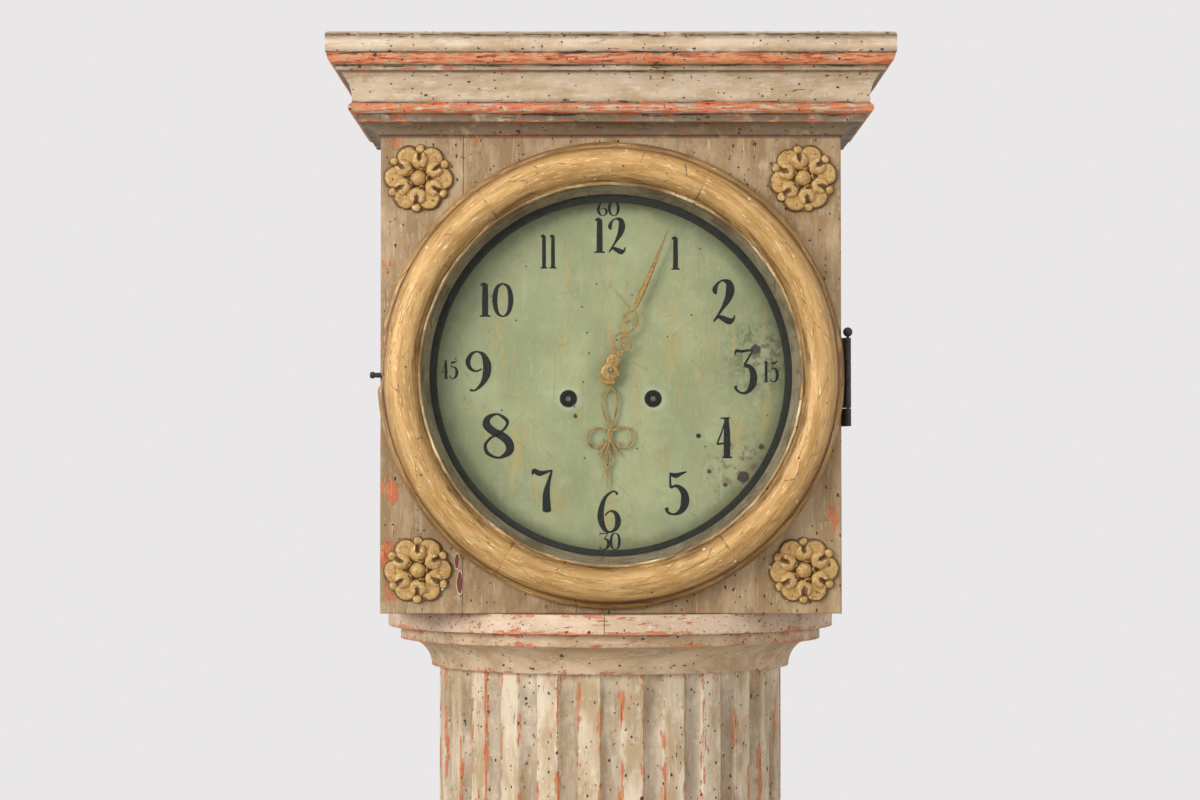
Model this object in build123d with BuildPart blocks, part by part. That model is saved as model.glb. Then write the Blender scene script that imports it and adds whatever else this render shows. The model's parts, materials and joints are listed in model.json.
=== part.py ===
"""Mora clock: a painted longcase clock with a square hood, a gilt round bezel door and a half-round
fluted column, with its striking movement, pendulum and weights.

The frame stands on the floor at the middle of the clock's outer box: X to the right as one faces
the clock, Y from the front to the wall, Z up. All sizes are millimetres. Angles round the dial are
degrees clockwise from twelve, and angles round the column are degrees from its middle flute.
"""

import os
from math import atan2, cos, degrees, hypot, radians, sin, sqrt

from build123d import *

os.makedirs("parts", exist_ok=True)

# ---------------------------------------------------------------- driving dimensions: the case
TOTAL_HEIGHT = 2200.0
CORNICE_HEIGHT = 101.0
CORNICE_OVERHANG = 54.0
HOOD_INSIDE_BEZEL = 3.0
HOOD_BELOW_BEZEL = 5.0
HOOD_ABOVE_BEZEL = 8.0
HOOD_DEPTH = 234.0
HOOD_BOARD = 14.0
HOOD_FRONT_BOARD = 16.0
HOOD_TOP_BOARD = 12.0
HOOD_SEAM_X = -154.0
HOOD_HOLE_BEHIND_LIP = 6.5
HOOD_FLOOR_BAR = 16.0
HOOD_GAP = 0.3
BACKBOARD = 20.0
BACKBOARD_SIDE_GAP = 1.5
BACKBOARD_TOP_GAP = 8.0
WALL_HOLE_RADIUS = 4.0
WALL_HOLE_BELOW_TOP = 60.0

SHELF_BEYOND_HOOD = 6.0
SHELF_THICKNESS = 20.6
SHELF_EDGING = 10.0
SHELF_JOINT_ANGLE = -1.6
BAND_BEHIND_SHELF = 13.7
BAND_HEIGHT = 13.6
BAND_LEDGE = 4.8
COVE_HEIGHT = 30.0
COVE_FACETS = 5
COVE_STEP = 8.5

COLUMN_RADIUS = 189.0
COLUMN_WALL = 18.0
FLUTE_PITCH = 360.0 / 26
FLUTE_WIDTH = 22.8
FLUTE_DEPTH = 7.0
DOOR_FLUTES = 7
DOOR_GAP = 1.0
DOOR_ABOVE_FOOT = 184.0
DOOR_BELOW_HEAD = 235.8
KNUCKLE_RADIUS = 3.5
DOOR_PIN_RADIUS = 1.5
DOOR_LEAF_THICKNESS = 1.5
DOOR_LEAF_ANGLE = 3.0
DOOR_LEAF_LENGTH = 60.0
DOOR_HINGE_INSET = 90.0
KNOB_FLUTE = -2.5
TONGUE_LENGTH = 56.0
TONGUE_WIDTH = 12.0
TONGUE_THICKNESS = 3.0
TONGUE_BACK = 14.0
SPINDLE_RADIUS = 4.0

BASE_RADIUS = 214.0
BASE_TORUS = 28.0
BASE_FACETS = 6
BASE_FILLET = 8.0
BASE_FILLET_RADIUS = 198.0
PLINTH_WIDTH = 470.0
PLINTH_DEPTH = 244.0
PLINTH_HEIGHT = 380.0
PLINTH_BOARD = 18.0
PLINTH_FLOOR = 16.0
PLINTH_TOP = 20.0
PLINTH_TOP_OVERHANG = 17.0
PLINTH_PANEL_MARGIN = 52.0
PLINTH_PANEL_DEPTH = 4.0
SKIRT_HEIGHT = 92.0
SKIRT_THICKNESS = 15.0

TRUNK_SPACE_HALF_WIDTH = 110.0
TRUNK_SPACE_FRONT = -45.0
TRUNK_SPACE_BACK = 105.0
CHEEK_INNER_X = 128.0
CHEEK_THICKNESS = 18.0
CHEEK_FRONT = -30.0
SEAT_THICKNESS = 18.0
SEAT_HALF_WIDTH = 150.0
SEAT_FRONT = -40.0
LINE_SLOT = 24.0
ROD_SLOT_HALF_WIDTH = 14.0
ROD_SLOT_FRONT = 44.0

# ---------------------------------------------------------------- driving dimensions: the bezel
BEZEL_RADIUS = 243.0
BEZEL_GAP = 0.3
FLANGE_WIDTH = 10.0
FLANGE_HEIGHT = 12.5
TORUS_HEIGHT = 38.0
TORUS_WIDTH = 33.5
TORUS_INNER_HEIGHT = 23.0
TORUS_FACETS = 8
BEAD_HEIGHT = 26.5
BEAD_WIDTH = 3.1
LIP_WIDTH = 7.9
GLASS_BACK = 3.2
GLASS_THICKNESS = 2.8
GLASS_LAP = 7.1
PUTTY_WIDTH = 13.5
BEZEL_JOINTS = (26.0, 146.0, 210.0, 324.0)

HINGE_OUT = 6.5
HINGE_FORWARD = 4.0
HINGE_BARREL_RADIUS = 3.3
HINGE_PIN_RADIUS = 1.55
HINGE_RUNNING_GAP = 0.05
HINGE_LOW = -34.0
HINGE_HIGH = 39.0
HINGE_FOOT_LOW = -53.0
HINGE_LEAF_THICKNESS = 1.5
HINGE_LEAF_REACH = 32.0
PULL_RADIUS = 2.7
PULL_HEAD_RADIUS = 3.6
PULL_REACH = 7.5
PULL_DEPTH = 8.0
PULL_FORWARD = 6.0
HINGE_BALL_RADIUS = 5.0
HINGE_BALL_FACETS = 6

ROSETTE_TO_BEZEL = 4.467
ROSETTE_TO_SIDE = 2.0
ROSETTE_TO_END = 8.0
ROSETTE_PETALS = 8
ROSETTE_NOTCH = 0.86
ROSETTE_BASE = 5.0
ROSETTE_HEIGHT = 13.0
ROSETTE_BALL_RADIUS = 8.8

# ---------------------------------------------------------------- driving dimensions: dial and hands
DIAL_LAP = 13.0
DIAL_THICKNESS = 1.6
DIAL_BEHIND_FRONT = 22.0
HAND_AXIS_ABOVE_DIAL = 6.0
WINDING_X = 44.4
WINDING_Z = -29.6
WINDING_HOLE_RADIUS = 8.4
SMALL_HOLE_AT = (91.8, -68.7)
SMALL_HOLE_RADIUS = 1.5
MINUTE_HAND_SHORT_OF_HOLE = 21.0
HOUR_HAND_LENGTH = 127.5
MINUTE_HAND_ANGLE = 22.2
HOUR_HAND_ANGLE = 181.5
HAND_THICKNESS = 1.4
HOUR_HAND_AHEAD = 4.0
MINUTE_HAND_AHEAD = 9.6
CANNON_BEYOND_HAND = 3.2
HOUR_PIPE_RADIUS = 5.0
CANNON_PIPE_RADIUS = 3.0
CENTRE_FRONT_RADIUS = 1.6
COLLET_RADIUS = 6.0

# ---------------------------------------------------------------- driving dimensions: movement
# Places of arbors are (X, Z) from the hands' axis, and depths are Y in the clock's frame.
PLATE_HALF_WIDTH = 98.0
PLATE_LOW = -95.8
PLATE_HIGH = 108.0
PLATE_THICKNESS = 3.0
PLATE_GAP = 70.0
MOVEMENT_BEHIND_DIAL = 32.0
PILLAR_RADIUS = 4.0
PILLAR_INSET = 8.0
DIAL_FOOT_RADIUS = 3.0
DIAL_FEET = ((-70.0, -70.0), (70.0, -70.0), (-70.0, 85.0), (70.0, 85.0))
ARBOR_RADIUS = 2.2
PIVOT_RADIUS = 1.2
RUNNING_GAP = 0.05
FIXED_GAP = 0.02

CENTRE = (0.0, 0.0)
THIRD = (14.0, 29.2)
ESCAPE = (0.0, 54.5)
ANCHOR = (0.0, 88.5)
GOING_GREAT = (WINDING_X, WINDING_Z)
STRIKE_GREAT = (-WINDING_X, WINDING_Z)
PIN_WHEEL = (-50.0, 16.0)
HOOP_WHEEL = (-59.8, 43.1)
FLY = (-59.8, 65.5)
HAMMER = (-84.0, 2.0)
MINUTE_STUD = (0.0, -20.0)

GREAT_TEETH, CENTRE_LEAVES = 72, 6
CENTRE_TEETH, THIRD_LEAVES = 48, 6
THIRD_TEETH, ESCAPE_LEAVES = 45, 6
ESCAPE_TEETH, ESCAPE_RADIUS = 30, 24.0
STRIKE_TEETH, PIN_LEAVES = 78, 8
PIN_TEETH, HOOP_LEAVES = 48, 6
HOOP_TEETH, FLY_LEAVES = 36, 6
CANNON_LEAVES, MINUTE_TEETH = 10, 30
MINUTE_LEAVES, HOUR_TEETH = 8, 32
STRIKE_PINS = 8
RATCHET_TEETH = 16
WHEEL_TOOTH = {"tip": 0.9, "root": 1.15, "root_share": 0.32, "tip_share": 0}
PINION_LEAF = {"tip": 0.3, "root": 1.15, "root_share": 0.19, "tip_share": 0.11}

GOING_GREAT_Y = 27.0
STRIKE_GREAT_Y = 20.0
CENTRE_WHEEL_Y = -17.0
THIRD_WHEEL_Y = 2.0
ESCAPE_WHEEL_Y = 14.0
PIN_WHEEL_Y = -6.0
HOOP_WHEEL_Y = 8.0
HOUR_WHEEL_BEHIND_DIAL = 14.0
MINUTE_WHEEL_BEHIND_DIAL = 24.0
BARREL_Y = -24.0
PINION_LENGTH = 10.0

BARREL_RADIUS = 18.0
BARREL_LENGTH = 40.0
BARREL_ARBOR_RADIUS = 3.0
WHEEL_THICKNESS = 2.5
GREAT_THICKNESS = 3.0
RATCHET_RADIUS = 15.0
RATCHET_THICKNESS = 3.0
COUNT_RADIUS = 36.0
COUNT_HUB_RADIUS = 10.0
COUNT_THICKNESS = 2.0
WINDING_SQUARE = 4.4
WINDING_SQUARE_LENGTH = 12.0
PIN_CIRCLE = 20.0
PIN_RADIUS = 1.2
PIN_LENGTH = 8.0
FLY_RADIUS = 17.0
FLY_Y = (-24.0, -4.0)
HAMMER_STEM_Y = (-31.0, -27.0)
HAMMER_TAIL_Y = (-13.0, -9.0)
HAMMER_HEAD_Y = (-31.0, 8.0)
HAMMER_STEM = ((-74.0, 84.0), (-28.0, 96.0))
HAMMER_HEAD_AT = (0.0, 140.0)
HAMMER_HEAD_RADIUS = 5.0
HAMMER_STEM_WIDTH = 5.0
CRUTCH_BEHIND_PLATE = 2.0
CRUTCH_THICKNESS = 4.0
CRUTCH_FOOT = 20.0
FORK_GAP = 3.0
COCK_LOW, COCK_HIGH = 95.0, 106.0
BELL_RADIUS = 40.0
BELL_HEIGHT = 30.0
BELL_WALL = 2.5
BELL_CROWN_SHARE = 0.62
BELL_FACETS = 4
BELL_STAND_RADIUS = 3.0
BELL_STRAP = 4.0
BELL_X = 50.0
BELL_RIM = 132.0
PENDULUM_LENGTH = 994.0
PENDULUM_Y = 60.0
ROD_TOP = 76.0
BOB_RADIUS = 70.0
BOB_THICKNESS = 28.0
BOB_EDGE = 2.0
BOB_FACETS = 4
ROD_RADIUS = 2.5
WEIGHT_RADIUS = 28.0
WEIGHT_LENGTH = 190.0
WEIGHT_BOTTOM = 470.0
WEIGHT_CHAMFER = 7.0
EYE_RADIUS = 9.0
EYE_HOLE_RADIUS = 5.0
EYE_THICKNESS = 5.0
EYE_RISE = 7.0
LINE_RADIUS = 0.9
LINE_GAP = 0.3
LINE_Y = 12.0

# ---------------------------------------------------------------- levels worked out from the above
BACK_Y = (HOOD_DEPTH + CORNICE_OVERHANG) / 2
FRONT_Y = BACK_Y - HOOD_DEPTH
AXIS_Y = BACK_Y - BACKBOARD
HOOD_HALF = BEZEL_RADIUS - HOOD_INSIDE_BEZEL
DIAL_RISE = BEZEL_RADIUS + HOOD_BELOW_BEZEL
HOOD_HEIGHT = DIAL_RISE + BEZEL_RADIUS + HOOD_ABOVE_BEZEL
CORNICE_Z = TOTAL_HEIGHT - CORNICE_HEIGHT
SHELF_Z = CORNICE_Z - HOOD_HEIGHT
BAND_Z = SHELF_Z - SHELF_THICKNESS
COVE_Z = BAND_Z - BAND_HEIGHT
COLUMN_TOP = COVE_Z - COVE_HEIGHT
SHELF_RADIUS = HOOD_HALF + SHELF_BEYOND_HOOD
BAND_RADIUS = SHELF_RADIUS - BAND_BEHIND_SHELF
PLINTH_FRONT = BACK_Y - PLINTH_DEPTH
PLINTH_HALF = PLINTH_WIDTH / 2
BASE_Z = PLINTH_HEIGHT + PLINTH_TOP
COLUMN_FOOT = BASE_Z + BASE_TORUS + BASE_FILLET
COLUMN_BORE = COLUMN_RADIUS - COLUMN_WALL
DOOR_ANGLE = DOOR_FLUTES * FLUTE_PITCH / 2
DOOR_LOW = COLUMN_FOOT + DOOR_ABOVE_FOOT
DOOR_HIGH = COLUMN_TOP - DOOR_BELOW_HEAD
DOOR_HALF_GAP = degrees(DOOR_GAP / 2 / COLUMN_RADIUS)
DOOR_PIVOT_RADIUS = COLUMN_RADIUS + DOOR_LEAF_THICKNESS + KNUCKLE_RADIUS
KNOB_Z = (DOOR_LOW + DOOR_HIGH) / 2
HOOD_Z = SHELF_Z + HOOD_GAP
DIAL_Z = SHELF_Z + DIAL_RISE
HAND_Z = DIAL_Z + HAND_AXIS_ABOVE_DIAL
TORUS_INNER_RADIUS = BEZEL_RADIUS - FLANGE_WIDTH - TORUS_WIDTH
BEZEL_BORE_RADIUS = TORUS_INNER_RADIUS - BEAD_WIDTH
LIP_INNER_RADIUS = BEZEL_BORE_RADIUS - LIP_WIDTH
GLASS_RADIUS = BEZEL_BORE_RADIUS + GLASS_LAP
PUTTY_INNER_RADIUS = GLASS_RADIUS - PUTTY_WIDTH
HOOD_HOLE_RADIUS = LIP_INNER_RADIUS - HOOD_HOLE_BEHIND_LIP
DIAL_RADIUS = HOOD_HOLE_RADIUS + DIAL_LAP
MINUTE_HAND_LENGTH = HOOD_HOLE_RADIUS - MINUTE_HAND_SHORT_OF_HOLE
ROSETTE_CORNER = hypot(HOOD_HALF - ROSETTE_TO_SIDE, DIAL_RISE - ROSETTE_TO_END)
ROSETTE_RADIUS = (ROSETTE_CORNER - BEZEL_RADIUS - ROSETTE_TO_BEZEL) / (1 + sqrt(2))
DIAL_Y = FRONT_Y + DIAL_BEHIND_FRONT
HOUR_HAND_BACK = DIAL_Y - HOUR_HAND_AHEAD
MINUTE_HAND_BACK = DIAL_Y - MINUTE_HAND_AHEAD
CANNON_END = MINUTE_HAND_BACK - CANNON_BEYOND_HAND
HOUR_WHEEL_Y = DIAL_Y + HOUR_WHEEL_BEHIND_DIAL
MINUTE_WHEEL_Y = DIAL_Y + MINUTE_WHEEL_BEHIND_DIAL
PLATE_FRONT = DIAL_Y + MOVEMENT_BEHIND_DIAL
PLATE_INNER_FRONT = PLATE_FRONT + PLATE_THICKNESS
PLATE_INNER_BACK = PLATE_INNER_FRONT + PLATE_GAP
PLATE_BACK = PLATE_INNER_BACK + PLATE_THICKNESS
CRUTCH_Y = PLATE_BACK + CRUTCH_BEHIND_PLATE
SEAT_TOP = HAND_Z + PLATE_LOW
SEAT_Z = SEAT_TOP - SEAT_THICKNESS
LINE_OFFSET = BARREL_RADIUS + LINE_RADIUS + LINE_GAP
HINGE_X = HOOD_HALF + HINGE_OUT
HINGE_Y = FRONT_Y - HINGE_FORWARD


# ---------------------------------------------------------------- helpers
def save(piece, node):
    """Label a finished piece and write its STEP file."""
    piece.label = node
    export_step(piece, f"parts/{node}.step")


def group(*pieces):
    """Several separate solids that share one node."""
    return Compound([solid for piece in pieces for solid in piece.part.solids()])


def board(x_span, y_span, z_span):
    """A squared board between pairs of limits."""
    with BuildPart() as made:
        with BuildSketch(Plane.XY.offset(z_span[0])):
            with Locations((sum(x_span) / 2, sum(y_span) / 2)):
                Rectangle(x_span[1] - x_span[0], y_span[1] - y_span[0])
        extrude(amount=z_span[1] - z_span[0])
    return made


def mirrored(piece):
    """The same piece on the other side of the clock's middle plane."""
    with BuildPart() as made:
        mirror(piece.part, about=Plane.YZ)
    return made


def facing(y, at=(0.0, 0.0), z=HAND_Z):
    """A plane seen from the front, with its own x to the right and its own y up."""
    return Plane(origin=(at[0], y, z + at[1]), x_dir=(1, 0, 0), z_dir=(0, -1, 0))


def column_plane(angle):
    """A vertical plane through the column's axis; its own x runs outward at the angle."""
    turn = radians(angle)
    return Plane(
        origin=(0, AXIS_Y, 0),
        x_dir=(sin(turn), -cos(turn), 0),
        z_dir=(-cos(turn), -sin(turn), 0),
    )


COLUMN_AXIS = Axis((0, AXIS_Y, 0), (0, 0, -1))
DIAL_AXIS = Axis((0, 0, DIAL_Z), (0, 1, 0))


def dial_plane(angle):
    """A plane through the dial's axis; its own x runs outward at the angle and its y forward."""
    turn = radians(angle)
    return Plane(
        origin=(0, FRONT_Y, DIAL_Z),
        x_dir=(sin(turn), 0, cos(turn)),
        z_dir=(cos(turn), 0, -sin(turn)),
    )


def column_point(radius, angle):
    """A point of the plan, at a radius and an angle round the column."""
    turn = radians(angle)
    return (radius * sin(turn), AXIS_Y - radius * cos(turn))


def sector(inner, outer, low, high):
    """Draw a piece of a ring round the column's axis in the current sketch."""
    with BuildLine() as outline:
        CenterArc((0, AXIS_Y), outer, low - 90, high - low)
        Line(column_point(outer, high), column_point(inner, high))
        CenterArc((0, AXIS_Y), inner, low - 90, high - low)
        Line(column_point(inner, low), column_point(outer, low))
    make_face(outline.edges())


def ring_piece(inner, outer, low, high, z_span):
    """A bent board round the column's axis."""
    with BuildPart() as made:
        with BuildSketch(Plane.XY.offset(z_span[0])):
            sector(inner, outer, low, high)
        extrude(amount=z_span[1] - z_span[0])
    return made


def fluted_piece(low, high, z_span):
    """Part of the column's wall with its flutes."""
    sagitta_radius = (FLUTE_WIDTH**2 / 4 + FLUTE_DEPTH**2) / (2 * FLUTE_DEPTH)
    flute_centre = COLUMN_RADIUS - FLUTE_DEPTH + sagitta_radius
    flutes = [FLUTE_PITCH * n for n in range(-6, 7)]
    inside = [angle for angle in flutes if low < angle < high]
    with BuildPart() as made:
        with BuildSketch(Plane.XY.offset(z_span[0])):
            sector(COLUMN_BORE, COLUMN_RADIUS, low, high)
            with Locations([column_point(flute_centre, angle) for angle in inside]):
                Circle(sagitta_radius, mode=Mode.SUBTRACT)
        extrude(amount=z_span[1] - z_span[0])
    return made


def faceted(start, middle, end, steps):
    """Points of the arc through three points, so that what is turned from it has few faces."""
    arc = ThreePointArc(start, middle, end, mode=Mode.PRIVATE)
    points = [arc @ (n / steps) for n in range(steps + 1)]
    return [(point.X, point.Y) for point in points]


def cove_curve():
    """Points of the neck's hollow from its foot up and out, as (radius, Z)."""
    foot = COLUMN_RADIUS + COVE_STEP
    reach = BAND_RADIUS - BAND_LEDGE - foot
    turns = [radians(90 * n / COVE_FACETS) for n in range(COVE_FACETS + 1)]
    return [
        (foot + reach * (1 - cos(turn)), COLUMN_TOP + COVE_HEIGHT * sin(turn)) for turn in turns
    ]


# ---------------------------------------------------------------- plinth
def make_plinth():
    """The box under the column: front with a sunk panel, sides, floor, moulded top and skirt."""
    with BuildPart() as front:
        with BuildSketch(Plane.XY):
            with Locations((0, PLINTH_FRONT + PLINTH_BOARD / 2)):
                Rectangle(PLINTH_WIDTH, PLINTH_BOARD)
        extrude(amount=PLINTH_HEIGHT)
        panel_height = PLINTH_HEIGHT - SKIRT_HEIGHT - 2 * PLINTH_PANEL_MARGIN
        panel_z = SKIRT_HEIGHT + PLINTH_PANEL_MARGIN + panel_height / 2
        with BuildSketch(facing(PLINTH_FRONT + PLINTH_PANEL_DEPTH, z=panel_z)):
            Rectangle(PLINTH_WIDTH - 2 * PLINTH_PANEL_MARGIN, panel_height)
        extrude(amount=PLINTH_PANEL_DEPTH, taper=-35, mode=Mode.SUBTRACT)
    side = board(
        (PLINTH_HALF - PLINTH_BOARD, PLINTH_HALF),
        (PLINTH_FRONT + PLINTH_BOARD, BACK_Y),
        (0, PLINTH_HEIGHT),
    )
    inner = PLINTH_HALF - PLINTH_BOARD
    floor = board((-inner, inner), (PLINTH_FRONT + PLINTH_BOARD, AXIS_Y), (0, PLINTH_FLOOR))
    save(group(front, side, mirrored(side), floor), "plinth_box")

    reach = PLINTH_TOP_OVERHANG
    with BuildPart() as top:
        with BuildSketch(Plane.XY.offset(PLINTH_HEIGHT)):
            with Locations((0, (PLINTH_FRONT - reach + AXIS_Y) / 2)):
                Rectangle(PLINTH_WIDTH + 2 * reach, AXIS_Y - PLINTH_FRONT + reach)
            with Locations((0, (TRUNK_SPACE_FRONT + TRUNK_SPACE_BACK) / 2)):
                Rectangle(
                    2 * TRUNK_SPACE_HALF_WIDTH,
                    TRUNK_SPACE_BACK - TRUNK_SPACE_FRONT,
                    mode=Mode.SUBTRACT,
                )
        extrude(amount=PLINTH_TOP)
        across = top.edges().filter_by(Axis.X).group_by(Axis.Y)[0]
        along = top.edges().filter_by(Axis.Y)
        left, right = along.group_by(Axis.X)[0], along.group_by(Axis.X)[-1]
        fillet(across + left + right, radius=0.42 * PLINTH_TOP)
    save(top.part, "plinth_top")

    save(group(*moulding_runs(skirt_profile, PLINTH_HALF, PLINTH_FRONT, 0)), "plinth_skirt")


def skirt_profile():
    """Outline of the skirt, from the plinth's face outward, with a hollow along its top edge."""
    hollow = 10.0
    low_edge = SKIRT_HEIGHT - hollow
    Line((0, 0), (SKIRT_THICKNESS, 0))
    Line((SKIRT_THICKNESS, 0), (SKIRT_THICKNESS, low_edge))
    Line((SKIRT_THICKNESS, low_edge), (SKIRT_THICKNESS - 2, low_edge))
    RadiusArc((SKIRT_THICKNESS - 2, low_edge), (SKIRT_THICKNESS - 2 - hollow, SKIRT_HEIGHT), -hollow)
    Line((SKIRT_THICKNESS - 2 - hollow, SKIRT_HEIGHT), (0, SKIRT_HEIGHT))
    Line((0, SKIRT_HEIGHT), (0, 0))


def moulding_runs(profile, half_width, front_y, z):
    """A moulding round three sides of a box, mitred at the two front corners."""
    reach = 2 * CORNICE_OVERHANG
    with BuildPart() as front:
        start = Plane(
            origin=(half_width + reach, front_y, z), x_dir=(0, -1, 0), z_dir=(-1, 0, 0)
        )
        with BuildSketch(start):
            with BuildLine():
                profile()
            make_face()
        extrude(amount=2 * (half_width + reach))
        for side in (-1, 1):
            corner = Plane(origin=(side * half_width, front_y, z), z_dir=(side, 1, 0))
            split(bisect_by=corner, keep=Keep.BOTTOM)
    with BuildPart() as right:
        start = Plane(origin=(half_width, BACK_Y, z), x_dir=(1, 0, 0), z_dir=(0, -1, 0))
        with BuildSketch(start):
            with BuildLine():
                profile()
            make_face()
        extrude(amount=BACK_Y - front_y + reach)
        corner = Plane(origin=(half_width, front_y, z), z_dir=(1, 1, 0))
        split(bisect_by=corner, keep=Keep.TOP)
    return front, right, mirrored(right)


# ---------------------------------------------------------------- column
def make_backboard():
    """The full-height board that carries the case, with a hole for a screw into the wall."""
    in_plinth = PLINTH_HALF - PLINTH_BOARD
    in_hood = HOOD_HALF - HOOD_BOARD - BACKBOARD_SIDE_GAP
    top = TOTAL_HEIGHT - HOOD_TOP_BOARD - BACKBOARD_TOP_GAP
    right = [
        (in_plinth, 0),
        (in_plinth, BASE_Z),
        (COLUMN_RADIUS, BASE_Z),
        (COLUMN_RADIUS, COLUMN_TOP),
        *cove_curve(),
        (in_hood, COVE_Z),
        (in_hood, top),
    ]
    left = [(-x, z) for x, z in reversed(right)]
    with BuildPart() as made:
        with BuildSketch(facing(BACK_Y, z=0)):
            with BuildLine():
                Polyline(*right, *left, close=True)
            make_face()
            with Locations((0, top - WALL_HOLE_BELOW_TOP)):
                Circle(WALL_HOLE_RADIUS, mode=Mode.SUBTRACT)
        extrude(amount=BACKBOARD)
    save(made.part, "backboard")


def make_column():
    """The fluted half-round trunk: its base, side staves, head and foot; the door is apart."""
    with BuildPart() as base:
        with BuildSketch(column_plane(90)):
            low, high = BASE_Z, BASE_Z + BASE_TORUS
            edge = BASE_RADIUS - BASE_TORUS / 2
            turns = [radians(180 * n / BASE_FACETS) for n in range(BASE_FACETS + 1)]
            half = BASE_TORUS / 2
            torus = [(edge + half * sin(turn), low + half - half * cos(turn)) for turn in turns]
            with BuildLine():
                Polyline(
                    (COLUMN_BORE, COLUMN_FOOT),
                    (COLUMN_BORE, low),
                    *torus,
                    (BASE_FILLET_RADIUS, high),
                    (BASE_FILLET_RADIUS, COLUMN_FOOT),
                    close=True,
                )
            make_face()
        revolve(axis=COLUMN_AXIS, revolution_arc=180)
    save(base.part, "column_base")

    right = fluted_piece(DOOR_ANGLE, 90, (COLUMN_FOOT, COLUMN_TOP))
    save(group(right, mirrored(right)), "column_staves")
    head = fluted_piece(-DOOR_ANGLE, DOOR_ANGLE, (DOOR_HIGH, COLUMN_TOP))
    foot = fluted_piece(-DOOR_ANGLE, DOOR_ANGLE, (COLUMN_FOOT, DOOR_LOW))
    save(group(head, foot), "column_head_and_foot")


def make_neck():
    """The half-round moulding under the hood and the shelf that the hood stands on."""
    curve = cove_curve()
    with BuildPart() as cove:
        with BuildSketch(column_plane(90)):
            with BuildLine():
                Polyline((COLUMN_BORE, COVE_Z), (COLUMN_BORE, COLUMN_TOP), *curve, close=True)
            make_face()
        revolve(axis=COLUMN_AXIS, revolution_arc=180)
    band = ring_piece(COLUMN_BORE, BAND_RADIUS, -90, 90, (COVE_Z, BAND_Z))
    save(group(cove, band), "neck_moulding")

    shelf_board = SHELF_RADIUS - SHELF_EDGING
    with BuildPart() as shelf:
        with BuildSketch(Plane.XY.offset(BAND_Z)):
            with BuildLine():
                CenterArc((0, AXIS_Y), shelf_board, 180, 180)
                Line((shelf_board, AXIS_Y), (-shelf_board, AXIS_Y))
            make_face()
            with Locations((0, (TRUNK_SPACE_FRONT + TRUNK_SPACE_BACK) / 2)):
                Rectangle(
                    2 * TRUNK_SPACE_HALF_WIDTH,
                    TRUNK_SPACE_BACK - TRUNK_SPACE_FRONT,
                    mode=Mode.SUBTRACT,
                )
        extrude(amount=SHELF_THICKNESS)
    save(shelf.part, "neck_shelf")

    z_span = (BAND_Z, SHELF_Z)
    left = ring_piece(shelf_board, SHELF_RADIUS, -90, SHELF_JOINT_ANGLE, z_span)
    right = ring_piece(shelf_board, SHELF_RADIUS, SHELF_JOINT_ANGLE, 90, z_span)
    save(group(left, right), "shelf_edging")


# ---------------------------------------------------------------- column door


def door_hinge_levels():
    """Middle heights of the two hinges."""
    return DOOR_LOW + DOOR_HINGE_INSET, DOOR_HIGH - DOOR_HINGE_INSET


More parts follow.
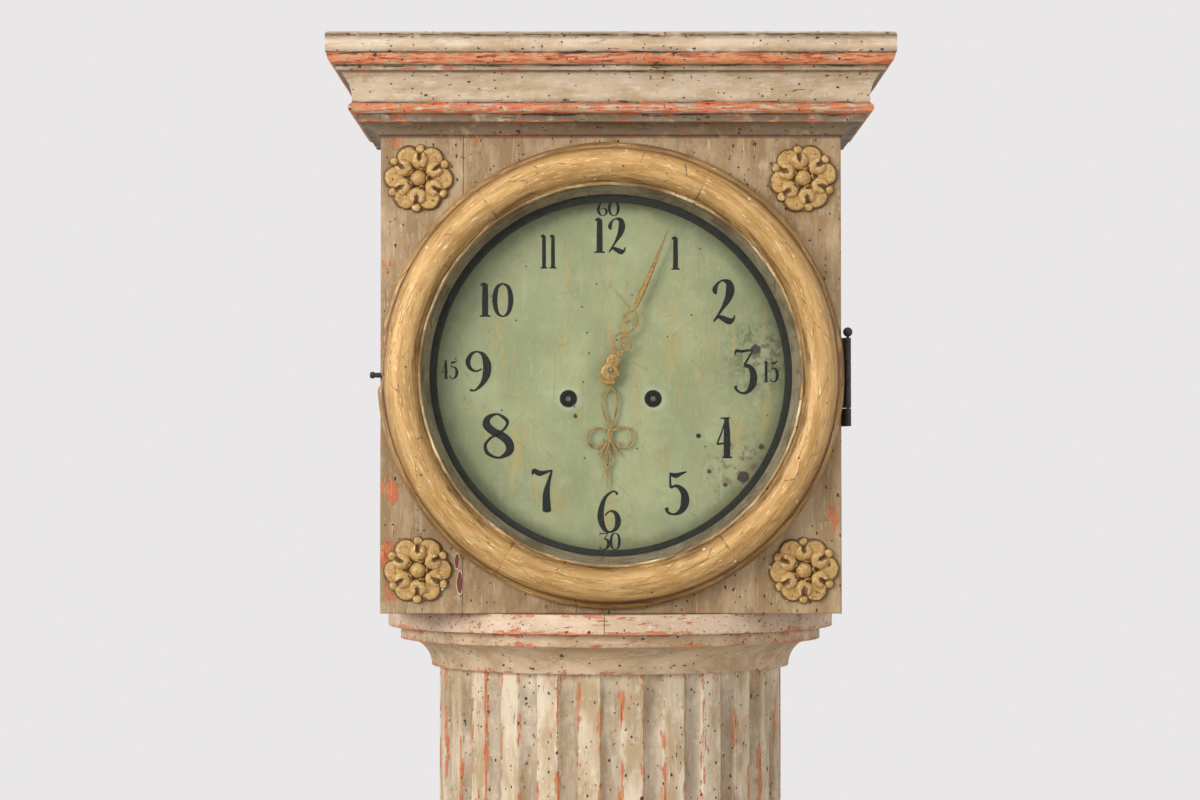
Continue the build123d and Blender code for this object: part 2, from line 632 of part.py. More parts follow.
def make_column_door():
    """The fluted door in the column, its hinges and its turning catch."""
    edge = DOOR_ANGLE - DOOR_HALF_GAP * 2
    spindle_angle = KNOB_FLUTE * FLUTE_PITCH
    door = fluted_piece(-edge, edge, (DOOR_LOW + DOOR_GAP, DOOR_HIGH - DOOR_GAP))
    spindle = spindle_plane(spindle_angle, COLUMN_BORE - 1)
    with BuildPart() as bored:
        add(door.part)
        with BuildSketch(spindle):
            Circle(SPINDLE_RADIUS + RUNNING_GAP)
        extrude(amount=COLUMN_WALL + 2, mode=Mode.SUBTRACT)
    save(bored.part, "column_door")

    with BuildPart() as knob:
        with BuildSketch(spindle_plane(spindle_angle, COLUMN_BORE - TONGUE_BACK)):
            with Locations((0, TONGUE_LENGTH / 2 - TONGUE_WIDTH / 2)):
                Rectangle(TONGUE_WIDTH, TONGUE_LENGTH)
        extrude(amount=TONGUE_THICKNESS)
        with BuildSketch(spindle_plane(spindle_angle, COLUMN_BORE - TONGUE_BACK)):
            Circle(SPINDLE_RADIUS)
        extrude(amount=TONGUE_BACK + COLUMN_WALL + 8)
        with BuildSketch(spindle_plane(spindle_angle, COLUMN_RADIUS + 1)):
            Circle(10)
        extrude(amount=3)
        with BuildSketch(spindle_plane(spindle_angle, COLUMN_RADIUS + 8)):
            SlotOverall(30, 12, rotation=90)
        extrude(amount=12)
    save(knob.part, "door_turn_catch")

    pivot = column_point(DOOR_PIVOT_RADIUS, DOOR_ANGLE)
    third = DOOR_LEAF_LENGTH / 3
    outer = COLUMN_RADIUS + DOOR_LEAF_THICKNESS
    door_leaves, case_leaves = [], []
    for middle in door_hinge_levels():
        low, high = middle - DOOR_LEAF_LENGTH / 2, middle + DOOR_LEAF_LENGTH / 2
        with BuildPart() as leaf:
            with BuildSketch(Plane.XY.offset(middle - third / 2 + 0.3)):
                sector(COLUMN_RADIUS, outer, edge - DOOR_LEAF_ANGLE, edge)
                with Locations(pivot):
                    Circle(KNUCKLE_RADIUS)
            extrude(amount=third - 0.6)
            with BuildSketch(Plane.XY.offset(low)):
                sector(COLUMN_RADIUS, outer, edge - DOOR_LEAF_ANGLE, edge - 0.9)
            extrude(amount=DOOR_LEAF_LENGTH)
            with BuildSketch(Plane.XY.offset(low)):
                with Locations(pivot):
                    Circle(DOOR_PIN_RADIUS + RUNNING_GAP)
            extrude(amount=DOOR_LEAF_LENGTH, mode=Mode.SUBTRACT)
        door_leaves.append(leaf)
        start = DOOR_ANGLE + DOOR_HALF_GAP
        with BuildPart() as leaf:
            for foot in (low, high - third):
                with BuildSketch(Plane.XY.offset(foot)):
                    sector(COLUMN_RADIUS, outer, start, start + DOOR_LEAF_ANGLE)
                    with Locations(pivot):
                        Circle(KNUCKLE_RADIUS)
                extrude(amount=third)
            with BuildSketch(Plane.XY.offset(low)):
                sector(COLUMN_RADIUS, outer, start + 0.9, start + DOOR_LEAF_ANGLE)
            extrude(amount=DOOR_LEAF_LENGTH)
            with BuildSketch(Plane.XY.offset(low)):
                with Locations(pivot):
                    Circle(DOOR_PIN_RADIUS)
            extrude(amount=DOOR_LEAF_LENGTH)
        case_leaves.append(leaf)
    save(group(*door_leaves), "door_hinge_leaves")
    save(group(*case_leaves), "column_hinge_leaves")


def spindle_plane(angle, radius):
    """A plane across the catch's spindle, facing outward, with its own y up."""
    turn = radians(angle)
    x, y = column_point(radius, angle)
    return Plane(
        origin=(x, y, KNOB_Z), x_dir=(cos(turn), sin(turn), 0), z_dir=(sin(turn), -cos(turn), 0)
    )


# ---------------------------------------------------------------- seat for the movement


def make_seat():
    """Two cheeks and the board that the movement stands on, with slots for lines and pendulum."""
    cheek = board(
        (CHEEK_INNER_X, CHEEK_INNER_X + CHEEK_THICKNESS), (CHEEK_FRONT, AXIS_Y), (SHELF_Z, SEAT_Z)
    )
    with BuildPart() as seat:
        with BuildSketch(Plane.XY.offset(SEAT_Z)):
            with Locations((0, (SEAT_FRONT + AXIS_Y) / 2)):
                Rectangle(2 * SEAT_HALF_WIDTH, AXIS_Y - SEAT_FRONT)
            with Locations(*[(x - LINE_OFFSET, LINE_Y) for x in (-WINDING_X, WINDING_X)]):
                Rectangle(LINE_SLOT, LINE_SLOT, mode=Mode.SUBTRACT)
            with Locations((0, (ROD_SLOT_FRONT + AXIS_Y) / 2)):
                Rectangle(2 * ROD_SLOT_HALF_WIDTH, AXIS_Y - ROD_SLOT_FRONT, mode=Mode.SUBTRACT)
        extrude(amount=SEAT_THICKNESS)
    save(group(cheek, mirrored(cheek), seat), "seat_board")


# ---------------------------------------------------------------- hood
def make_hood():
    """The lift-off hood: two front boards round the dial, sides, top, floor and cornice."""
    top = TOTAL_HEIGHT - HOOD_TOP_BOARD
    fronts = []
    for low, high in ((-HOOD_HALF, HOOD_SEAM_X), (HOOD_SEAM_X, HOOD_HALF)):
        with BuildPart() as front:
            with BuildSketch(facing(FRONT_Y + HOOD_FRONT_BOARD, z=0)):
                with Locations(((low + high) / 2, (HOOD_Z + top) / 2)):
                    Rectangle(high - low, top - HOOD_Z)
                with Locations((0, DIAL_Z)):
                    Circle(HOOD_HOLE_RADIUS, mode=Mode.SUBTRACT)
            extrude(amount=HOOD_FRONT_BOARD)
        fronts.append(front)
    save(group(*fronts), "hood_front")

    inner = HOOD_HALF - HOOD_BOARD
    behind = FRONT_Y + HOOD_FRONT_BOARD
    side = board((inner, HOOD_HALF), (behind, BACK_Y), (HOOD_Z, top))
    save(group(side, mirrored(side)), "hood_sides")
    save(board((-HOOD_HALF, HOOD_HALF), (FRONT_Y, BACK_Y), (top, TOTAL_HEIGHT)).part, "hood_top")

    arm = CHEEK_INNER_X + CHEEK_THICKNESS + 6
    back = AXIS_Y - BACKBOARD_SIDE_GAP
    with BuildPart() as floor:
        with BuildSketch(Plane.XY.offset(HOOD_Z)):
            with Locations((0, (behind + back) / 2)):
                Rectangle(2 * inner, back - behind)
            with Locations((0, (behind + HOOD_FLOOR_BAR + back) / 2)):
                Rectangle(2 * arm, back - behind - HOOD_FLOOR_BAR, mode=Mode.SUBTRACT)
        extrude(amount=HOOD_BOARD)
    save(floor.part, "hood_floor")

    front, right, left = moulding_runs(cornice_profile, HOOD_HALF, FRONT_Y, CORNICE_Z)
    save(front.part, "cornice_front")
    save(group(right, left), "cornice_returns")


def cornice_profile():
    """Outline of the cornice, from the hood's face outward and from its lower edge up.

    From below: a hollow soffit, a fillet, an astragal, a tall hollow, a fillet, an ovolo and the
    corona with a rounded top edge.
    """
    edge = CORNICE_OVERHANG
    top = CORNICE_HEIGHT
    Line((0, 0), (3, 0))
    ThreePointArc((3, 0), (9.5, 8.2), (22, 11.3))
    Line((22, 11.3), (22, 19.6))
    Line((22, 19.6), (27, 19.6))
    ThreePointArc((27, 19.6), (32.2, 25), (28.5, 30.3))
    ThreePointArc((28.5, 30.3), (30.6, 48), (39.5, 61.9))
    Line((39.5, 61.9), (44, 61.9))
    Line((44, 61.9), (44, 67.5))
    Line((44, 67.5), (46.5, 67.5))
    ThreePointArc((46.5, 67.5), (51.3, 72.5), (52.5, 79.6))
    Line((52.5, 79.6), (edge, 79.6))
    Line((edge, 79.6), (edge, top - 4))
    RadiusArc((edge, top - 4), (edge - 4, top), 4)
    Line((edge - 4, top), (0, top))
    Line((0, top), (0, 0))


def make_rosettes():
    """Four carved rosettes in the corners of the hood's front."""
    x = HOOD_HALF - ROSETTE_TO_SIDE - ROSETTE_RADIUS
    rise = ROSETTE_TO_END + ROSETTE_RADIUS
    rosettes = []
    for z in (SHELF_Z + rise, CORNICE_Z - rise):
        for side in (-1, 1):
            with BuildPart() as rosette:
                with BuildSketch(facing(FRONT_Y, at=(side * x, z), z=0)):
                    with BuildLine():
                        Polyline(*petals(), close=True)
                    make_face()
                extrude(amount=ROSETTE_BASE)
                with BuildSketch(facing(FRONT_Y - ROSETTE_BASE, at=(side * x, z), z=0)):
                    RegularPolygon(ROSETTE_RADIUS * ROSETTE_NOTCH, 2 * ROSETTE_PETALS)
                extrude(amount=ROSETTE_HEIGHT - ROSETTE_BASE - 3, taper=55)
                with BuildSketch(facing(FRONT_Y - ROSETTE_BASE, at=(side * x, z), z=0)):
                    RegularPolygon(ROSETTE_BALL_RADIUS, 2 * ROSETTE_PETALS)
                extrude(amount=ROSETTE_HEIGHT - ROSETTE_BASE)
            rosettes.append(rosette)
    save(group(*rosettes), "rosettes")


def petals():
    """Outline of a rosette round its middle: a bulge for each petal, with a notch between two."""
    corners = []
    for n in range(4 * ROSETTE_PETALS):
        turn = radians(90 * n / ROSETTE_PETALS)
        bulge = abs(sin(ROSETTE_PETALS / 2 * turn))
        radius = ROSETTE_RADIUS * (ROSETTE_NOTCH + (1 - ROSETTE_NOTCH) * bulge)
        corners.append((radius * cos(turn), radius * sin(turn)))
    return corners


# ---------------------------------------------------------------- bezel door
def bezel_profile():
    """Section of the gilt ring: radius from the dial's axis, and height over the hood's face."""
    flange_inner = (BEZEL_RADIUS - FLANGE_WIDTH, FLANGE_HEIGHT - 2)
    flange_outer = (BEZEL_RADIUS, FLANGE_HEIGHT - 5)
    torus_inner = (TORUS_INNER_RADIUS, TORUS_INNER_HEIGHT)
    torus_middle = ((flange_inner[0] + TORUS_INNER_RADIUS) / 2, TORUS_HEIGHT)
    bore = (BEZEL_BORE_RADIUS, TORUS_INNER_HEIGHT)
    bead_middle = ((TORUS_INNER_RADIUS + BEZEL_BORE_RADIUS) / 2, BEAD_HEIGHT)
    rebate = GLASS_BACK + GLASS_THICKNESS
    Polyline(
        (GLASS_RADIUS, BEZEL_GAP),
        (BEZEL_RADIUS, BEZEL_GAP),
        flange_outer,
        (BEZEL_RADIUS - FLANGE_WIDTH / 2.4, FLANGE_HEIGHT),
        *faceted(flange_inner, torus_middle, torus_inner, TORUS_FACETS),
        bead_middle,
        bore,
        (BEZEL_BORE_RADIUS, rebate),
        (GLASS_RADIUS, rebate),
        close=True,
    )


def make_bezel():
    """The gilt ring of four glued lengths, with lip, glass, putty, hinge and pull."""
    leaf_y = (FRONT_Y - BEZEL_GAP - HINGE_LEAF_THICKNESS, FRONT_Y - BEZEL_GAP)
    leaf_z = (DIAL_Z + HINGE_LOW, DIAL_Z + HINGE_HIGH)
    plate = board((HINGE_X - HINGE_LEAF_REACH, HINGE_X), leaf_y, leaf_z)
    with BuildPart() as leaf:
        add(plate.part)
        with BuildSketch(Plane.XY.offset(DIAL_Z + HINGE_LOW)):
            with Locations((HINGE_X, HINGE_Y)):
                Circle(HINGE_BARREL_RADIUS)
        extrude(amount=HINGE_HIGH - HINGE_LOW)
        with BuildSketch(Plane.XY.offset(DIAL_Z + HINGE_LOW)):
            with Locations((HINGE_X, HINGE_Y)):
                Circle(HINGE_PIN_RADIUS + HINGE_RUNNING_GAP)
        extrude(amount=HINGE_HIGH - HINGE_LOW, mode=Mode.SUBTRACT)
    save(leaf.part, "bezel_hinge_leaf")

    with BuildPart() as pull:
        with BuildSketch(
            Plane(
                origin=(-BEZEL_RADIUS + PULL_DEPTH, FRONT_Y - PULL_FORWARD, DIAL_Z),
                x_dir=(0, 1, 0),
                z_dir=(-1, 0, 0),
            )
        ):
            Circle(PULL_RADIUS)
        extrude(amount=PULL_DEPTH + PULL_REACH)
        with BuildSketch(
            Plane(
                origin=(-BEZEL_RADIUS - PULL_REACH, FRONT_Y - PULL_FORWARD, DIAL_Z),
                x_dir=(0, 1, 0),
                z_dir=(1, 0, 0),
            )
        ):
            Circle(PULL_HEAD_RADIUS)
        extrude(amount=4.5, taper=10)
    save(pull.part, "bezel_pull")

    segments = []
    for n, start in enumerate(BEZEL_JOINTS):
        arc = (BEZEL_JOINTS[(n + 1) % len(BEZEL_JOINTS)] - start) % 360
        with BuildPart() as segment:
            with BuildSketch(dial_plane(start)):
                with BuildLine():
                    bezel_profile()
                make_face()
            revolve(axis=DIAL_AXIS, revolution_arc=arc)
            add(plate.part, mode=Mode.SUBTRACT)
            add(pull.part, mode=Mode.SUBTRACT)
        segments.append(segment)
    save(group(*segments), "bezel_ring")

    rebate = GLASS_BACK + GLASS_THICKNESS
    with BuildPart() as lip:
        with BuildSketch(dial_plane(0)):
            with BuildLine():
                Polyline(
                    (BEZEL_BORE_RADIUS - FIXED_GAP, rebate),
                    (BEZEL_BORE_RADIUS - FIXED_GAP, TORUS_INNER_HEIGHT),
                    (LIP_INNER_RADIUS, rebate + 1),
                    (LIP_INNER_RADIUS, rebate),
                    close=True,
                )
            make_face()
        revolve(axis=DIAL_AXIS)
    save(lip.part, "bezel_lip")

    with BuildPart() as glass:
        with BuildSketch(facing(FRONT_Y - GLASS_BACK, z=DIAL_Z)):
            Circle(GLASS_RADIUS - FIXED_GAP)
        extrude(amount=GLASS_THICKNESS)
    save(glass.part, "glass")

    with BuildPart() as putty:
        with BuildSketch(dial_plane(0)):
            with BuildLine():
                Polyline(
                    (GLASS_RADIUS - FIXED_GAP, BEZEL_GAP),
                    (GLASS_RADIUS - FIXED_GAP, GLASS_BACK),
                    (PUTTY_INNER_RADIUS, GLASS_BACK),
                    close=True,
                )
            make_face()
        revolve(axis=DIAL_AXIS)
    save(putty.part, "glazing_putty")


def make_hood_hinge():
    """The iron pintle on the hood's side that the bezel's barrel turns on, with a ball on top."""
    foot_high = HINGE_LOW - HOOD_GAP
    with BuildPart() as pintle:
        with BuildSketch(Plane.XY.offset(DIAL_Z + HINGE_FOOT_LOW)):
            with BuildLine():
                Polyline(
                    (HOOD_HALF, FRONT_Y + 30),
                    (HOOD_HALF, FRONT_Y + 2),
                    (HINGE_X - 2, HINGE_Y),
                    (HINGE_X + 2, HINGE_Y),
                    (HOOD_HALF + 1.6, FRONT_Y + 8),
                    (HOOD_HALF + 1.6, FRONT_Y + 30),
                    close=True,
                )
            make_face()
            with Locations((HINGE_X, HINGE_Y)):
                Circle(HINGE_BARREL_RADIUS)
        extrude(amount=foot_high - HINGE_FOOT_LOW)
        with BuildSketch(Plane.XY.offset(DIAL_Z + foot_high)):
            with Locations((HINGE_X, HINGE_Y)):
                Circle(HINGE_PIN_RADIUS)
        extrude(amount=HINGE_HIGH - foot_high + 2)
    ball_z = DIAL_Z + HINGE_HIGH + 1 + HINGE_BALL_RADIUS
    with BuildPart() as ball:
        with BuildSketch(Plane(origin=(HINGE_X, HINGE_Y, ball_z), x_dir=(1, 0, 0), z_dir=(0, -1, 0))):
            with BuildLine():
                low, high = (0, -HINGE_BALL_RADIUS), (0, HINGE_BALL_RADIUS)
                curve = faceted(low, (HINGE_BALL_RADIUS, 0), high, HINGE_BALL_FACETS)
                Polyline(*curve, close=True)
            make_face()
        revolve(axis=Axis((HINGE_X, HINGE_Y, 0), (0, 0, 1)))
        add(pintle.part)
    save(ball.part, "hood_hinge_pintle")


# ---------------------------------------------------------------- dial and hands
def make_dial():
    """The iron dial with its holes."""
    with BuildPart() as dial:
        with BuildSketch(facing(DIAL_Y + DIAL_THICKNESS)):
            with Locations((0, -HAND_AXIS_ABOVE_DIAL)):
                Circle(DIAL_RADIUS)
            Circle(HOUR_PIPE_RADIUS + 1, mode=Mode.SUBTRACT)
            with Locations(GOING_GREAT, STRIKE_GREAT):
                Circle(WINDING_HOLE_RADIUS, mode=Mode.SUBTRACT)
            with Locations(SMALL_HOLE_AT):
                Circle(SMALL_HOLE_RADIUS, mode=Mode.SUBTRACT)
        extrude(amount=DIAL_THICKNESS)
    save(dial.part, "dial_plate")


def hand_plane(y, angle):
    """A plane for a hand's outline, with its own y along the hand."""
    turn = radians(angle)
    return Plane(
        origin=(0, y, HAND_Z), x_dir=(cos(turn), 0, -sin(turn)), z_dir=(0, -1, 0)
    )


def make_hands():
    """The two pierced brass hands and the collet that holds them."""
    with BuildPart() as hour:
        with BuildSketch(hand_plane(HOUR_HAND_BACK, HOUR_HAND_ANGLE)):
            Circle(11)
            with BuildLine():
                Polyline((-7, 6), (-4.5, 34), (-1.4, 67), (1.4, 67), (4.5, 34), (7, 6), close=True)
            make_face()
            with BuildLine():
                Polyline((-4.5, 13), (-2.8, 34), (0, 54), (2.8, 34), (4.5, 13), close=True)
            make_face(mode=Mode.SUBTRACT)
            for side in (-1, 1):
                with Locations((side * 11, 71), (side * 19, 64)):
                    Circle(9)
                    Circle(5.8, mode=Mode.SUBTRACT)
            with Locations((0, 72)):
                Circle(8)
            with BuildLine():
                Polyline(
                    (-3, 76), (-7, 92), (-3.5, 106), (0, HOUR_HAND_LENGTH), (3.5, 106), (7, 92),
                    (3, 76), close=True,
                )
            make_face()
            with Locations((0, 91)):
                Ellipse(4, 9, mode=Mode.SUBTRACT)
            Circle(HOUR_PIPE_RADIUS + FIXED_GAP, mode=Mode.SUBTRACT)
        extrude(amount=HAND_THICKNESS)
    save(hour.part, "hour_hand")

    with BuildPart() as minute:
        with BuildSketch(hand_plane(MINUTE_HAND_BACK, MINUTE_HAND_ANGLE)):
            Circle(9)
            with BuildLine():
                Polyline((-4, 6), (-6.5, 18), (-2, 30), (2, 30), (6.5, 18), (4, 6), close=True)
            make_face()
            with Locations((0, 37)):
                Circle(9)
                Circle(5.6, mode=Mode.SUBTRACT)
            with Locations((0, 54)):
                Circle(6)
                Circle(3.4, mode=Mode.SUBTRACT)
            with Locations((0, 45.5)):
                Circle(4)
            with BuildLine():
                Polyline((-3.6, 58), (0, MINUTE_HAND_LENGTH), (3.6, 58), close=True)
            make_face()
            Circle(CANNON_PIPE_RADIUS + FIXED_GAP, mode=Mode.SUBTRACT)
        extrude(amount=HAND_THICKNESS)
    with BuildPart() as collet:
        with BuildSketch(facing(MINUTE_HAND_BACK - HAND_THICKNESS)):
            Circle(COLLET_RADIUS)
            Circle(CANNON_PIPE_RADIUS + FIXED_GAP, mode=Mode.SUBTRACT)
        extrude(amount=1.5)
    save(group(minute, collet), "minute_hand")


# ---------------------------------------------------------------- movement


# depths of the wheels between the plates


def direction(start, end):
    """Angle of the line from one arbor to another, seen from the front."""
    return degrees(atan2(end[1] - start[1], end[0] - start[0]))


def module_of(start, end, teeth, leaves):
    """Tooth module that makes a wheel and a pinion fill the distance between two arbors."""
    return 2 * hypot(end[0] - start[0], end[1] - start[1]) / (teeth + leaves)


def toothed(teeth, module, shape, phase):
    """Draw a toothed outline in the current sketch, with a tooth centred at the phase angle."""
    pitch_radius = teeth * module / 2
    step = 360 / teeth
    root = pitch_radius - shape["root"] * module
    tip = pitch_radius + shape["tip"] * module
    wide, narrow = shape["root_share"] * step, shape["tip_share"] * step
    crest = [(tip, -narrow), (tip, narrow)] if narrow else [(tip, 0)]
    corners = []
    for n in range(teeth):
        for radius, turn in ((root, -wide), *crest, (root, wide)):
            angle = radians(phase + n * step + turn)
            corners.append((radius * cos(angle), radius * sin(angle)))
    with BuildLine() as outline:
        Polyline(*corners, close=True)
    make_face(outline.edges())


def crossings(rim, hub, arms=4):
    """Cut the openings between a wheel's arms in the current sketch."""
    gap = 360 / arms
    for n in range(arms):
        middle = n * gap + gap / 2
        corners = [
            (radius * cos(radians(middle + turn)), radius * sin(radians(middle + turn)))
            for radius, turn in (
                (hub, -0.28 * gap), (rim, -0.40 * gap), (rim, -0.14 * gap),
                (rim, 0.14 * gap), (rim, 0.40 * gap), (hub, 0.28 * gap),
            )
        ]
        with BuildLine() as outline:
            Polyline(*corners, close=True)
        make_face(outline.edges(), mode=Mode.SUBTRACT)


def wheel(at, y, teeth, module, phase, bore, rim_depth=3.2):
    """A brass wheel with four arms, its front face at y, with a bore for its arbor."""
    thickness = WHEEL_THICKNESS
    rim = teeth * module / 2 - rim_depth * module
    with BuildPart() as made:
        with BuildSketch(facing(y + thickness, at)):
            toothed(teeth, module, WHEEL_TOOTH, phase)
            crossings(rim, max(bore + 4, 0.36 * rim))
            Circle(bore, mode=Mode.SUBTRACT)
        extrude(amount=thickness)
    return made


def pinion_arbor(at, leaves, module, phase, y_span):
    """A steel arbor between the plates with its pivots and a pinion cut on it."""
    with BuildPart() as made:
        with BuildSketch(facing(PLATE_INNER_BACK - RUNNING_GAP, at)):
            Circle(ARBOR_RADIUS)
        extrude(amount=PLATE_GAP - 2 * RUNNING_GAP)
        with BuildSketch(facing(PLATE_BACK, at)):
            Circle(PIVOT_RADIUS)
        extrude(amount=PLATE_BACK - PLATE_FRONT)
        with BuildSketch(facing(y_span[1], at)):
            toothed(leaves, module, PINION_LEAF, phase)
        extrude(amount=y_span[1] - y_span[0])
    return made


def opposed(angle, teeth):
    """Phase that puts a gap, not a tooth, towards the neighbour at the angle."""
    return angle + 180 / teeth


def make_going_train():
    """Centre, third and escape arbors, which the going weight drives."""
    great = module_of(GOING_GREAT, CENTRE, GREAT_TEETH, CENTRE_LEAVES)
    middle = module_of(CENTRE, THIRD, CENTRE_TEETH, THIRD_LEAVES)
    upper = module_of(THIRD, ESCAPE, THIRD_TEETH, ESCAPE_LEAVES)
    bore = ARBOR_RADIUS + FIXED_GAP

    leaf_phase = opposed(direction(CENTRE, GOING_GREAT), CENTRE_LEAVES)
    pinion_y = (GOING_GREAT_Y - 3, PLATE_INNER_BACK - 3)
    arbor = pinion_arbor(CENTRE, CENTRE_LEAVES, great, leaf_phase, pinion_y)
    with BuildPart() as front_end:
        add(arbor.part)
        with BuildSketch(facing(PLATE_INNER_FRONT)):
            Circle(CENTRE_FRONT_RADIUS)
        extrude(amount=PLATE_INNER_FRONT - CANNON_END + 3)
    turn = direction(CENTRE, THIRD)
    brass = wheel(CENTRE, CENTRE_WHEEL_Y, CENTRE_TEETH, middle, turn, bore)
    save(group(front_end, brass), "centre_wheel")

    leaf_phase = opposed(direction(THIRD, CENTRE), THIRD_LEAVES)
    pinion_y = (CENTRE_WHEEL_Y - 3, CENTRE_WHEEL_Y - 3 + PINION_LENGTH)
    arbor = pinion_arbor(THIRD, THIRD_LEAVES, middle, leaf_phase, pinion_y)
    turn = direction(THIRD, ESCAPE)
    brass = wheel(THIRD, THIRD_WHEEL_Y, THIRD_TEETH, upper, turn, bore)
    save(group(arbor, brass), "third_wheel")

    leaf_phase = opposed(direction(ESCAPE, THIRD), ESCAPE_LEAVES)
    pinion_y = (THIRD_WHEEL_Y - 3, THIRD_WHEEL_Y - 3 + PINION_LENGTH)
    arbor = pinion_arbor(ESCAPE, ESCAPE_LEAVES, upper, leaf_phase, pinion_y)
    step = 360 / ESCAPE_TEETH
    corners = []
    for n in range(ESCAPE_TEETH):
        for radius, share in ((0.83, -0.85), (1.0, 0.0), (0.83, 0.12)):
            turn = radians((n + share) * step)
            corners.append((radius * ESCAPE_RADIUS * cos(turn), radius * ESCAPE_RADIUS * sin(turn)))
    with BuildPart() as brass:
        with BuildSketch(facing(ESCAPE_WHEEL_Y + WHEEL_THICKNESS, ESCAPE)):
            with BuildLine():
                Polyline(*corners, close=True)
            make_face()
            crossings(0.68 * ESCAPE_RADIUS, 7)
            Circle(bore, mode=Mode.SUBTRACT)
        extrude(amount=WHEEL_THICKNESS)
    save(group(arbor, brass), "escape_wheel")


def make_motion_work():
    """Cannon pinion, minute wheel and hour wheel, which turn the hands twelve to one."""
    module = module_of(CENTRE, MINUTE_STUD, CANNON_LEAVES, MINUTE_TEETH)
    slow = module_of(CENTRE, MINUTE_STUD, MINUTE_LEAVES, HOUR_TEETH)
    down, up = direction(CENTRE, MINUTE_STUD), direction(MINUTE_STUD, CENTRE)
    wheel_back = MINUTE_WHEEL_Y + GREAT_THICKNESS
    with BuildPart() as cannon:
        with BuildSketch(facing(wheel_back + 1)):
            toothed(CANNON_LEAVES, module, PINION_LEAF, opposed(down, CANNON_LEAVES))
        extrude(amount=GREAT_THICKNESS + 2)
        with BuildSketch(facing(wheel_back + 1)):
            Circle(CANNON_PIPE_RADIUS)
        extrude(amount=wheel_back + 1 - CANNON_END)
        with BuildSketch(facing(wheel_back + 1)):
            Circle(CENTRE_FRONT_RADIUS + FIXED_GAP)
        extrude(amount=wheel_back + 1 - CANNON_END, mode=Mode.SUBTRACT)
    save(cannon.part, "cannon_pinion")

    with BuildPart() as minute:
        with BuildSketch(facing(wheel_back, MINUTE_STUD)):
            toothed(MINUTE_TEETH, module, WHEEL_TOOTH, up)
        extrude(amount=GREAT_THICKNESS)
        with BuildSketch(facing(MINUTE_WHEEL_Y, MINUTE_STUD)):
            toothed(MINUTE_LEAVES, slow, PINION_LEAF, opposed(up, MINUTE_LEAVES))
        extrude(amount=MINUTE_WHEEL_Y - HOUR_WHEEL_Y + 2)
        with BuildSketch(facing(wheel_back, MINUTE_STUD)):
            Circle(CENTRE_FRONT_RADIUS + RUNNING_GAP)
        extrude(amount=30, mode=Mode.SUBTRACT)
    save(minute.part, "minute_wheel")

    with BuildPart() as hour:
        with BuildSketch(facing(HOUR_WHEEL_Y + GREAT_THICKNESS)):
            toothed(HOUR_TEETH, slow, WHEEL_TOOTH, down)
        extrude(amount=GREAT_THICKNESS)
        with BuildSketch(facing(HOUR_WHEEL_Y)):
            Circle(HOUR_PIPE_RADIUS)
        extrude(amount=HOUR_WHEEL_Y - HOUR_HAND_BACK + HAND_THICKNESS + 0.6)
        with BuildSketch(facing(HOUR_WHEEL_Y + GREAT_THICKNESS)):
            Circle(CANNON_PIPE_RADIUS + RUNNING_GAP)
        extrude(amount=60, mode=Mode.SUBTRACT)
    save(hour.part, "hour_wheel")


def make_great_wheel(node, at, y, teeth, phase, module, ratchet_y, count_plate):
    """A great wheel that runs loose on its barrel arbor, with the click that holds the barrel."""
    with BuildPart() as made:
        with BuildSketch(facing(y + GREAT_THICKNESS, at)):
            toothed(teeth, module, WHEEL_TOOTH, phase)
        extrude(amount=GREAT_THICKNESS)
        with BuildSketch(facing(y, at)):
            with Locations((RATCHET_RADIUS + 9, 8)):
                Circle(2)
        extrude(amount=y - ratchet_y)
        with BuildSketch(facing(ratchet_y + RATCHET_THICKNESS, at)):
            with BuildLine():
                click = RATCHET_RADIUS
                Polyline(
                    (click + 12, 10), (click + 6, 12), (click + 0.6, -1), (click + 3.5, -2),
                    close=True,
                )
            make_face()
        extrude(amount=RATCHET_THICKNESS)
        if count_plate:
            with BuildSketch(facing(y + GREAT_THICKNESS + 1, at)):
                Circle(COUNT_HUB_RADIUS)
            extrude(amount=1)
            with BuildSketch(facing(y + GREAT_THICKNESS + 1 + COUNT_THICKNESS, at)):
                Circle(COUNT_RADIUS)
                for strokes in range(1, 13):
                    turn = 360 * (strokes * (strokes + 1) / 2) / 78
                    spot = (COUNT_RADIUS * cos(radians(turn)), COUNT_RADIUS * sin(radians(turn)))
                    with Locations(Location(spot, turn)):
                        Rectangle(8, 1.6, mode=Mode.SUBTRACT)
            extrude(amount=COUNT_THICKNESS)
        with BuildSketch(facing(PLATE_INNER_BACK, at)):
            Circle(BARREL_ARBOR_RADIUS + RUNNING_GAP)
        extrude(amount=PLATE_GAP, mode=Mode.SUBTRACT)
    save(made.part, node)


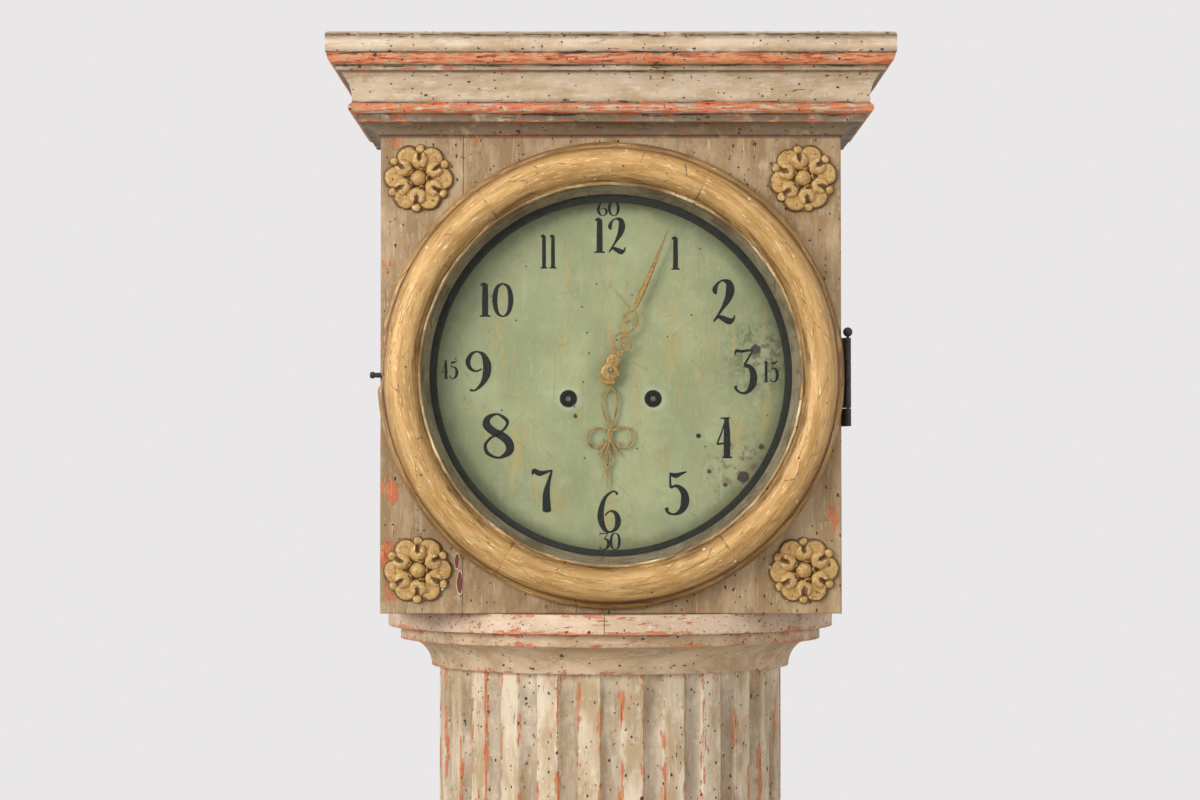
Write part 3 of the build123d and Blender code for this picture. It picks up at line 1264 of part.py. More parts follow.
def make_barrel(node, at, ratchet_y):
    """A barrel with its arbor, ratchet wheel and the square that the key fits."""
    with BuildPart() as made:
        with BuildSketch(facing(BARREL_Y + BARREL_LENGTH, at)):
            Circle(BARREL_RADIUS)
        extrude(amount=BARREL_LENGTH)
        step = 360 / RATCHET_TEETH
        corners = []
        for n in range(RATCHET_TEETH):
            for share, turn in ((0.82, n * step), (1.0, (n + 0.12) * step)):
                spot = share * RATCHET_RADIUS
                corners.append((spot * cos(radians(turn)), spot * sin(radians(turn))))
        with BuildSketch(facing(ratchet_y + RATCHET_THICKNESS, at)):
            with BuildLine():
                Polyline(*corners, close=True)
            make_face()
        extrude(amount=RATCHET_THICKNESS)
        with BuildSketch(facing(PLATE_INNER_BACK - RUNNING_GAP, at)):
            Circle(BARREL_ARBOR_RADIUS)
        extrude(amount=PLATE_INNER_BACK - RUNNING_GAP - DIAL_Y - WINDING_SQUARE_LENGTH)
        with BuildSketch(facing(PLATE_BACK, at)):
            Circle(PIVOT_RADIUS)
        extrude(amount=PLATE_THICKNESS + 1)
        with BuildSketch(facing(DIAL_Y + WINDING_SQUARE_LENGTH, at)):
            Rectangle(WINDING_SQUARE, WINDING_SQUARE)
        extrude(amount=WINDING_SQUARE_LENGTH)
    save(made.part, node)


def make_power():
    """Great wheels and barrels of the going and striking trains."""
    going = module_of(GOING_GREAT, CENTRE, GREAT_TEETH, CENTRE_LEAVES)
    strike = module_of(STRIKE_GREAT, PIN_WHEEL, STRIKE_TEETH, PIN_LEAVES)
    turn = direction(GOING_GREAT, CENTRE)
    ratchet_y = GOING_GREAT_Y - RATCHET_THICKNESS - 0.5
    make_great_wheel(
        "going_great_wheel", GOING_GREAT, GOING_GREAT_Y, GREAT_TEETH, turn, going, ratchet_y, False
    )
    make_barrel("going_barrel", GOING_GREAT, ratchet_y)
    turn = direction(STRIKE_GREAT, PIN_WHEEL)
    ratchet_y = STRIKE_GREAT_Y - RATCHET_THICKNESS - 0.5
    make_great_wheel(
        "strike_great_wheel", STRIKE_GREAT, STRIKE_GREAT_Y, STRIKE_TEETH, turn, strike, ratchet_y, True
    )
    make_barrel("strike_barrel", STRIKE_GREAT, ratchet_y)


def make_strike_train():
    """Pin wheel, hoop wheel, fly and hammer of the striking side."""
    great = module_of(STRIKE_GREAT, PIN_WHEEL, STRIKE_TEETH, PIN_LEAVES)
    middle = module_of(PIN_WHEEL, HOOP_WHEEL, PIN_TEETH, HOOP_LEAVES)
    upper = module_of(HOOP_WHEEL, FLY, HOOP_TEETH, FLY_LEAVES)
    bore = ARBOR_RADIUS + FIXED_GAP

    leaf_phase = opposed(direction(PIN_WHEEL, STRIKE_GREAT), PIN_LEAVES)
    pinion_y = (STRIKE_GREAT_Y - 2, STRIKE_GREAT_Y + 6)
    arbor = pinion_arbor(PIN_WHEEL, PIN_LEAVES, great, leaf_phase, pinion_y)
    turn = direction(PIN_WHEEL, HOOP_WHEEL)
    brass = wheel(PIN_WHEEL, PIN_WHEEL_Y, PIN_TEETH, middle, turn, bore, rim_depth=8.0)
    with BuildPart() as pinned:
        add(brass.part)
        with BuildSketch(facing(PIN_WHEEL_Y, PIN_WHEEL)):
            with PolarLocations(PIN_CIRCLE, STRIKE_PINS):
                Circle(PIN_RADIUS)
        extrude(amount=PIN_LENGTH)
    save(group(arbor, pinned), "pin_wheel")

    leaf_phase = opposed(direction(HOOP_WHEEL, PIN_WHEEL), HOOP_LEAVES)
    pinion_y = (PIN_WHEEL_Y - 3, PIN_WHEEL_Y + 6)
    arbor = pinion_arbor(HOOP_WHEEL, HOOP_LEAVES, middle, leaf_phase, pinion_y)
    turn = direction(HOOP_WHEEL, FLY)
    brass = wheel(HOOP_WHEEL, HOOP_WHEEL_Y, HOOP_TEETH, upper, turn, bore)
    save(group(arbor, brass), "hoop_wheel")

    leaf_phase = opposed(direction(FLY, HOOP_WHEEL), FLY_LEAVES)
    pinion_y = (HOOP_WHEEL_Y - 3, HOOP_WHEEL_Y + 5)
    arbor = pinion_arbor(FLY, FLY_LEAVES, upper, leaf_phase, pinion_y)
    with BuildPart() as vanes:
        add(arbor.part)
        with BuildSketch(facing(FLY_Y[1], FLY)):
            Rectangle(2 * FLY_RADIUS, 1.2)
            Circle(ARBOR_RADIUS + 1)
        extrude(amount=FLY_Y[1] - FLY_Y[0])
    save(vanes.part, "fly")

    bends = (HAMMER, *HAMMER_STEM, HAMMER_HEAD_AT)
    tail = direction(HAMMER, PIN_WHEEL)
    with BuildPart() as hammer:
        with BuildSketch(facing(PLATE_INNER_BACK - RUNNING_GAP, HAMMER)):
            Circle(ARBOR_RADIUS)
        extrude(amount=PLATE_GAP - 2 * RUNNING_GAP)
        with BuildSketch(facing(PLATE_BACK, HAMMER)):
            Circle(PIVOT_RADIUS)
        extrude(amount=PLATE_BACK - PLATE_FRONT)
        with BuildSketch(facing(HAMMER_STEM_Y[1])):
            for start, end in zip(bends, bends[1:]):
                middle = ((start[0] + end[0]) / 2, (start[1] + end[1]) / 2)
                reach = hypot(end[0] - start[0], end[1] - start[1])
                with Locations(Location(middle, direction(start, end))):
                    SlotOverall(reach + HAMMER_STEM_WIDTH, HAMMER_STEM_WIDTH)
        extrude(amount=HAMMER_STEM_Y[1] - HAMMER_STEM_Y[0])
        with BuildSketch(facing(HAMMER_TAIL_Y[1], HAMMER)):
            Circle(4)
            middle = (7 * cos(radians(tail)), 7 * sin(radians(tail)))
            with Locations(Location(middle, tail)):
                Rectangle(14, 4)
        extrude(amount=HAMMER_TAIL_Y[1] - HAMMER_TAIL_Y[0])
        with BuildSketch(facing(HAMMER_HEAD_Y[1], HAMMER_HEAD_AT)):
            Circle(HAMMER_HEAD_RADIUS)
        extrude(amount=HAMMER_HEAD_Y[1] - HAMMER_HEAD_Y[0])
    save(hammer.part, "hammer")


def bell_section(top):
    """Section of a bell's wall: radius from its axis, and height over the movement's centre."""
    crown = BELL_CROWN_SHARE * BELL_RADIUS
    waist = 0.9 * BELL_RADIUS
    bore = BELL_STAND_RADIUS + FIXED_GAP
    outside = faceted(
        (BELL_RADIUS, BELL_RIM),
        (waist, BELL_RIM + 0.62 * BELL_HEIGHT),
        (crown, top),
        BELL_FACETS,
    )
    inside = faceted(
        (crown - 1, top - BELL_WALL),
        (waist - BELL_WALL, BELL_RIM + 0.6 * BELL_HEIGHT),
        (BELL_RADIUS - BELL_WALL, BELL_RIM),
        BELL_FACETS,
    )
    return [*outside, (bore, top), (bore, top - BELL_WALL), *inside]


def make_frame():
    """The movement's two plates, their pillars, the bells' stands and the two bells."""
    pivots = (THIRD, ESCAPE, PIN_WHEEL, HOOP_WHEEL, FLY, HAMMER)
    pillar_x = PLATE_HALF_WIDTH - PILLAR_INSET
    pillars = [
        (side * pillar_x, z)
        for side in (-1, 1)
        for z in (PLATE_LOW + PILLAR_INSET, PLATE_HIGH - PILLAR_INSET)
    ]
    middle = (PLATE_LOW + PLATE_HIGH) / 2
    with BuildPart() as front:
        with BuildSketch(facing(PLATE_INNER_FRONT)):
            with Locations((0, middle)):
                Rectangle(2 * PLATE_HALF_WIDTH, PLATE_HIGH - PLATE_LOW)
            with Locations(*pivots, ANCHOR):
                Circle(PIVOT_RADIUS + RUNNING_GAP, mode=Mode.SUBTRACT)
            Circle(CENTRE_FRONT_RADIUS + RUNNING_GAP, mode=Mode.SUBTRACT)
            with Locations(GOING_GREAT, STRIKE_GREAT):
                Circle(BARREL_ARBOR_RADIUS + RUNNING_GAP, mode=Mode.SUBTRACT)
        extrude(amount=PLATE_THICKNESS)
        with BuildSketch(facing(PLATE_FRONT, MINUTE_STUD)):
            Circle(CENTRE_FRONT_RADIUS)
        extrude(amount=PLATE_FRONT - HOUR_WHEEL_Y + 3)
    save(front.part, "movement_front_plate")

    with BuildPart() as back:
        with BuildSketch(facing(PLATE_BACK)):
            with Locations((0, middle)):
                Rectangle(2 * PLATE_HALF_WIDTH, PLATE_HIGH - PLATE_LOW)
            with Locations(*pivots, CENTRE, GOING_GREAT, STRIKE_GREAT):
                Circle(PIVOT_RADIUS + RUNNING_GAP, mode=Mode.SUBTRACT)
            with Locations(ANCHOR):
                Circle(ARBOR_RADIUS + RUNNING_GAP, mode=Mode.SUBTRACT)
        extrude(amount=PLATE_THICKNESS)
    save(back.part, "movement_back_plate")

    with BuildPart() as posts:
        with BuildSketch(facing(PLATE_INNER_BACK)):
            with Locations(*pillars):
                Circle(PILLAR_RADIUS)
        extrude(amount=PLATE_GAP)
    with BuildPart() as feet:
        with BuildSketch(facing(PLATE_FRONT)):
            with Locations(*DIAL_FEET):
                Circle(DIAL_FOOT_RADIUS)
        extrude(amount=PLATE_FRONT - DIAL_Y - DIAL_THICKNESS)
    save(group(posts, feet), "pillars_and_dial_feet")

    bell_top = BELL_RIM + BELL_HEIGHT
    stands = []
    for side in (-1, 1):
        with BuildPart() as stand:
            with BuildSketch(Plane.XY.offset(HAND_Z + PLATE_HIGH)):
                with Locations((side * BELL_X, (PLATE_FRONT + PLATE_BACK) / 2)):
                    Rectangle(16, PLATE_BACK - PLATE_FRONT)
            extrude(amount=BELL_STRAP)
            with BuildSketch(Plane.XY.offset(HAND_Z + PLATE_HIGH)):
                with Locations((side * BELL_X, (PLATE_FRONT + PLATE_BACK) / 2)):
                    Circle(BELL_STAND_RADIUS)
            extrude(amount=bell_top - PLATE_HIGH + 9)
        stands.append(stand)
    save(group(*stands), "bell_stands")

    bells = []
    for side in (-1, 1):
        centre = (side * BELL_X, (PLATE_FRONT + PLATE_BACK) / 2)
        axis = Axis((centre[0], centre[1], 0), (0, 0, 1))
        side_plane = Plane(
            origin=(centre[0], centre[1], HAND_Z), x_dir=(1, 0, 0), z_dir=(0, -1, 0)
        )
        with BuildPart() as bell:
            with BuildSketch(side_plane):
                with BuildLine():
                    Polyline(*bell_section(bell_top), close=True)
                make_face()
            revolve(axis=axis)
        bells.append(bell)
    save(group(*bells), "bells")


# ---------------------------------------------------------------- pendulum, anchor and weights


def make_escapement():
    """The anchor with its arbor and crutch, and the cock that the pendulum hangs from."""
    left = [(0, 92), (-20, 80), (-22.5, 74.5), (-18.3, 72.8), (-16.5, 76.5), (0, 85)]
    right = [(-x, z) for x, z in reversed(left[1:-1])]
    with BuildPart() as anchor:
        with BuildSketch(facing(PLATE_INNER_BACK - RUNNING_GAP, ANCHOR)):
            Circle(ARBOR_RADIUS)
        extrude(amount=PLATE_GAP - 2 * RUNNING_GAP)
        with BuildSketch(facing(PLATE_INNER_FRONT + 1, ANCHOR)):
            Circle(PIVOT_RADIUS)
        extrude(amount=PLATE_THICKNESS + 1)
        with BuildSketch(facing(CRUTCH_Y + CRUTCH_THICKNESS, ANCHOR)):
            Circle(ARBOR_RADIUS)
        extrude(amount=CRUTCH_Y + CRUTCH_THICKNESS - PLATE_INNER_BACK + 1)
        with BuildSketch(facing(ESCAPE_WHEEL_Y + WHEEL_THICKNESS + 1.5)):
            with BuildLine():
                Polyline(*left, *right, close=True)
            make_face()
            with Locations(ANCHOR):
                Circle(5)
        extrude(amount=WHEEL_THICKNESS + 3)
        with BuildSketch(facing(CRUTCH_Y + CRUTCH_THICKNESS)):
            with Locations((0, (ANCHOR[1] + CRUTCH_FOOT) / 2)):
                Rectangle(5, ANCHOR[1] - CRUTCH_FOOT + 5)
            with Locations(ANCHOR):
                Circle(5)
            with Locations((0, CRUTCH_FOOT)):
                Rectangle(2 * FORK_GAP + 4, 6)
        extrude(amount=CRUTCH_THICKNESS)
        with BuildSketch(facing(PENDULUM_Y + 6, (0, CRUTCH_FOOT))):
            with Locations((-FORK_GAP - 1, 0), (FORK_GAP + 1, 0)):
                Rectangle(2, 6)
        extrude(amount=PENDULUM_Y + 6 - CRUTCH_Y)
    save(anchor.part, "anchor_and_crutch")

    with BuildPart() as cock:
        with BuildSketch(Plane.XY.offset(HAND_Z + COCK_LOW)):
            with Locations((0, (PLATE_BACK + PENDULUM_Y + 8) / 2)):
                Rectangle(22, PENDULUM_Y + 8 - PLATE_BACK)
            with Locations((0, PENDULUM_Y)):
                Rectangle(2.4, 12, mode=Mode.SUBTRACT)
        extrude(amount=COCK_HIGH - COCK_LOW)
    save(cock.part, "suspension_cock")


def make_pendulum():
    """The seconds pendulum: suspension spring, rod, lens-shaped bob and rating nut."""
    bob_z = HAND_Z + ANCHOR[1] - PENDULUM_LENGTH
    rod_low = bob_z - BOB_RADIUS - 25
    with BuildPart() as rod:
        with BuildSketch(Plane.XY.offset(rod_low)):
            with Locations((0, PENDULUM_Y)):
                Circle(ROD_RADIUS)
        extrude(amount=HAND_Z + ROD_TOP - rod_low)
        with BuildSketch(Plane.XY.offset(HAND_Z + ROD_TOP - 6)):
            with Locations((0, PENDULUM_Y)):
                Rectangle(0.5, 8)
        extrude(amount=COCK_HIGH - ROD_TOP + 7)
        with BuildSketch(Plane.XY.offset(HAND_Z + COCK_HIGH + HOOD_GAP)):
            with Locations((0, PENDULUM_Y)):
                Rectangle(6, 10)
        extrude(amount=4)
    save(rod.part, "pendulum_rod")

    half = BOB_THICKNESS / 2
    rim = (BOB_RADIUS, BOB_EDGE / 2)
    swell = (BOB_RADIUS / 2, BOB_EDGE / 2 + (half - BOB_EDGE / 2) * 0.78)
    curve = faceted(rim, swell, (0, half), BOB_FACETS)
    with BuildPart() as bob:
        with BuildSketch(Plane(origin=(0, PENDULUM_Y, bob_z), x_dir=(1, 0, 0), z_dir=(0, 0, 1))):
            with BuildLine():
                Polyline(*curve, *[(x, -y) for x, y in reversed(curve)], close=True)
            make_face()
        revolve(axis=Axis((0, PENDULUM_Y, bob_z), (0, 1, 0)))
        with BuildSketch(Plane.XY.offset(bob_z - BOB_RADIUS - 1)):
            with Locations((0, PENDULUM_Y)):
                Circle(ROD_RADIUS + FIXED_GAP)
        extrude(amount=2 * BOB_RADIUS + 2, mode=Mode.SUBTRACT)
    with BuildPart() as nut:
        with BuildSketch(Plane.XY.offset(bob_z - BOB_RADIUS - 12)):
            with Locations((0, PENDULUM_Y)):
                RegularPolygon(9, 6)
                Circle(ROD_RADIUS + FIXED_GAP, mode=Mode.SUBTRACT)
        extrude(amount=8)
    save(group(bob, nut), "pendulum_bob")


def make_weight(node, x):
    """A cast-iron weight with an iron eye in its top."""
    with BuildPart() as weight:
        with BuildSketch(Plane.XY.offset(WEIGHT_BOTTOM)):
            with Locations((x, LINE_Y)):
                Circle(WEIGHT_RADIUS)
        extrude(amount=WEIGHT_LENGTH)
        chamfer(weight.edges().filter_by(GeomType.CIRCLE).group_by(Axis.Z)[-1], WEIGHT_CHAMFER)
        eye_z = WEIGHT_BOTTOM + WEIGHT_LENGTH + EYE_RISE
        with BuildSketch(facing(LINE_Y + EYE_THICKNESS / 2, at=(x, eye_z), z=0)):
            Circle(EYE_RADIUS)
            Circle(EYE_HOLE_RADIUS, mode=Mode.SUBTRACT)
        extrude(amount=EYE_THICKNESS)
    save(weight.part, node)


def make_line(node, x):
    """The gut line from the barrel straight down to the weight's eye."""
    low = WEIGHT_BOTTOM + WEIGHT_LENGTH + EYE_RISE + EYE_RADIUS + LINE_GAP
    with BuildPart() as line:
        with BuildSketch(Plane.XY.offset(low)):
            with Locations((x, LINE_Y)):
                Circle(LINE_RADIUS)
        extrude(amount=HAND_Z + WINDING_Z - low)
    save(line.part, node)


def make_weights():
    """The going and striking weights, each on the left side of its barrel."""
    for x, train in ((WINDING_X, "going"), (-WINDING_X, "strike")):
        make_weight(f"{train}_weight", x - LINE_OFFSET)
        make_line(f"{train}_line", x - LINE_OFFSET)


make_plinth()
make_backboard()
make_column()
make_neck()
make_column_door()
make_seat()
make_hood()
make_rosettes()
make_bezel()
make_hood_hinge()
make_dial()
make_hands()
make_going_train()
make_motion_work()
make_power()
make_strike_train()
make_frame()
make_escapement()
make_pendulum()
make_weights()
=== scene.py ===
"""A painted mora clock dressed over its CAD frame, with every sub-assembly as a class of its own.

Sizes in the classes are millimetres in the clock's own frame: X to the right as one faces the
clock, Y from the front to the wall and Z up. Meshes are turned to metres when they are made.
Angles round the dial are degrees clockwise from twelve, and angles round the column are degrees
from its middle flute.
"""

from __future__ import annotations

import json
import logging
import math
import random
from abc import ABC, abstractmethod
from collections.abc import Callable, Iterable, Sequence
from dataclasses import dataclass, field
from enum import Enum
from functools import cache
from itertools import pairwise

import bmesh
import bpy
import numpy as np
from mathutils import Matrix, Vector, noise

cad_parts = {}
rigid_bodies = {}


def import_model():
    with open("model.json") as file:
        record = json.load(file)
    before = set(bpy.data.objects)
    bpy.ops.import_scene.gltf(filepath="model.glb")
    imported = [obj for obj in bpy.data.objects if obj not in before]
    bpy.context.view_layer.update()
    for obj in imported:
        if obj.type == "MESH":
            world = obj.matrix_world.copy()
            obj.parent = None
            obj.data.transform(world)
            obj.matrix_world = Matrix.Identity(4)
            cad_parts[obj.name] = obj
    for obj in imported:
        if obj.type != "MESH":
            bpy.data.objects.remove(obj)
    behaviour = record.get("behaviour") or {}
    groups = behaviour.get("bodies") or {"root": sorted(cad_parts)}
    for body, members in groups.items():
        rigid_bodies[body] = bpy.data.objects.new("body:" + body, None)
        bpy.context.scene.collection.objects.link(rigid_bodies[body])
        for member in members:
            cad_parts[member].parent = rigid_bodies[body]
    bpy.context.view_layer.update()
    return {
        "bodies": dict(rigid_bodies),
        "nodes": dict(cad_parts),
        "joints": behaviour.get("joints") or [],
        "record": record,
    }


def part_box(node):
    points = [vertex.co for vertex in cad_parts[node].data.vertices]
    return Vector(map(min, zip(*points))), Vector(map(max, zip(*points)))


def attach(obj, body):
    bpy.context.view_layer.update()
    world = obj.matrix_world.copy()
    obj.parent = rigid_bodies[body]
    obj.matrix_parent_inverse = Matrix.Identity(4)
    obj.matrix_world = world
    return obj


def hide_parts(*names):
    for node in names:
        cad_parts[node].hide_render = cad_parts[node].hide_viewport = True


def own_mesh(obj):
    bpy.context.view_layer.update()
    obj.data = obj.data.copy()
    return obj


LOG = logging.getLogger("mora_clock")
MM = 0.001
PER_METRE = 1000.0
FRONT_Y = -90.0
AXIS_Y = 124.0
DIAL_Z = 1848.0
HAND_Z = 1854.0
PINTLE = (246.5, -94.0)
# how strongly a bend counts as worn, or as a hollow that takes dirt and painted shade, and how far
# in mm that spreads from it
WEAR, WEAR_REACH = 2.2, 7.0
GRIME_AND_SHADE, GRIME_AND_SHADE_REACH = 3.0, 5.0
SPREAD_ROUNDS = 12
# vector noise would otherwise start from the time of day
NOISE_SEED = 5

Point = tuple[float, float]
Place = tuple[float, float, float]
Band = tuple[float, float, float]
Spot = tuple[float, float, float, float]
Bare = Callable[[Place], float]
Tree = bpy.types.NodeTree


# ---------------------------------------------------------------- nodes
def srgb(code: str) -> tuple[float, float, float, float]:
    """Turn an sRGB hex colour to linear values.

    Args:
        code: Colour as "#RRGGBB".

    Returns:
        Linear red, green, blue and an alpha of one.
    """
    values = [int(code[n : n + 2], 16) / 255 for n in (1, 3, 5)]
    linear = [v / 12.92 if v <= 0.04045 else ((v + 0.055) / 1.055) ** 2.4 for v in values]
    return (*linear, 1.0)


@dataclass(frozen=True)
class Value:
    """What a node's socket gives; values add, multiply and so on as numbers do."""

    socket: bpy.types.NodeSocket

    def __add__(self, other: object) -> Value:
        """The sum with another value or a number."""
        return plus(self, other)

    def __radd__(self, other: object) -> Value:
        """A number and this."""
        return plus(other, self)

    def __sub__(self, other: object) -> Value:
        """This less another value or a number."""
        return less(self, other)

    def __rsub__(self, other: object) -> Value:
        """A number less this."""
        return less(other, self)

    def __mul__(self, other: object) -> Value:
        """The product with another value or a number."""
        return times(self, other)

    def __truediv__(self, other: object) -> Value:
        """This over another value or a number."""
        return over(self, other)

    def __rtruediv__(self, other: object) -> Value:
        """A number over this."""
        return over(other, self)

    def __pow__(self, other: object) -> Value:
        """This raised to another value or a number."""
        return power(self, other)

    def __abs__(self) -> Value:
        """This without its sign."""
        return size_of(self)


@dataclass(frozen=True)
class Made:
    """A node in its tree, whose results are read by name or number."""

    node: bpy.types.Node

    def __getitem__(self, key: str | int) -> Value:
        """The result with that name or number."""
        return Value(self.node.outputs[key])


def add_node(
    tree: Tree,
    kind: str,
    settings: dict[str, object] | None = None,
    inputs: dict[str | int, object] | None = None,
) -> Made:
    """Add a node to a tree with its settings and links.

    Args:
        tree: Tree that takes the node.
        kind: Blender's type name of the node.
        settings: Properties set on the node itself.
        inputs: Socket name or number to a number, a colour, a value that feeds it, or a list of
            values that all feed it.

    Returns:
        The new node.
    """
    made = tree.nodes.new(kind)
    for key, setting in (settings or {}).items():
        setattr(made, key, setting)
    for key, given in (inputs or {}).items():
        if isinstance(given, (Value, list)):
            for value in given if isinstance(given, list) else [given]:
                tree.links.new(value.socket, made.inputs[key])
        else:
            made.inputs[key].default_value = given
    return Made(made)


@dataclass(frozen=True)
class Step:
    """A common node kept as data, which is called with what its sockets take, in their order.

    A size that goes to a socket called Scale or Distance is given in millimetres.
    """

    kind: str
    settings: dict[str, object] = field(default_factory=dict)
    sockets: tuple[str | int, ...] = (0, 1, 2)
    result: str | int | None = 0
    presets: dict[str, float] = field(default_factory=dict)

    def __call__(self, *given: object) -> Value | Made:
        """Add the node to the tree that its values come from.

        Args:
            *given: Numbers, colours or values, which may stop short where there are presets.

        Returns:
            Its result, or the node itself where the row names none.
        """
        inputs = self.presets | dict(zip(self.sockets, given))
        for key in FROM_MM.keys() & inputs.keys():
            inputs[key] = FROM_MM[key](inputs[key])
        tree = next(value for value in given if isinstance(value, Value)).socket.id_data
        made = add_node(tree, self.kind, self.settings, inputs)
        return made if self.result is None else made[self.result]


def sums(operation: str) -> Step:
    """The sum of that name."""
    return Step("ShaderNodeMath", {"operation": operation})


FROM_MM = {"Scale": lambda size: 1.0 / (size * MM), "Distance": lambda size: size * MM}
plus, less, times, over, power = map(sums, ("ADD", "SUBTRACT", "MULTIPLY", "DIVIDE", "POWER"))
most, least, size_of, root = map(sums, ("MAXIMUM", "MINIMUM", "ABSOLUTE", "SQRT"))
sine, cosine, arcsine, bearing = map(sums, ("SINE", "COSINE", "ARCSINE", "ARCTAN2"))
whole, scaled = map(sums, ("ROUND", "MULTIPLY_ADD"))
# a share between two colours
mixed = Step("ShaderNodeMix", {"data_type": "RGBA"}, ("Factor", 6, 7), 2)
# a soft mask: nothing at the first bound, and one, or the top that is given, at the second
mask = Step(
    "ShaderNodeMapRange", {"interpolation_type": "SMOOTHSTEP"},
    ("Value", "From Min", "From Max", "To Max"), "Result",
)
# noise whose main spots are about the given size across
speckle = Step(
    "ShaderNodeTexNoise", {}, ("Vector", "Scale", "Detail", "Roughness"), "Fac",
    {"Detail": 3.0, "Roughness": 0.55},
)
# random cells of about the given size, and the distance to their edges
cells = Step("ShaderNodeTexVoronoi", {"feature": "F1"}, ("Vector", "Scale"), None)
cell_edges = Step(
    "ShaderNodeTexVoronoi", {"feature": "DISTANCE_TO_EDGE"}, ("Vector", "Scale"), "Distance"
)
# coordinates squeezed by a factor on each axis, so that a pattern is drawn out along it
drawn_out = Step("ShaderNodeVectorMath", {"operation": "MULTIPLY"})
apart = Step("ShaderNodeVectorMath", {"operation": "DISTANCE"}, result="Value")
split = Step("ShaderNodeSeparateXYZ", result=None)
channels = Step("ShaderNodeSeparateColor", result=None)
point_of = Step("ShaderNodeCombineXYZ")
# a height as a bumped normal, whose full step is the given depth
relief = Step("ShaderNodeBump", {}, ("Height", "Distance"))


def cracks(where: Value, size_mm: float, width: float) -> Value:
    """Thin lines between cells of the given size, as a mask."""
    return mask(cell_edges(where, size_mm), width, 0.0)


def away_from(place: Value, x: float, z: float) -> Value:
    """Distance in millimetres from a point of the clock's face."""
    return apart(drawn_out(place, (1.0, 0.0, 1.0)), (x * MM, 0.0, z * MM)) * PER_METRE


# ---------------------------------------------------------------- finishes
class Finish(ABC):
    """What a surface is made of; each finish builds one procedural material of its own name."""

    name: str

    @abstractmethod
    def paint(self, tree: Tree, place: Value) -> dict[str, object]:
        """Build the colour and relief, and return inputs of the shader by name."""

    @cache
    def material(self) -> bpy.types.Material:
        """Make the material once and return it."""
        made = bpy.data.materials.new(self.name)
        made.use_nodes = True
        tree = made.node_tree
        tree.nodes.clear()
        place = add_node(tree, "ShaderNodeTexCoord")["Object"]
        inputs = self.paint(tree, place)
        shader = add_node(tree, "ShaderNodeBsdfPrincipled", {}, inputs)
        add_node(tree, "ShaderNodeOutputMaterial", {}, {"Surface": shader[0]})
        return made


class Stroke(Enum):
    """Which way a painter's or a plane's marks run on the object."""

    UPRIGHT = (1.0, 1.0, 0.06)
    LEVEL = (0.06, 1.0, 1.0)


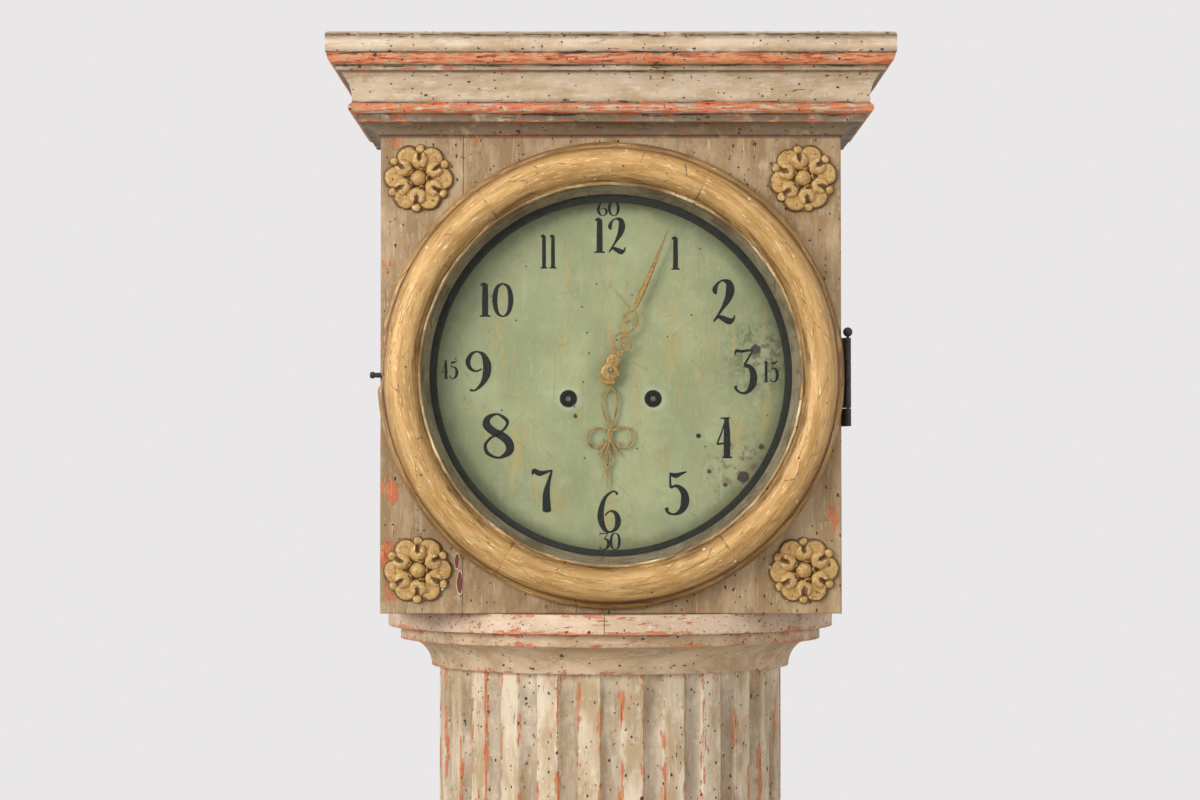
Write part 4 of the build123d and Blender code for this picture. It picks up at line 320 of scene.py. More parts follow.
@dataclass(frozen=True)
class WornOilPaint(Finish):
    """Hand-brushed linseed oil paint over a red lead ground on pine.

    The eye gets a chalky, uneven greige with brush marks, fine cracks, dark flecks where it has
    flaked, and broken strokes of the orange ground wherever handling has rubbed it.
    """

    name: str
    coat: str = "#B29A76"
    chalk: str = "#C6B296"
    shade: str = "#987D55"
    ground: str = "#C45A26"
    wood: str = "#74381C"
    flake: str = "#2A241E"
    marks: Stroke = Stroke.UPRIGHT
    wear: float = 0.50
    flecks: float = 0.5
    chalky: float = 0.5
    bands: tuple[Band, ...] = ()
    # bands of painted shadow under the cornice's overhangs, each a low, a high and a share
    shadow_bands: tuple[Band, ...] = ()
    spots: tuple[Spot, ...] = ()
    gouges: tuple[Spot, ...] = ()
    seams: tuple[float, ...] = ()
    edge_wear: float = 0.24
    # how dark the hollows are painted, dirt and painted shade together
    hollows: float = 1.0

    def between(self, place: Value, bands: Iterable[Band]) -> Value:
        """How far each height lies inside any of the bands, each a low, a high and a share."""
        level = split(place)[2] * PER_METRE
        total: Value | None = None
        for low, high, share in bands:
            over_low = mask(level, low - 1.5, low + 1.5, share)
            inside = least(over_low, mask(level, high + 1.5, high - 1.5, share))
            total = inside if total is None else most(total, inside)
        return total

    def rubbing(self, tree: Tree, place: Value, patch: Value) -> Value:
        """How much handling each place has had: edges, the bands that stand out, and bad spots."""
        worn = add_node(tree, "ShaderNodeAttribute", {"attribute_name": "wear"})["Fac"]
        broken = mask(speckle(place, 55, 4), 0.36, 0.62)
        total = worn * broken * (self.edge_wear / 0.24)
        if self.bands:
            total = most(total, self.between(place, self.bands))
        for x, z, radius, share in self.spots:
            away = away_from(place, x, z) + patch * radius
            total = most(total, mask(away, 1.5 * radius, 0.7 * radius, share))
        return total

    def paint(self, tree: Tree, place: Value) -> dict[str, object]:
        """Layer the coat, chalky bloom, rubbed ground, bare wood and flakes."""
        grime = add_node(tree, "ShaderNodeAttribute", {"attribute_name": "grime"})["Fac"]
        along = drawn_out(place, self.marks.value)
        brush = speckle(along, 2.8, 5, 0.68)
        sweep = speckle(drawn_out(place, tuple(v**0.4 for v in self.marks.value)), 24, 5, 0.62)
        patch = speckle(place, 17, 6, 0.70)
        rubbed = self.rubbing(tree, place, patch)

        colour = mixed(mask(sweep, 0.36, 0.64), srgb(self.coat), srgb(self.shade))
        bloom = patch * 0.6 + brush * 0.4
        chalk = mask(bloom, 0.57 - 0.14 * self.chalky, 0.69 - 0.14 * self.chalky, 0.5)
        colour = mixed(chalk, colour, srgb(self.chalk))
        colour = mixed(mask(brush, 0.58, 0.70, 0.55), colour, srgb(self.shade))
        colour = mixed(mask(brush, 0.41, 0.32, 0.35), colour, srgb("#EDE4D4"))
        pink = mask(speckle(along, 7, 5, 0.7), 0.56, 0.64, 0.28)
        colour = mixed(pink, colour, srgb("#C99C7A"))
        chips = speckle(along, 3.4, 5, 0.75) + patch * 0.12
        colour = mixed(mask(chips, 0.385, 0.365, 0.85), colour, srgb("#F0EADF"))

        # dirt and painted shade: brown darkening in the hollows, scaled by hollows and broken by
        # patches
        hollow_dirt_and_shade = least(grime * self.hollows, 1.0)
        dirt = hollow_dirt_and_shade * mask(patch, 0.22, 0.55, 0.9)
        colour = mixed(dirt, colour, srgb("#523F29"))
        # painted shadow: brown under the cornice's overhangs, broken by patches
        if self.shadow_bands:
            shadowed = self.between(place, self.shadow_bands)
            colour = mixed(shadowed * mask(patch, 0.2, 0.5), colour, srgb("#553D26"))

        strokes = speckle(drawn_out(place, tuple(v**0.75 for v in self.marks.value)), 2.6, 4, 0.62)
        spread = speckle(place, 15, 5, 0.7)
        level = strokes * 0.62 + spread * 0.38 + rubbed * 0.24
        edge = 0.715 - 0.10 * self.wear
        bared = mask(level, edge, edge + 0.03)
        deep = mask(level, edge + 0.13, edge + 0.17)
        ground = mixed(mask(strokes, 0.42, 0.6), srgb("#D48A58"), srgb(self.ground))
        colour = mixed(bared * 0.85, colour, ground)
        colour = mixed(deep * 0.8, colour, srgb(self.wood))

        for x, z, wide, tall in self.gouges:
            oval = drawn_out(place, (1 / wide / MM, 0.0, 1 / tall / MM))
            near = apart(oval, (x / wide, 0.0, z / tall)) + patch * 1.2
            colour = mixed(mask(near, 1.75, 1.6), colour, srgb("#C9B8A4"))
            colour = mixed(mask(near, 1.6, 1.45), colour, srgb("#6E2C16"))
        for x in self.seams:
            off = abs(split(place)[0] * PER_METRE - x)
            line = mask(off, 0.8, 0.45) * mask(patch, 0.36, 0.50)
            colour = mixed(line * 0.8, colour, srgb("#4A3A2A"))
        flaked = self.flakes(place, along, grime)
        colour = mixed(flaked, colour, srgb(self.flake))
        hair = cracks(along, 9, 0.012) * mask(patch, 0.48, 0.62)
        colour = mixed(hair * 0.6, colour, srgb("#5E4A34"))

        lost = most(bared, flaked)
        height = brush * 0.4 + patch * 0.3 - lost * 0.5 - hair * 0.2
        return {
            "Base Color": colour,
            "Roughness": mask(patch, 0.3, 0.7, 0.25) + 0.5,
            "Normal": relief(height, 0.8),
        }

    def flakes(self, place: Value, along: Value, grime: Value) -> Value:
        """Small dark losses: round nicks and ragged specks in clusters, and broken dark lines that
        gather in quirks, partly painted shade.
        """
        cluster = mask(speckle(place, 60, 4), 0.44, 0.62)
        found: Value | None = None
        lengthwise = drawn_out(place, tuple(v**0.12 for v in self.marks.value))
        for size, reach, share in ((5, 0.16, 0.34), (8, 0.15, 0.30), (17, 0.10, 0.26)):
            uneven = speckle(place, size * 0.22, 4, 0.75) * 0.62
            nicks = cells(lengthwise, size)
            lucky = channels(nicks["Color"])
            near = nicks["Distance"] + uneven
            spot = mask(near, reach + 0.32, reach + 0.29)
            odds = 1.0 - share * self.flecks * 0.5
            chosen = lucky[0] + cluster * (share * 0.8)
            spot = spot * mask(chosen, odds, odds + 0.02)
            found = spot if found is None else most(found, spot)
        ragged = speckle(along, 2.6, 5, 0.74) + cluster * 0.055
        ragged = mask(ragged, 0.745 - 0.03 * self.flecks, 0.752)
        # broken dark lines, drawn toward hollows: partly painted shade in the quirks
        line = speckle(along, 2.4, 4, 0.7) + grime * 0.20
        return most(most(found, ragged), mask(line, 0.72, 0.75))


@dataclass(frozen=True)
class RubbedGilding(Finish):
    """Water gilding on gesso, rubbed and toned by two centuries of handling.

    The eye gets a soft, broken gold: painted highlight streaks that run with the moulding and
    gather on rubbed edges, ochre where the leaf is thin, and brown in the hollows, partly painted
    shade, and along scratches that run with the moulding.
    """

    name: str = "rubbed_water_gilding"
    leaf: str = "#C79F65"
    thin: str = "#A67D44"
    tone: str = "#6A471F"
    # colour of the painted highlight streaks
    pale: str = "#F0DAAA"
    follows_run: bool = True
    metal: float = 0.20
    # how dark the hollows are toned, patina and painted shade together
    deep: float = 0.55

    def paint(self, tree: Tree, place: Value) -> dict[str, object]:
        """Layer leaf, thin places, painted highlight streaks, hollows toned with painted shade,
        pale rubbed gesso and scratches.
        """
        rubbed = add_node(tree, "ShaderNodeAttribute", {"attribute_name": "wear"})["Fac"]
        grime = add_node(tree, "ShaderNodeAttribute", {"attribute_name": "grime"})["Fac"]
        chip = add_node(tree, "ShaderNodeAttribute", {"attribute_name": "bare"})["Fac"]
        if self.follows_run:
            run = add_node(tree, "ShaderNodeUVMap", {"uv_map": "run"})[0]
            along = drawn_out(run, (0.15, 1.0, 1.0))
        else:
            along = place
        streak = speckle(along, 2.6, 5, 0.70)
        cloud = speckle(along, 9, 5, 0.66)
        broad = speckle(place, 60, 4)
        fine = speckle(place, 2.0, 3, 0.6)

        colour = mixed(mask(cloud, 0.38, 0.62), srgb(self.thin), srgb(self.leaf))
        colour = mixed(mask(broad, 0.44, 0.66, 0.5), colour, srgb(self.thin))
        # painted highlight: pale streaks along the moulding, more of them on rubbed edges
        glint = streak + rubbed * 0.22
        colour = mixed(mask(glint, 0.575, 0.70, 0.85), colour, srgb(self.pale))
        # brown toning in the hollows, partly painted shade; the ring's inner and outer edges darker
        # too, partly scuffs and partly painted shade
        hollow = cloud * 0.8 + grime * self.deep
        if self.follows_run:
            away = away_from(place, 0.0, DIAL_Z)
            sides = most(mask(away, 211.0, 201.0), mask(away, 231.5, 234.5))
            hollow = hollow + sides * 0.17
        hollow = hollow + streak * 0.25
        colour = mixed(mask(hollow, 0.60, 0.78, 0.9), colour, srgb(self.tone))
        scratch = cracks(along, 12, 0.012) * mask(streak, 0.46, 0.58)
        scar = mask(speckle(along, 2.4, 6, 0.78), 0.64, 0.68)
        dents = cells(place, 15)
        lucky = channels(dents["Color"])
        dent = mask(dents["Distance"], 0.11, 0.07) * mask(lucky[0], 0.74, 0.76)
        chalk = mask(dents["Distance"], 0.15, 0.09) * mask(lucky[1], 0.84, 0.86)
        colour = mixed(chalk, colour, srgb("#E6DCC4"))
        marks = most(most(scratch, scar), dent)
        colour = mixed(marks * 0.85, colour, srgb("#4C3016"))
        ragged = chip + speckle(place, 5, 5, 0.7) * 0.5
        bare = mask(ragged, 0.82, 0.92)
        wood = mixed(speckle(place, 4, 3), srgb("#C98A5E"), srgb("#8C4A28"))
        colour = mixed(bare, colour, wood)

        dull = most(most(bare, marks), mask(hollow, 0.6, 0.9))
        metal = (1.0 - dull) * self.metal
        height = streak * 0.3 + cloud * 0.8 + fine * 0.12 - most(marks, bare) * 0.4
        rough = mask(cloud, 0.3, 0.75, 0.22) + 0.36
        return {
            "Base Color": colour,
            "Metallic": metal,
            "Roughness": rough,
            "Normal": relief(height, 1.5),
        }


@dataclass(frozen=True)
class GreyGreenLip(Finish):
    """Lead-grey oil paint on the door's inner slope, thin and dirty, with lighter and darker
    streaks that follow the ring.
    """

    name: str = "grey_green_lip_paint"

    def paint(self, tree: Tree, place: Value) -> dict[str, object]:
        """Mottled grey-green with brown worn streaks that follow the ring."""
        run = add_node(tree, "ShaderNodeUVMap", {"uv_map": "run"})[0]
        along = drawn_out(run, (0.10, 1.0, 1.0))
        streak = speckle(along, 3, 5, 0.7)
        cloud = speckle(place, 30, 4)
        colour = mixed(mask(cloud, 0.35, 0.65), srgb("#7C7259"), srgb("#5C523C"))
        colour = mixed(mask(streak, 0.54, 0.64, 0.7), colour, srgb("#94876A"))
        colour = mixed(mask(streak, 0.46, 0.36, 0.8), colour, srgb("#3A3222"))
        parted = cracks(drawn_out(run, (0.6, 1.0, 1.0)), 13, 0.03)
        colour = mixed(parted * 0.7, colour, srgb("#3A2F20"))
        return {"Base Color": colour, "Roughness": 0.6, "Normal": relief(streak, 0.4)}


@dataclass(frozen=True)
class DialPaint(Finish):
    """Green oil paint brushed on hammered iron, yellowed, fly-spotted and rusted at its rim.

    The eye gets a calm sage green with upright brush marks, ochre runs, pale rings round the
    winding holes, and brown bloom at the right where damp got in.
    """

    name: str = "green_dial_oil_paint"
    green: str = "#9A9F75"
    light: str = "#AAAE86"
    deep: str = "#858B63"
    ochre: str = "#A8935A"
    rust: str = "#6A4A2C"
    rings: tuple[Point, ...] = ((-44.4, -29.6), (44.4, -29.6))
    losses: tuple[Place, ...] = (
        (139.0, -112.0, 6.0), (158.0, -80.0, 2.6), (152.0, 22.0, 5.0), (92.0, -68.7, 2.6),
        (120.0, -120.0, 2.0), (-37.0, -48.0, 2.0), (103.0, -106.0, 2.2),
    )

    def distance(self, place: Value, at: Point) -> Value:
        """Distance in millimetres from a point of the dial, given from the hands' axis."""
        return away_from(place, at[0], HAND_Z + at[1])

    def paint(self, tree: Tree, place: Value) -> dict[str, object]:
        """Layer brushed green, ochre runs, pale rings, painted shade in the winding holes, a darker
        rim, rust bloom, losses and specks.
        """
        tall = drawn_out(place, (1.0, 1.0, 0.12))
        brush = speckle(tall, 7, 5, 0.6)
        cloud = speckle(place, 90, 4)
        mottled = speckle(place, 24, 5, 0.6)
        colour = mixed(mask(cloud, 0.34, 0.66), srgb(self.green), srgb(self.deep))
        colour = mixed(mask(mottled, 0.50, 0.72, 0.35), colour, srgb(self.light))
        fine = speckle(drawn_out(place, (1.0, 1.0, 0.5)), 2.4, 5, 0.72)
        colour = mixed(mask(fine, 0.56, 0.68, 0.45), colour, srgb("#7C8159"))
        colour = mixed(mask(fine, 0.42, 0.32, 0.40), colour, srgb("#B9BD98"))
        colour = mixed(mask(brush, 0.58, 0.72, 0.35), colour, srgb(self.light))
        runs = speckle(drawn_out(place, (1.0, 1.0, 0.22)), 16, 6, 0.68)
        here = mask(runs, 0.52, 0.66) * mask(cloud, 0.38, 0.58)
        colour = mixed(here * 0.7, colour, srgb(self.ochre))
        middle = self.distance(place, (30.0, 30.0))
        drips = speckle(drawn_out(place, (1.0, 1.0, 0.14)), 6, 6, 0.7)
        wash = mask(middle, 110.0, 30.0) * mask(drips, 0.52, 0.66)
        colour = mixed(wash * 0.55, colour, srgb("#A68B4C"))
        for width, slant in ((26, (1.0, 0.0, 0.30)), (15, (0.8, 0.0, 0.45))):
            veins = cracks(drawn_out(place, slant), width, 0.010) * mask(runs, 0.47, 0.56)
            colour = mixed(veins * 0.5, colour, srgb("#6E6A3C"))
        for ring in self.rings:
            away = self.distance(place, ring) + mottled * 10.0
            colour = mixed(mask(away, 22.0, 13.0, 0.28), colour, srgb("#BCC6B4"))
            # painted shade: nearly black on the walls of the winding holes
            colour = mixed(mask(self.distance(place, ring), 9.6, 9.0), colour, srgb("#17130F"))
        hub = self.distance(place, (0.0, 0.0)) + mottled * 16.0
        colour = mixed(mask(hub, 26.0, 14.0, 0.45), colour, srgb("#8E7E4A"))

        # darker towards the rim
        rim = self.distance(place, (0.0, -6.0)) + mottled * 26.0
        colour = mixed(mask(rim, 178.0, 196.0, 0.75), colour, srgb("#62643F"))
        damp = self.distance(place, (160.0, 15.0)) + runs * 70.0
        bloom = mask(damp, 92.0, 48.0) * mask(speckle(place, 9, 6, 0.75), 0.47, 0.57)
        colour = mixed(bloom * 0.8, colour, srgb("#4F4A32"))
        low = self.distance(place, (140.0, -105.0)) + runs * 60.0
        bloom = mask(low, 84.0, 42.0) * mask(speckle(place, 8, 6, 0.75), 0.50, 0.60)
        colour = mixed(bloom * 0.8, colour, srgb(self.rust))

        ragged = speckle(place, 4, 4, 0.7) * 6.0
        lost: Value | None = None
        for x, z, size in self.losses:
            away = self.distance(place, (x, z)) + ragged
            spot = mask(away, size + 3.6, size + 2.6)
            lost = spot if lost is None else most(lost, spot)
        colour = mixed(lost, colour, srgb("#2E2015"))

        dots = cells(drawn_out(place, (1.0, 0.0, 1.0)), 17)
        lucky = channels(dots["Color"])
        speck = mask(dots["Distance"], 0.075, 0.055) * mask(lucky[1], 0.70, 0.72)
        colour = mixed(speck, colour, srgb("#3B3A2C"))
        height = brush * 0.5 + mottled * 0.5 - lost
        return {
            "Base Color": colour,
            "Roughness": mask(mottled, 0.3, 0.7, 0.15) + 0.42,
            "Normal": relief(height, 0.25),
        }


@dataclass(frozen=True)
class Plain(Finish):
    """A finish of one material whose two tones are mottled, with its own grain and relief.

    It serves metals, bare wood, putty, gut and figure paint; what each gives the eye stands
    beside the value that makes it.
    """

    name: str
    tone: str
    other: str
    grain_mm: float
    stretch: Place = (1.0, 1.0, 1.0)
    roughness: float = 0.5
    metallic: float = 0.0
    depth_mm: float = 0.15
    dirt: str = "#2B2118"
    dirty: float = 0.25
    gloss: float = 0.5

    def paint(self, tree: Tree, place: Value) -> dict[str, object]:
        """Mix the two tones by a grain and darken a few patches."""
        along = drawn_out(place, self.stretch)
        grain = speckle(along, self.grain_mm, 6, 0.65)
        patch = speckle(place, self.grain_mm * 7, 4)
        colour = mixed(mask(grain, 0.35, 0.65), srgb(self.tone), srgb(self.other))
        colour = mixed(mask(patch, 0.52, 0.75, self.dirty), colour, srgb(self.dirt))
        rough = mask(patch, 0.3, 0.8, 0.2) + (self.roughness - 0.08)
        return {
            "Base Color": colour,
            "Metallic": self.metallic,
            "Roughness": rough,
            "Specular IOR Level": self.gloss,
            "Normal": relief(grain, self.depth_mm),
        }


@dataclass(frozen=True)
class OldGlass(Finish):
    """Cylinder-blown window glass: clear, faintly green, with slow waves that bend reflections."""

    name: str = "old_window_glass"

    def paint(self, tree: Tree, place: Value) -> dict[str, object]:
        """A thin clear sheet: mostly open, with a polished skin."""
        wave = speckle(place, 70, 1)
        return {
            "Base Color": srgb("#B7C2B4"),
            "Roughness": 0.03,
            "Alpha": 0.02,
            "IOR": 1.52,
            "Specular IOR Level": 0.18,
            "Normal": relief(wave, 1.5),
        }


@dataclass(frozen=True)
class StudioFloor(Finish):
    """Matt pale studio paint, even enough to leave the clock alone."""

    name: str = "pale_studio_floor"

    def paint(self, tree: Tree, place: Value) -> dict[str, object]:
        """A faintly uneven off-white."""
        colour = mixed(speckle(place, 400, 2), srgb("#E6E3DE"), srgb("#EAE8E4"))
        return {"Base Color": colour, "Roughness": 0.85}


HOOD_PAINT = WornOilPaint(
    "greige_hood_paint", coat="#AD9370", chalk="#C4B096", shade="#8C6F49",
    marks=Stroke.UPRIGHT, wear=0.25, flecks=1.3, chalky=0.38,
    bands=((2086, 2102, 0.45),),
    shadow_bands=((2096, 2102, 0.9),),
    spots=(
        (-236, 1960, 22, 0.9), (-238, 1880, 20, 0.8), (-237, 1800, 22, 0.85), (-232, 1730, 28, 0.9),
        (-236, 1660, 30, 0.95), (-226, 1626, 22, 0.9), (-222, 2086, 26, 0.85), (232, 1700, 20, 0.8),
        (236, 1850, 10, 0.6), (190, 2088, 18, 0.5), (120, 2084, 16, 0.5), (10, 2096, 26, 0.4),
    ),
    gouges=((-157, 1633, 3.2, 13), (-160, 1655, 2.4, 9)),
    seams=(-154.0,),
)
CORNICE_PAINT = WornOilPaint(
    "greige_cornice_paint", coat="#C8B298", chalk="#DDCFBA", shade="#AC9270", marks=Stroke.LEVEL,
    wear=0.45, flecks=1.2, chalky=0.5, ground="#BC4C20",
    bands=((2117.5, 2130.5, 0.85), (2166.5, 2178, 1.05), (2158, 2162, 0.35), (2194, 2201, 0.35)),
    shadow_bands=((2096, 2117, 0.75), (2159, 2162, 0.5)),
)
SIDE_PAINT = WornOilPaint(
    "greige_side_paint", marks=Stroke.UPRIGHT, wear=0.4, flecks=0.7, chalky=0.4
)
COLUMN_PAINT = WornOilPaint(
    "greige_column_paint", coat="#DCCAB0", chalk="#EAE0CE", shade="#B49A76",
    ground="#C8602C", marks=Stroke.UPRIGHT, wear=0.85, flecks=1.2, chalky=0.40, edge_wear=0.24,
    # deep painted shade in the flutes, with some dirt
    hollows=3.5,
)
NECK_PAINT = WornOilPaint(
    "greige_neck_paint", coat="#CDB293", chalk="#DCCAB2", shade="#AF916C",
    ground="#C85C2E", marks=Stroke.LEVEL, wear=0.45, flecks=1.1, chalky=0.45, edge_wear=0.25,
    bands=((1566, 1580, 0.36),),
)
SHELF_PAINT = WornOilPaint(
    "rubbed_shelf_paint", coat="#D8BCA2", chalk="#E6D6C6", shade="#C4A88A",
    ground="#CE5C34", marks=Stroke.LEVEL, wear=0.8, flecks=0.9, chalky=0.5, edge_wear=0.22,
    bands=((1578, 1601, 0.28),),
)
GILDING = RubbedGilding()
ROSETTE_GILDING = RubbedGilding(
    "matt_rosette_gilding", leaf="#BE985C", thin="#A98248", tone="#5A3B18", pale="#D6B680",
    # deep toning: painted shade in the seams between the petals
    follows_run=False, metal=0.07, deep=1.1,
)
LIP_PAINT = GreyGreenLip()
DIAL_PAINT = DialPaint()
GLASS = OldGlass()
# lamp black in oil: dense, slightly warm, thinner at the ends of strokes
FIGURE_BLACK = Plain(
    "lamp_black_figures", "#0C0D0D", "#141515", 5, roughness=0.7, dirt="#2E3128", dirty=0.25,
    depth_mm=0.05, gloss=0.1,
)
# black distemper on the door's rebate, which also stands for painted shade in the gap between door
# and dial: dead matt, greyed by dust
REBATE_BLACK_AND_SHADE = Plain(
    "dusty_black_rebate", "#1B1A17", "#292722", 9, roughness=0.85, dirty=0.4, gloss=0.15
)
# hand-cut brass sheet under old lacquer: warm, brown in the cuts
HAND_BRASS = Plain(
    "lacquered_hand_brass", "#B08E4A", "#7C5E2A", 2.2, roughness=0.45, metallic=0.15,
    dirt="#3E2A10", dirty=0.75,
)
# plates left unpolished for two centuries: brass gone brown, all but black in the dial's holes
PLATE_BRASS = Plain(
    "tarnished_plate_brass", "#5A4828", "#3C2E19", 3, roughness=0.55, metallic=0.6, dirty=0.5
)
# cast and filed brass: yellow with fine file lines
CLOCK_BRASS = Plain(
    "filed_clock_brass", "#C2A25C", "#A98844", 1.2, (1.0, 1.0, 0.1), 0.38, 0.9, 0.05
)
# turned bell metal: paler than brass, with lathe rings
BELL_METAL = Plain("turned_bell_metal", "#B9A06A", "#8F7A4C", 2, (0.1, 0.1, 1.0), 0.35, 0.9, 0.05)
# filed and dulled steel
CLOCK_STEEL = Plain(
    "dull_clock_steel", "#6E6B66", "#55524E", 1.5, (1.0, 0.1, 1.0), 0.45, 0.85, 0.05
)
# forge-blackened iron: hammer-pocked, brown with rust in its pits
FORGED_IRON = Plain(
    "blackened_forged_iron", "#3A3632", "#2A2724", 3.5, roughness=0.62, metallic=0.45,
    dirt="#5A3A22", dirty=0.5, depth_mm=0.5,
)
# raw pine, browned by age, with its grain upright
PINE = Plain(
    "browned_pine", "#8A6237", "#6E4A27", 3.2, (1.0, 1.0, 0.03), 0.7, 0.0, 0.3, "#3A2616", 0.4
)
# hardened linseed putty
PUTTY = Plain("old_putty", "#3A362B", "#2C2921", 4, roughness=0.85, gloss=0.2)
# twisted gut: amber, slightly glossy
GUT = Plain("twisted_gut", "#A98652", "#8A6A3C", 1.5, (1.0, 1.0, 0.3), 0.4)
FLOOR = StudioFloor()


# ---------------------------------------------------------------- meshes
def linked(name: str, data: bpy.types.ID) -> bpy.types.Object:
    """Make an object of a mesh, lamp or camera and link it to the scene."""
    made = bpy.data.objects.new(name, data)
    bpy.context.scene.collection.objects.link(made)
    return made


@dataclass
class Shape:
    """Points and faces of one piece, in millimetres, while it is being made."""

    name: str
    points: list[Place] = field(default_factory=list)
    faces: list[tuple[int, ...]] = field(default_factory=list)
    runs: list[tuple[Point, ...]] = field(default_factory=list)
    slots: list[int] = field(default_factory=list)

    def surface(
        self,
        rows: Sequence[Sequence[Sequence[float]]],
        along: Sequence[float] | None = None,
        across: Sequence[float] | None = None,
        loop_rows: bool = False,
        loop_across: bool = False,
        caps: bool = False,
        finish: int = 0,
    ) -> None:
        """Join rows of points to a surface of quads.

        Args:
            rows: Points by row, each row as long as the first.
            along: Distance of each row along the run, one more where the rows close.
            across: Distance of each point across, one more where the rows are loops.
            loop_rows: Whether the last row joins the first.
            loop_across: Whether each row is a closed loop.
            caps: Whether the first and last rows are closed by a face each.
            finish: Number of the finish that the faces take.
        """
        start, count, width = len(self.points), len(rows), len(rows[0])
        self.points += [tuple(point) for row in rows for point in row]
        u = along or range(count + 1)
        v = across or range(width + 1)
        for i in range(count if loop_rows else count - 1):
            low, high = start + i * width, start + (i + 1) % count * width
            for j in range(width if loop_across else width - 1):
                k = (j + 1) % width
                self.faces.append((low + j, low + k, high + k, high + j))
                self.runs.append(
                    ((u[i], v[j]), (u[i], v[j + 1]), (u[i + 1], v[j + 1]), (u[i + 1], v[j]))
                )
                self.slots.append(finish)
        if caps:
            for first in (start, start + (count - 1) * width):
                self.faces.append(tuple(range(first, first + width)))
                self.runs.append(tuple((0.0, 0.0) for _ in range(width)))
                self.slots.append(finish)

    def plain(self) -> bpy.types.Object:
        """Make an object of the points and faces, in metres."""
        mesh = bpy.data.meshes.new(self.name)
        mesh.from_pydata([[c * MM for c in point] for point in self.points], [], self.faces)
        return linked(self.name, mesh)

    def build(self, body: str, *dressing: object) -> bpy.types.Object:
        """Make the object, give each face its run and its finish, and dress it as finished does."""
        made = self.plain()
        layer = made.data.uv_layers.new(name="run")
        flat = [c * MM for run in self.runs for pair in run for c in pair]
        layer.data.foreach_set("uv", flat)
        made.data.polygons.foreach_set("material_index", self.slots)
        return finished(made, body, *dressing)


def finished(
    made: bpy.types.Object,
    body: str,
    finishes: Sequence[Finish],
    slot: str,
    replaces: Sequence[str] = (),
    sharp: float = 40.0,
    bare: Bare | None = None,
) -> bpy.types.Object:
    """Turn faces outward, shade, weather and dress a piece, hang it on its body and hide the part
    nodes it stands for.

    Args:
        made: The piece's object, in place.
        body: Moving body that carries it.
        finishes: Finishes by number.
        slot: The record's material slot; not used.
        replaces: Part nodes that it stands for.
        sharp: Angle in degrees over which an edge is shaded sharp.
        bare: Share of bare wood at a point in millimetres.

    Returns:
        The same object.
    """
    mesh = made.data
    work = bmesh.new()
    work.from_mesh(mesh)
    bmesh.ops.recalc_face_normals(work, faces=work.faces)
    work.to_mesh(mesh)
    work.free()
    mesh.polygons.foreach_set("use_smooth", [True] * len(mesh.polygons))
    mesh.set_sharp_from_angle(angle=math.radians(sharp))
    mesh.materials.clear()
    for finish in finishes:
        mesh.materials.append(finish.material())
    weather(mesh, bare)
    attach(made, body)
    if replaces:
        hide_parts(*replaces)
    LOG.info("%s: %d faces on %s", made.name, len(mesh.polygons), body)
    return made


def weather(
    mesh: bpy.types.Mesh, bare: Bare | None = None
) -> None:
    """Store on each point how rubbed it is, and how much dirt and painted shade its hollow takes,
    from how the surface bends there.

    Args:
        mesh: Mesh in metres whose edges are rounded.
        bare: Share of bare wood at a point in millimetres.
    """
    count = len(mesh.vertices)
    place = np.empty(count * 3)
    mesh.vertices.foreach_get("co", place)
    place = place.reshape(-1, 3) / MM
    normal = np.empty(count * 3)
    mesh.vertices.foreach_get("normal", normal)
    normal = normal.reshape(-1, 3)
    ends = np.empty(len(mesh.edges) * 2, dtype=np.int64)
    mesh.edges.foreach_get("vertices", ends)
    first, second = ends.reshape(-1, 2).T
    gap = place[first] - place[second]
    length = np.maximum(np.linalg.norm(gap, axis=1), 0.05)
    bend = np.zeros(count)
    for end, sign in ((first, 2), (second, -2)):
        np.add.at(bend, end, sign * (normal[end] * gap).sum(1) / np.maximum(length, 0.5) ** 2)
    degree = np.bincount(np.concatenate([first, second]), minlength=count)
    bend /= np.maximum(degree, 1)
    for name, value, reach in (
        ("wear", bend * WEAR, WEAR_REACH), ("grime", -bend * GRIME_AND_SHADE, GRIME_AND_SHADE_REACH)
    ):
        spread = np.clip(value, 0.0, 1.0)
        for _ in range(SPREAD_ROUNDS):
            near = spread.copy()
            np.maximum.at(near, first, spread[second] - length / reach)
            np.maximum.at(near, second, spread[first] - length / reach)
            spread = near
        held = mesh.attributes.get(name) or mesh.attributes.new(name, "FLOAT", "POINT")
        old = np.zeros(count, dtype=np.float32)
        held.data.foreach_get("value", old)
        held.data.foreach_set("value", np.maximum(spread, old).astype(np.float32))
    if bare:
        held = mesh.attributes.new("bare", "FLOAT", "POINT")
        held.data.foreach_set("value", [bare(tuple(point)) for point in place])


def compass(steps: int) -> list[Point]:
    """Cosine and sine at even steps of a whole turn."""
    turns = (2 * math.pi * n / steps for n in range(steps))
    return [(math.cos(t), math.sin(t)) for t in turns]


def upright(x: float, y: float, profile: Iterable[Point], steps: int) -> list[list[Place]]:
    """Rows of points round an upright axis, at each radius and level of a profile."""
    return [[(x + r * c, y + r * s, z) for c, s in compass(steps)] for r, z in profile]


def facing(x: float, z: float, profile: Iterable[Point], steps: int) -> list[list[Place]]:
    """Rows of points round an axis that faces the front, at each radius and Y of a profile."""
    return [[(x + r * c, y, z + r * s) for c, s in compass(steps)] for r, y in profile]


def arc(centre: Point, radius: float, start: float, end: float, steps: int) -> list[Point]:
    """Points of an arc from one angle to another, in degrees anticlockwise from the first axis."""
    turns = [math.radians(start + (end - start) * n / steps) for n in range(steps + 1)]
    return [(centre[0] + radius * math.cos(t), centre[1] + radius * math.sin(t)) for t in turns]


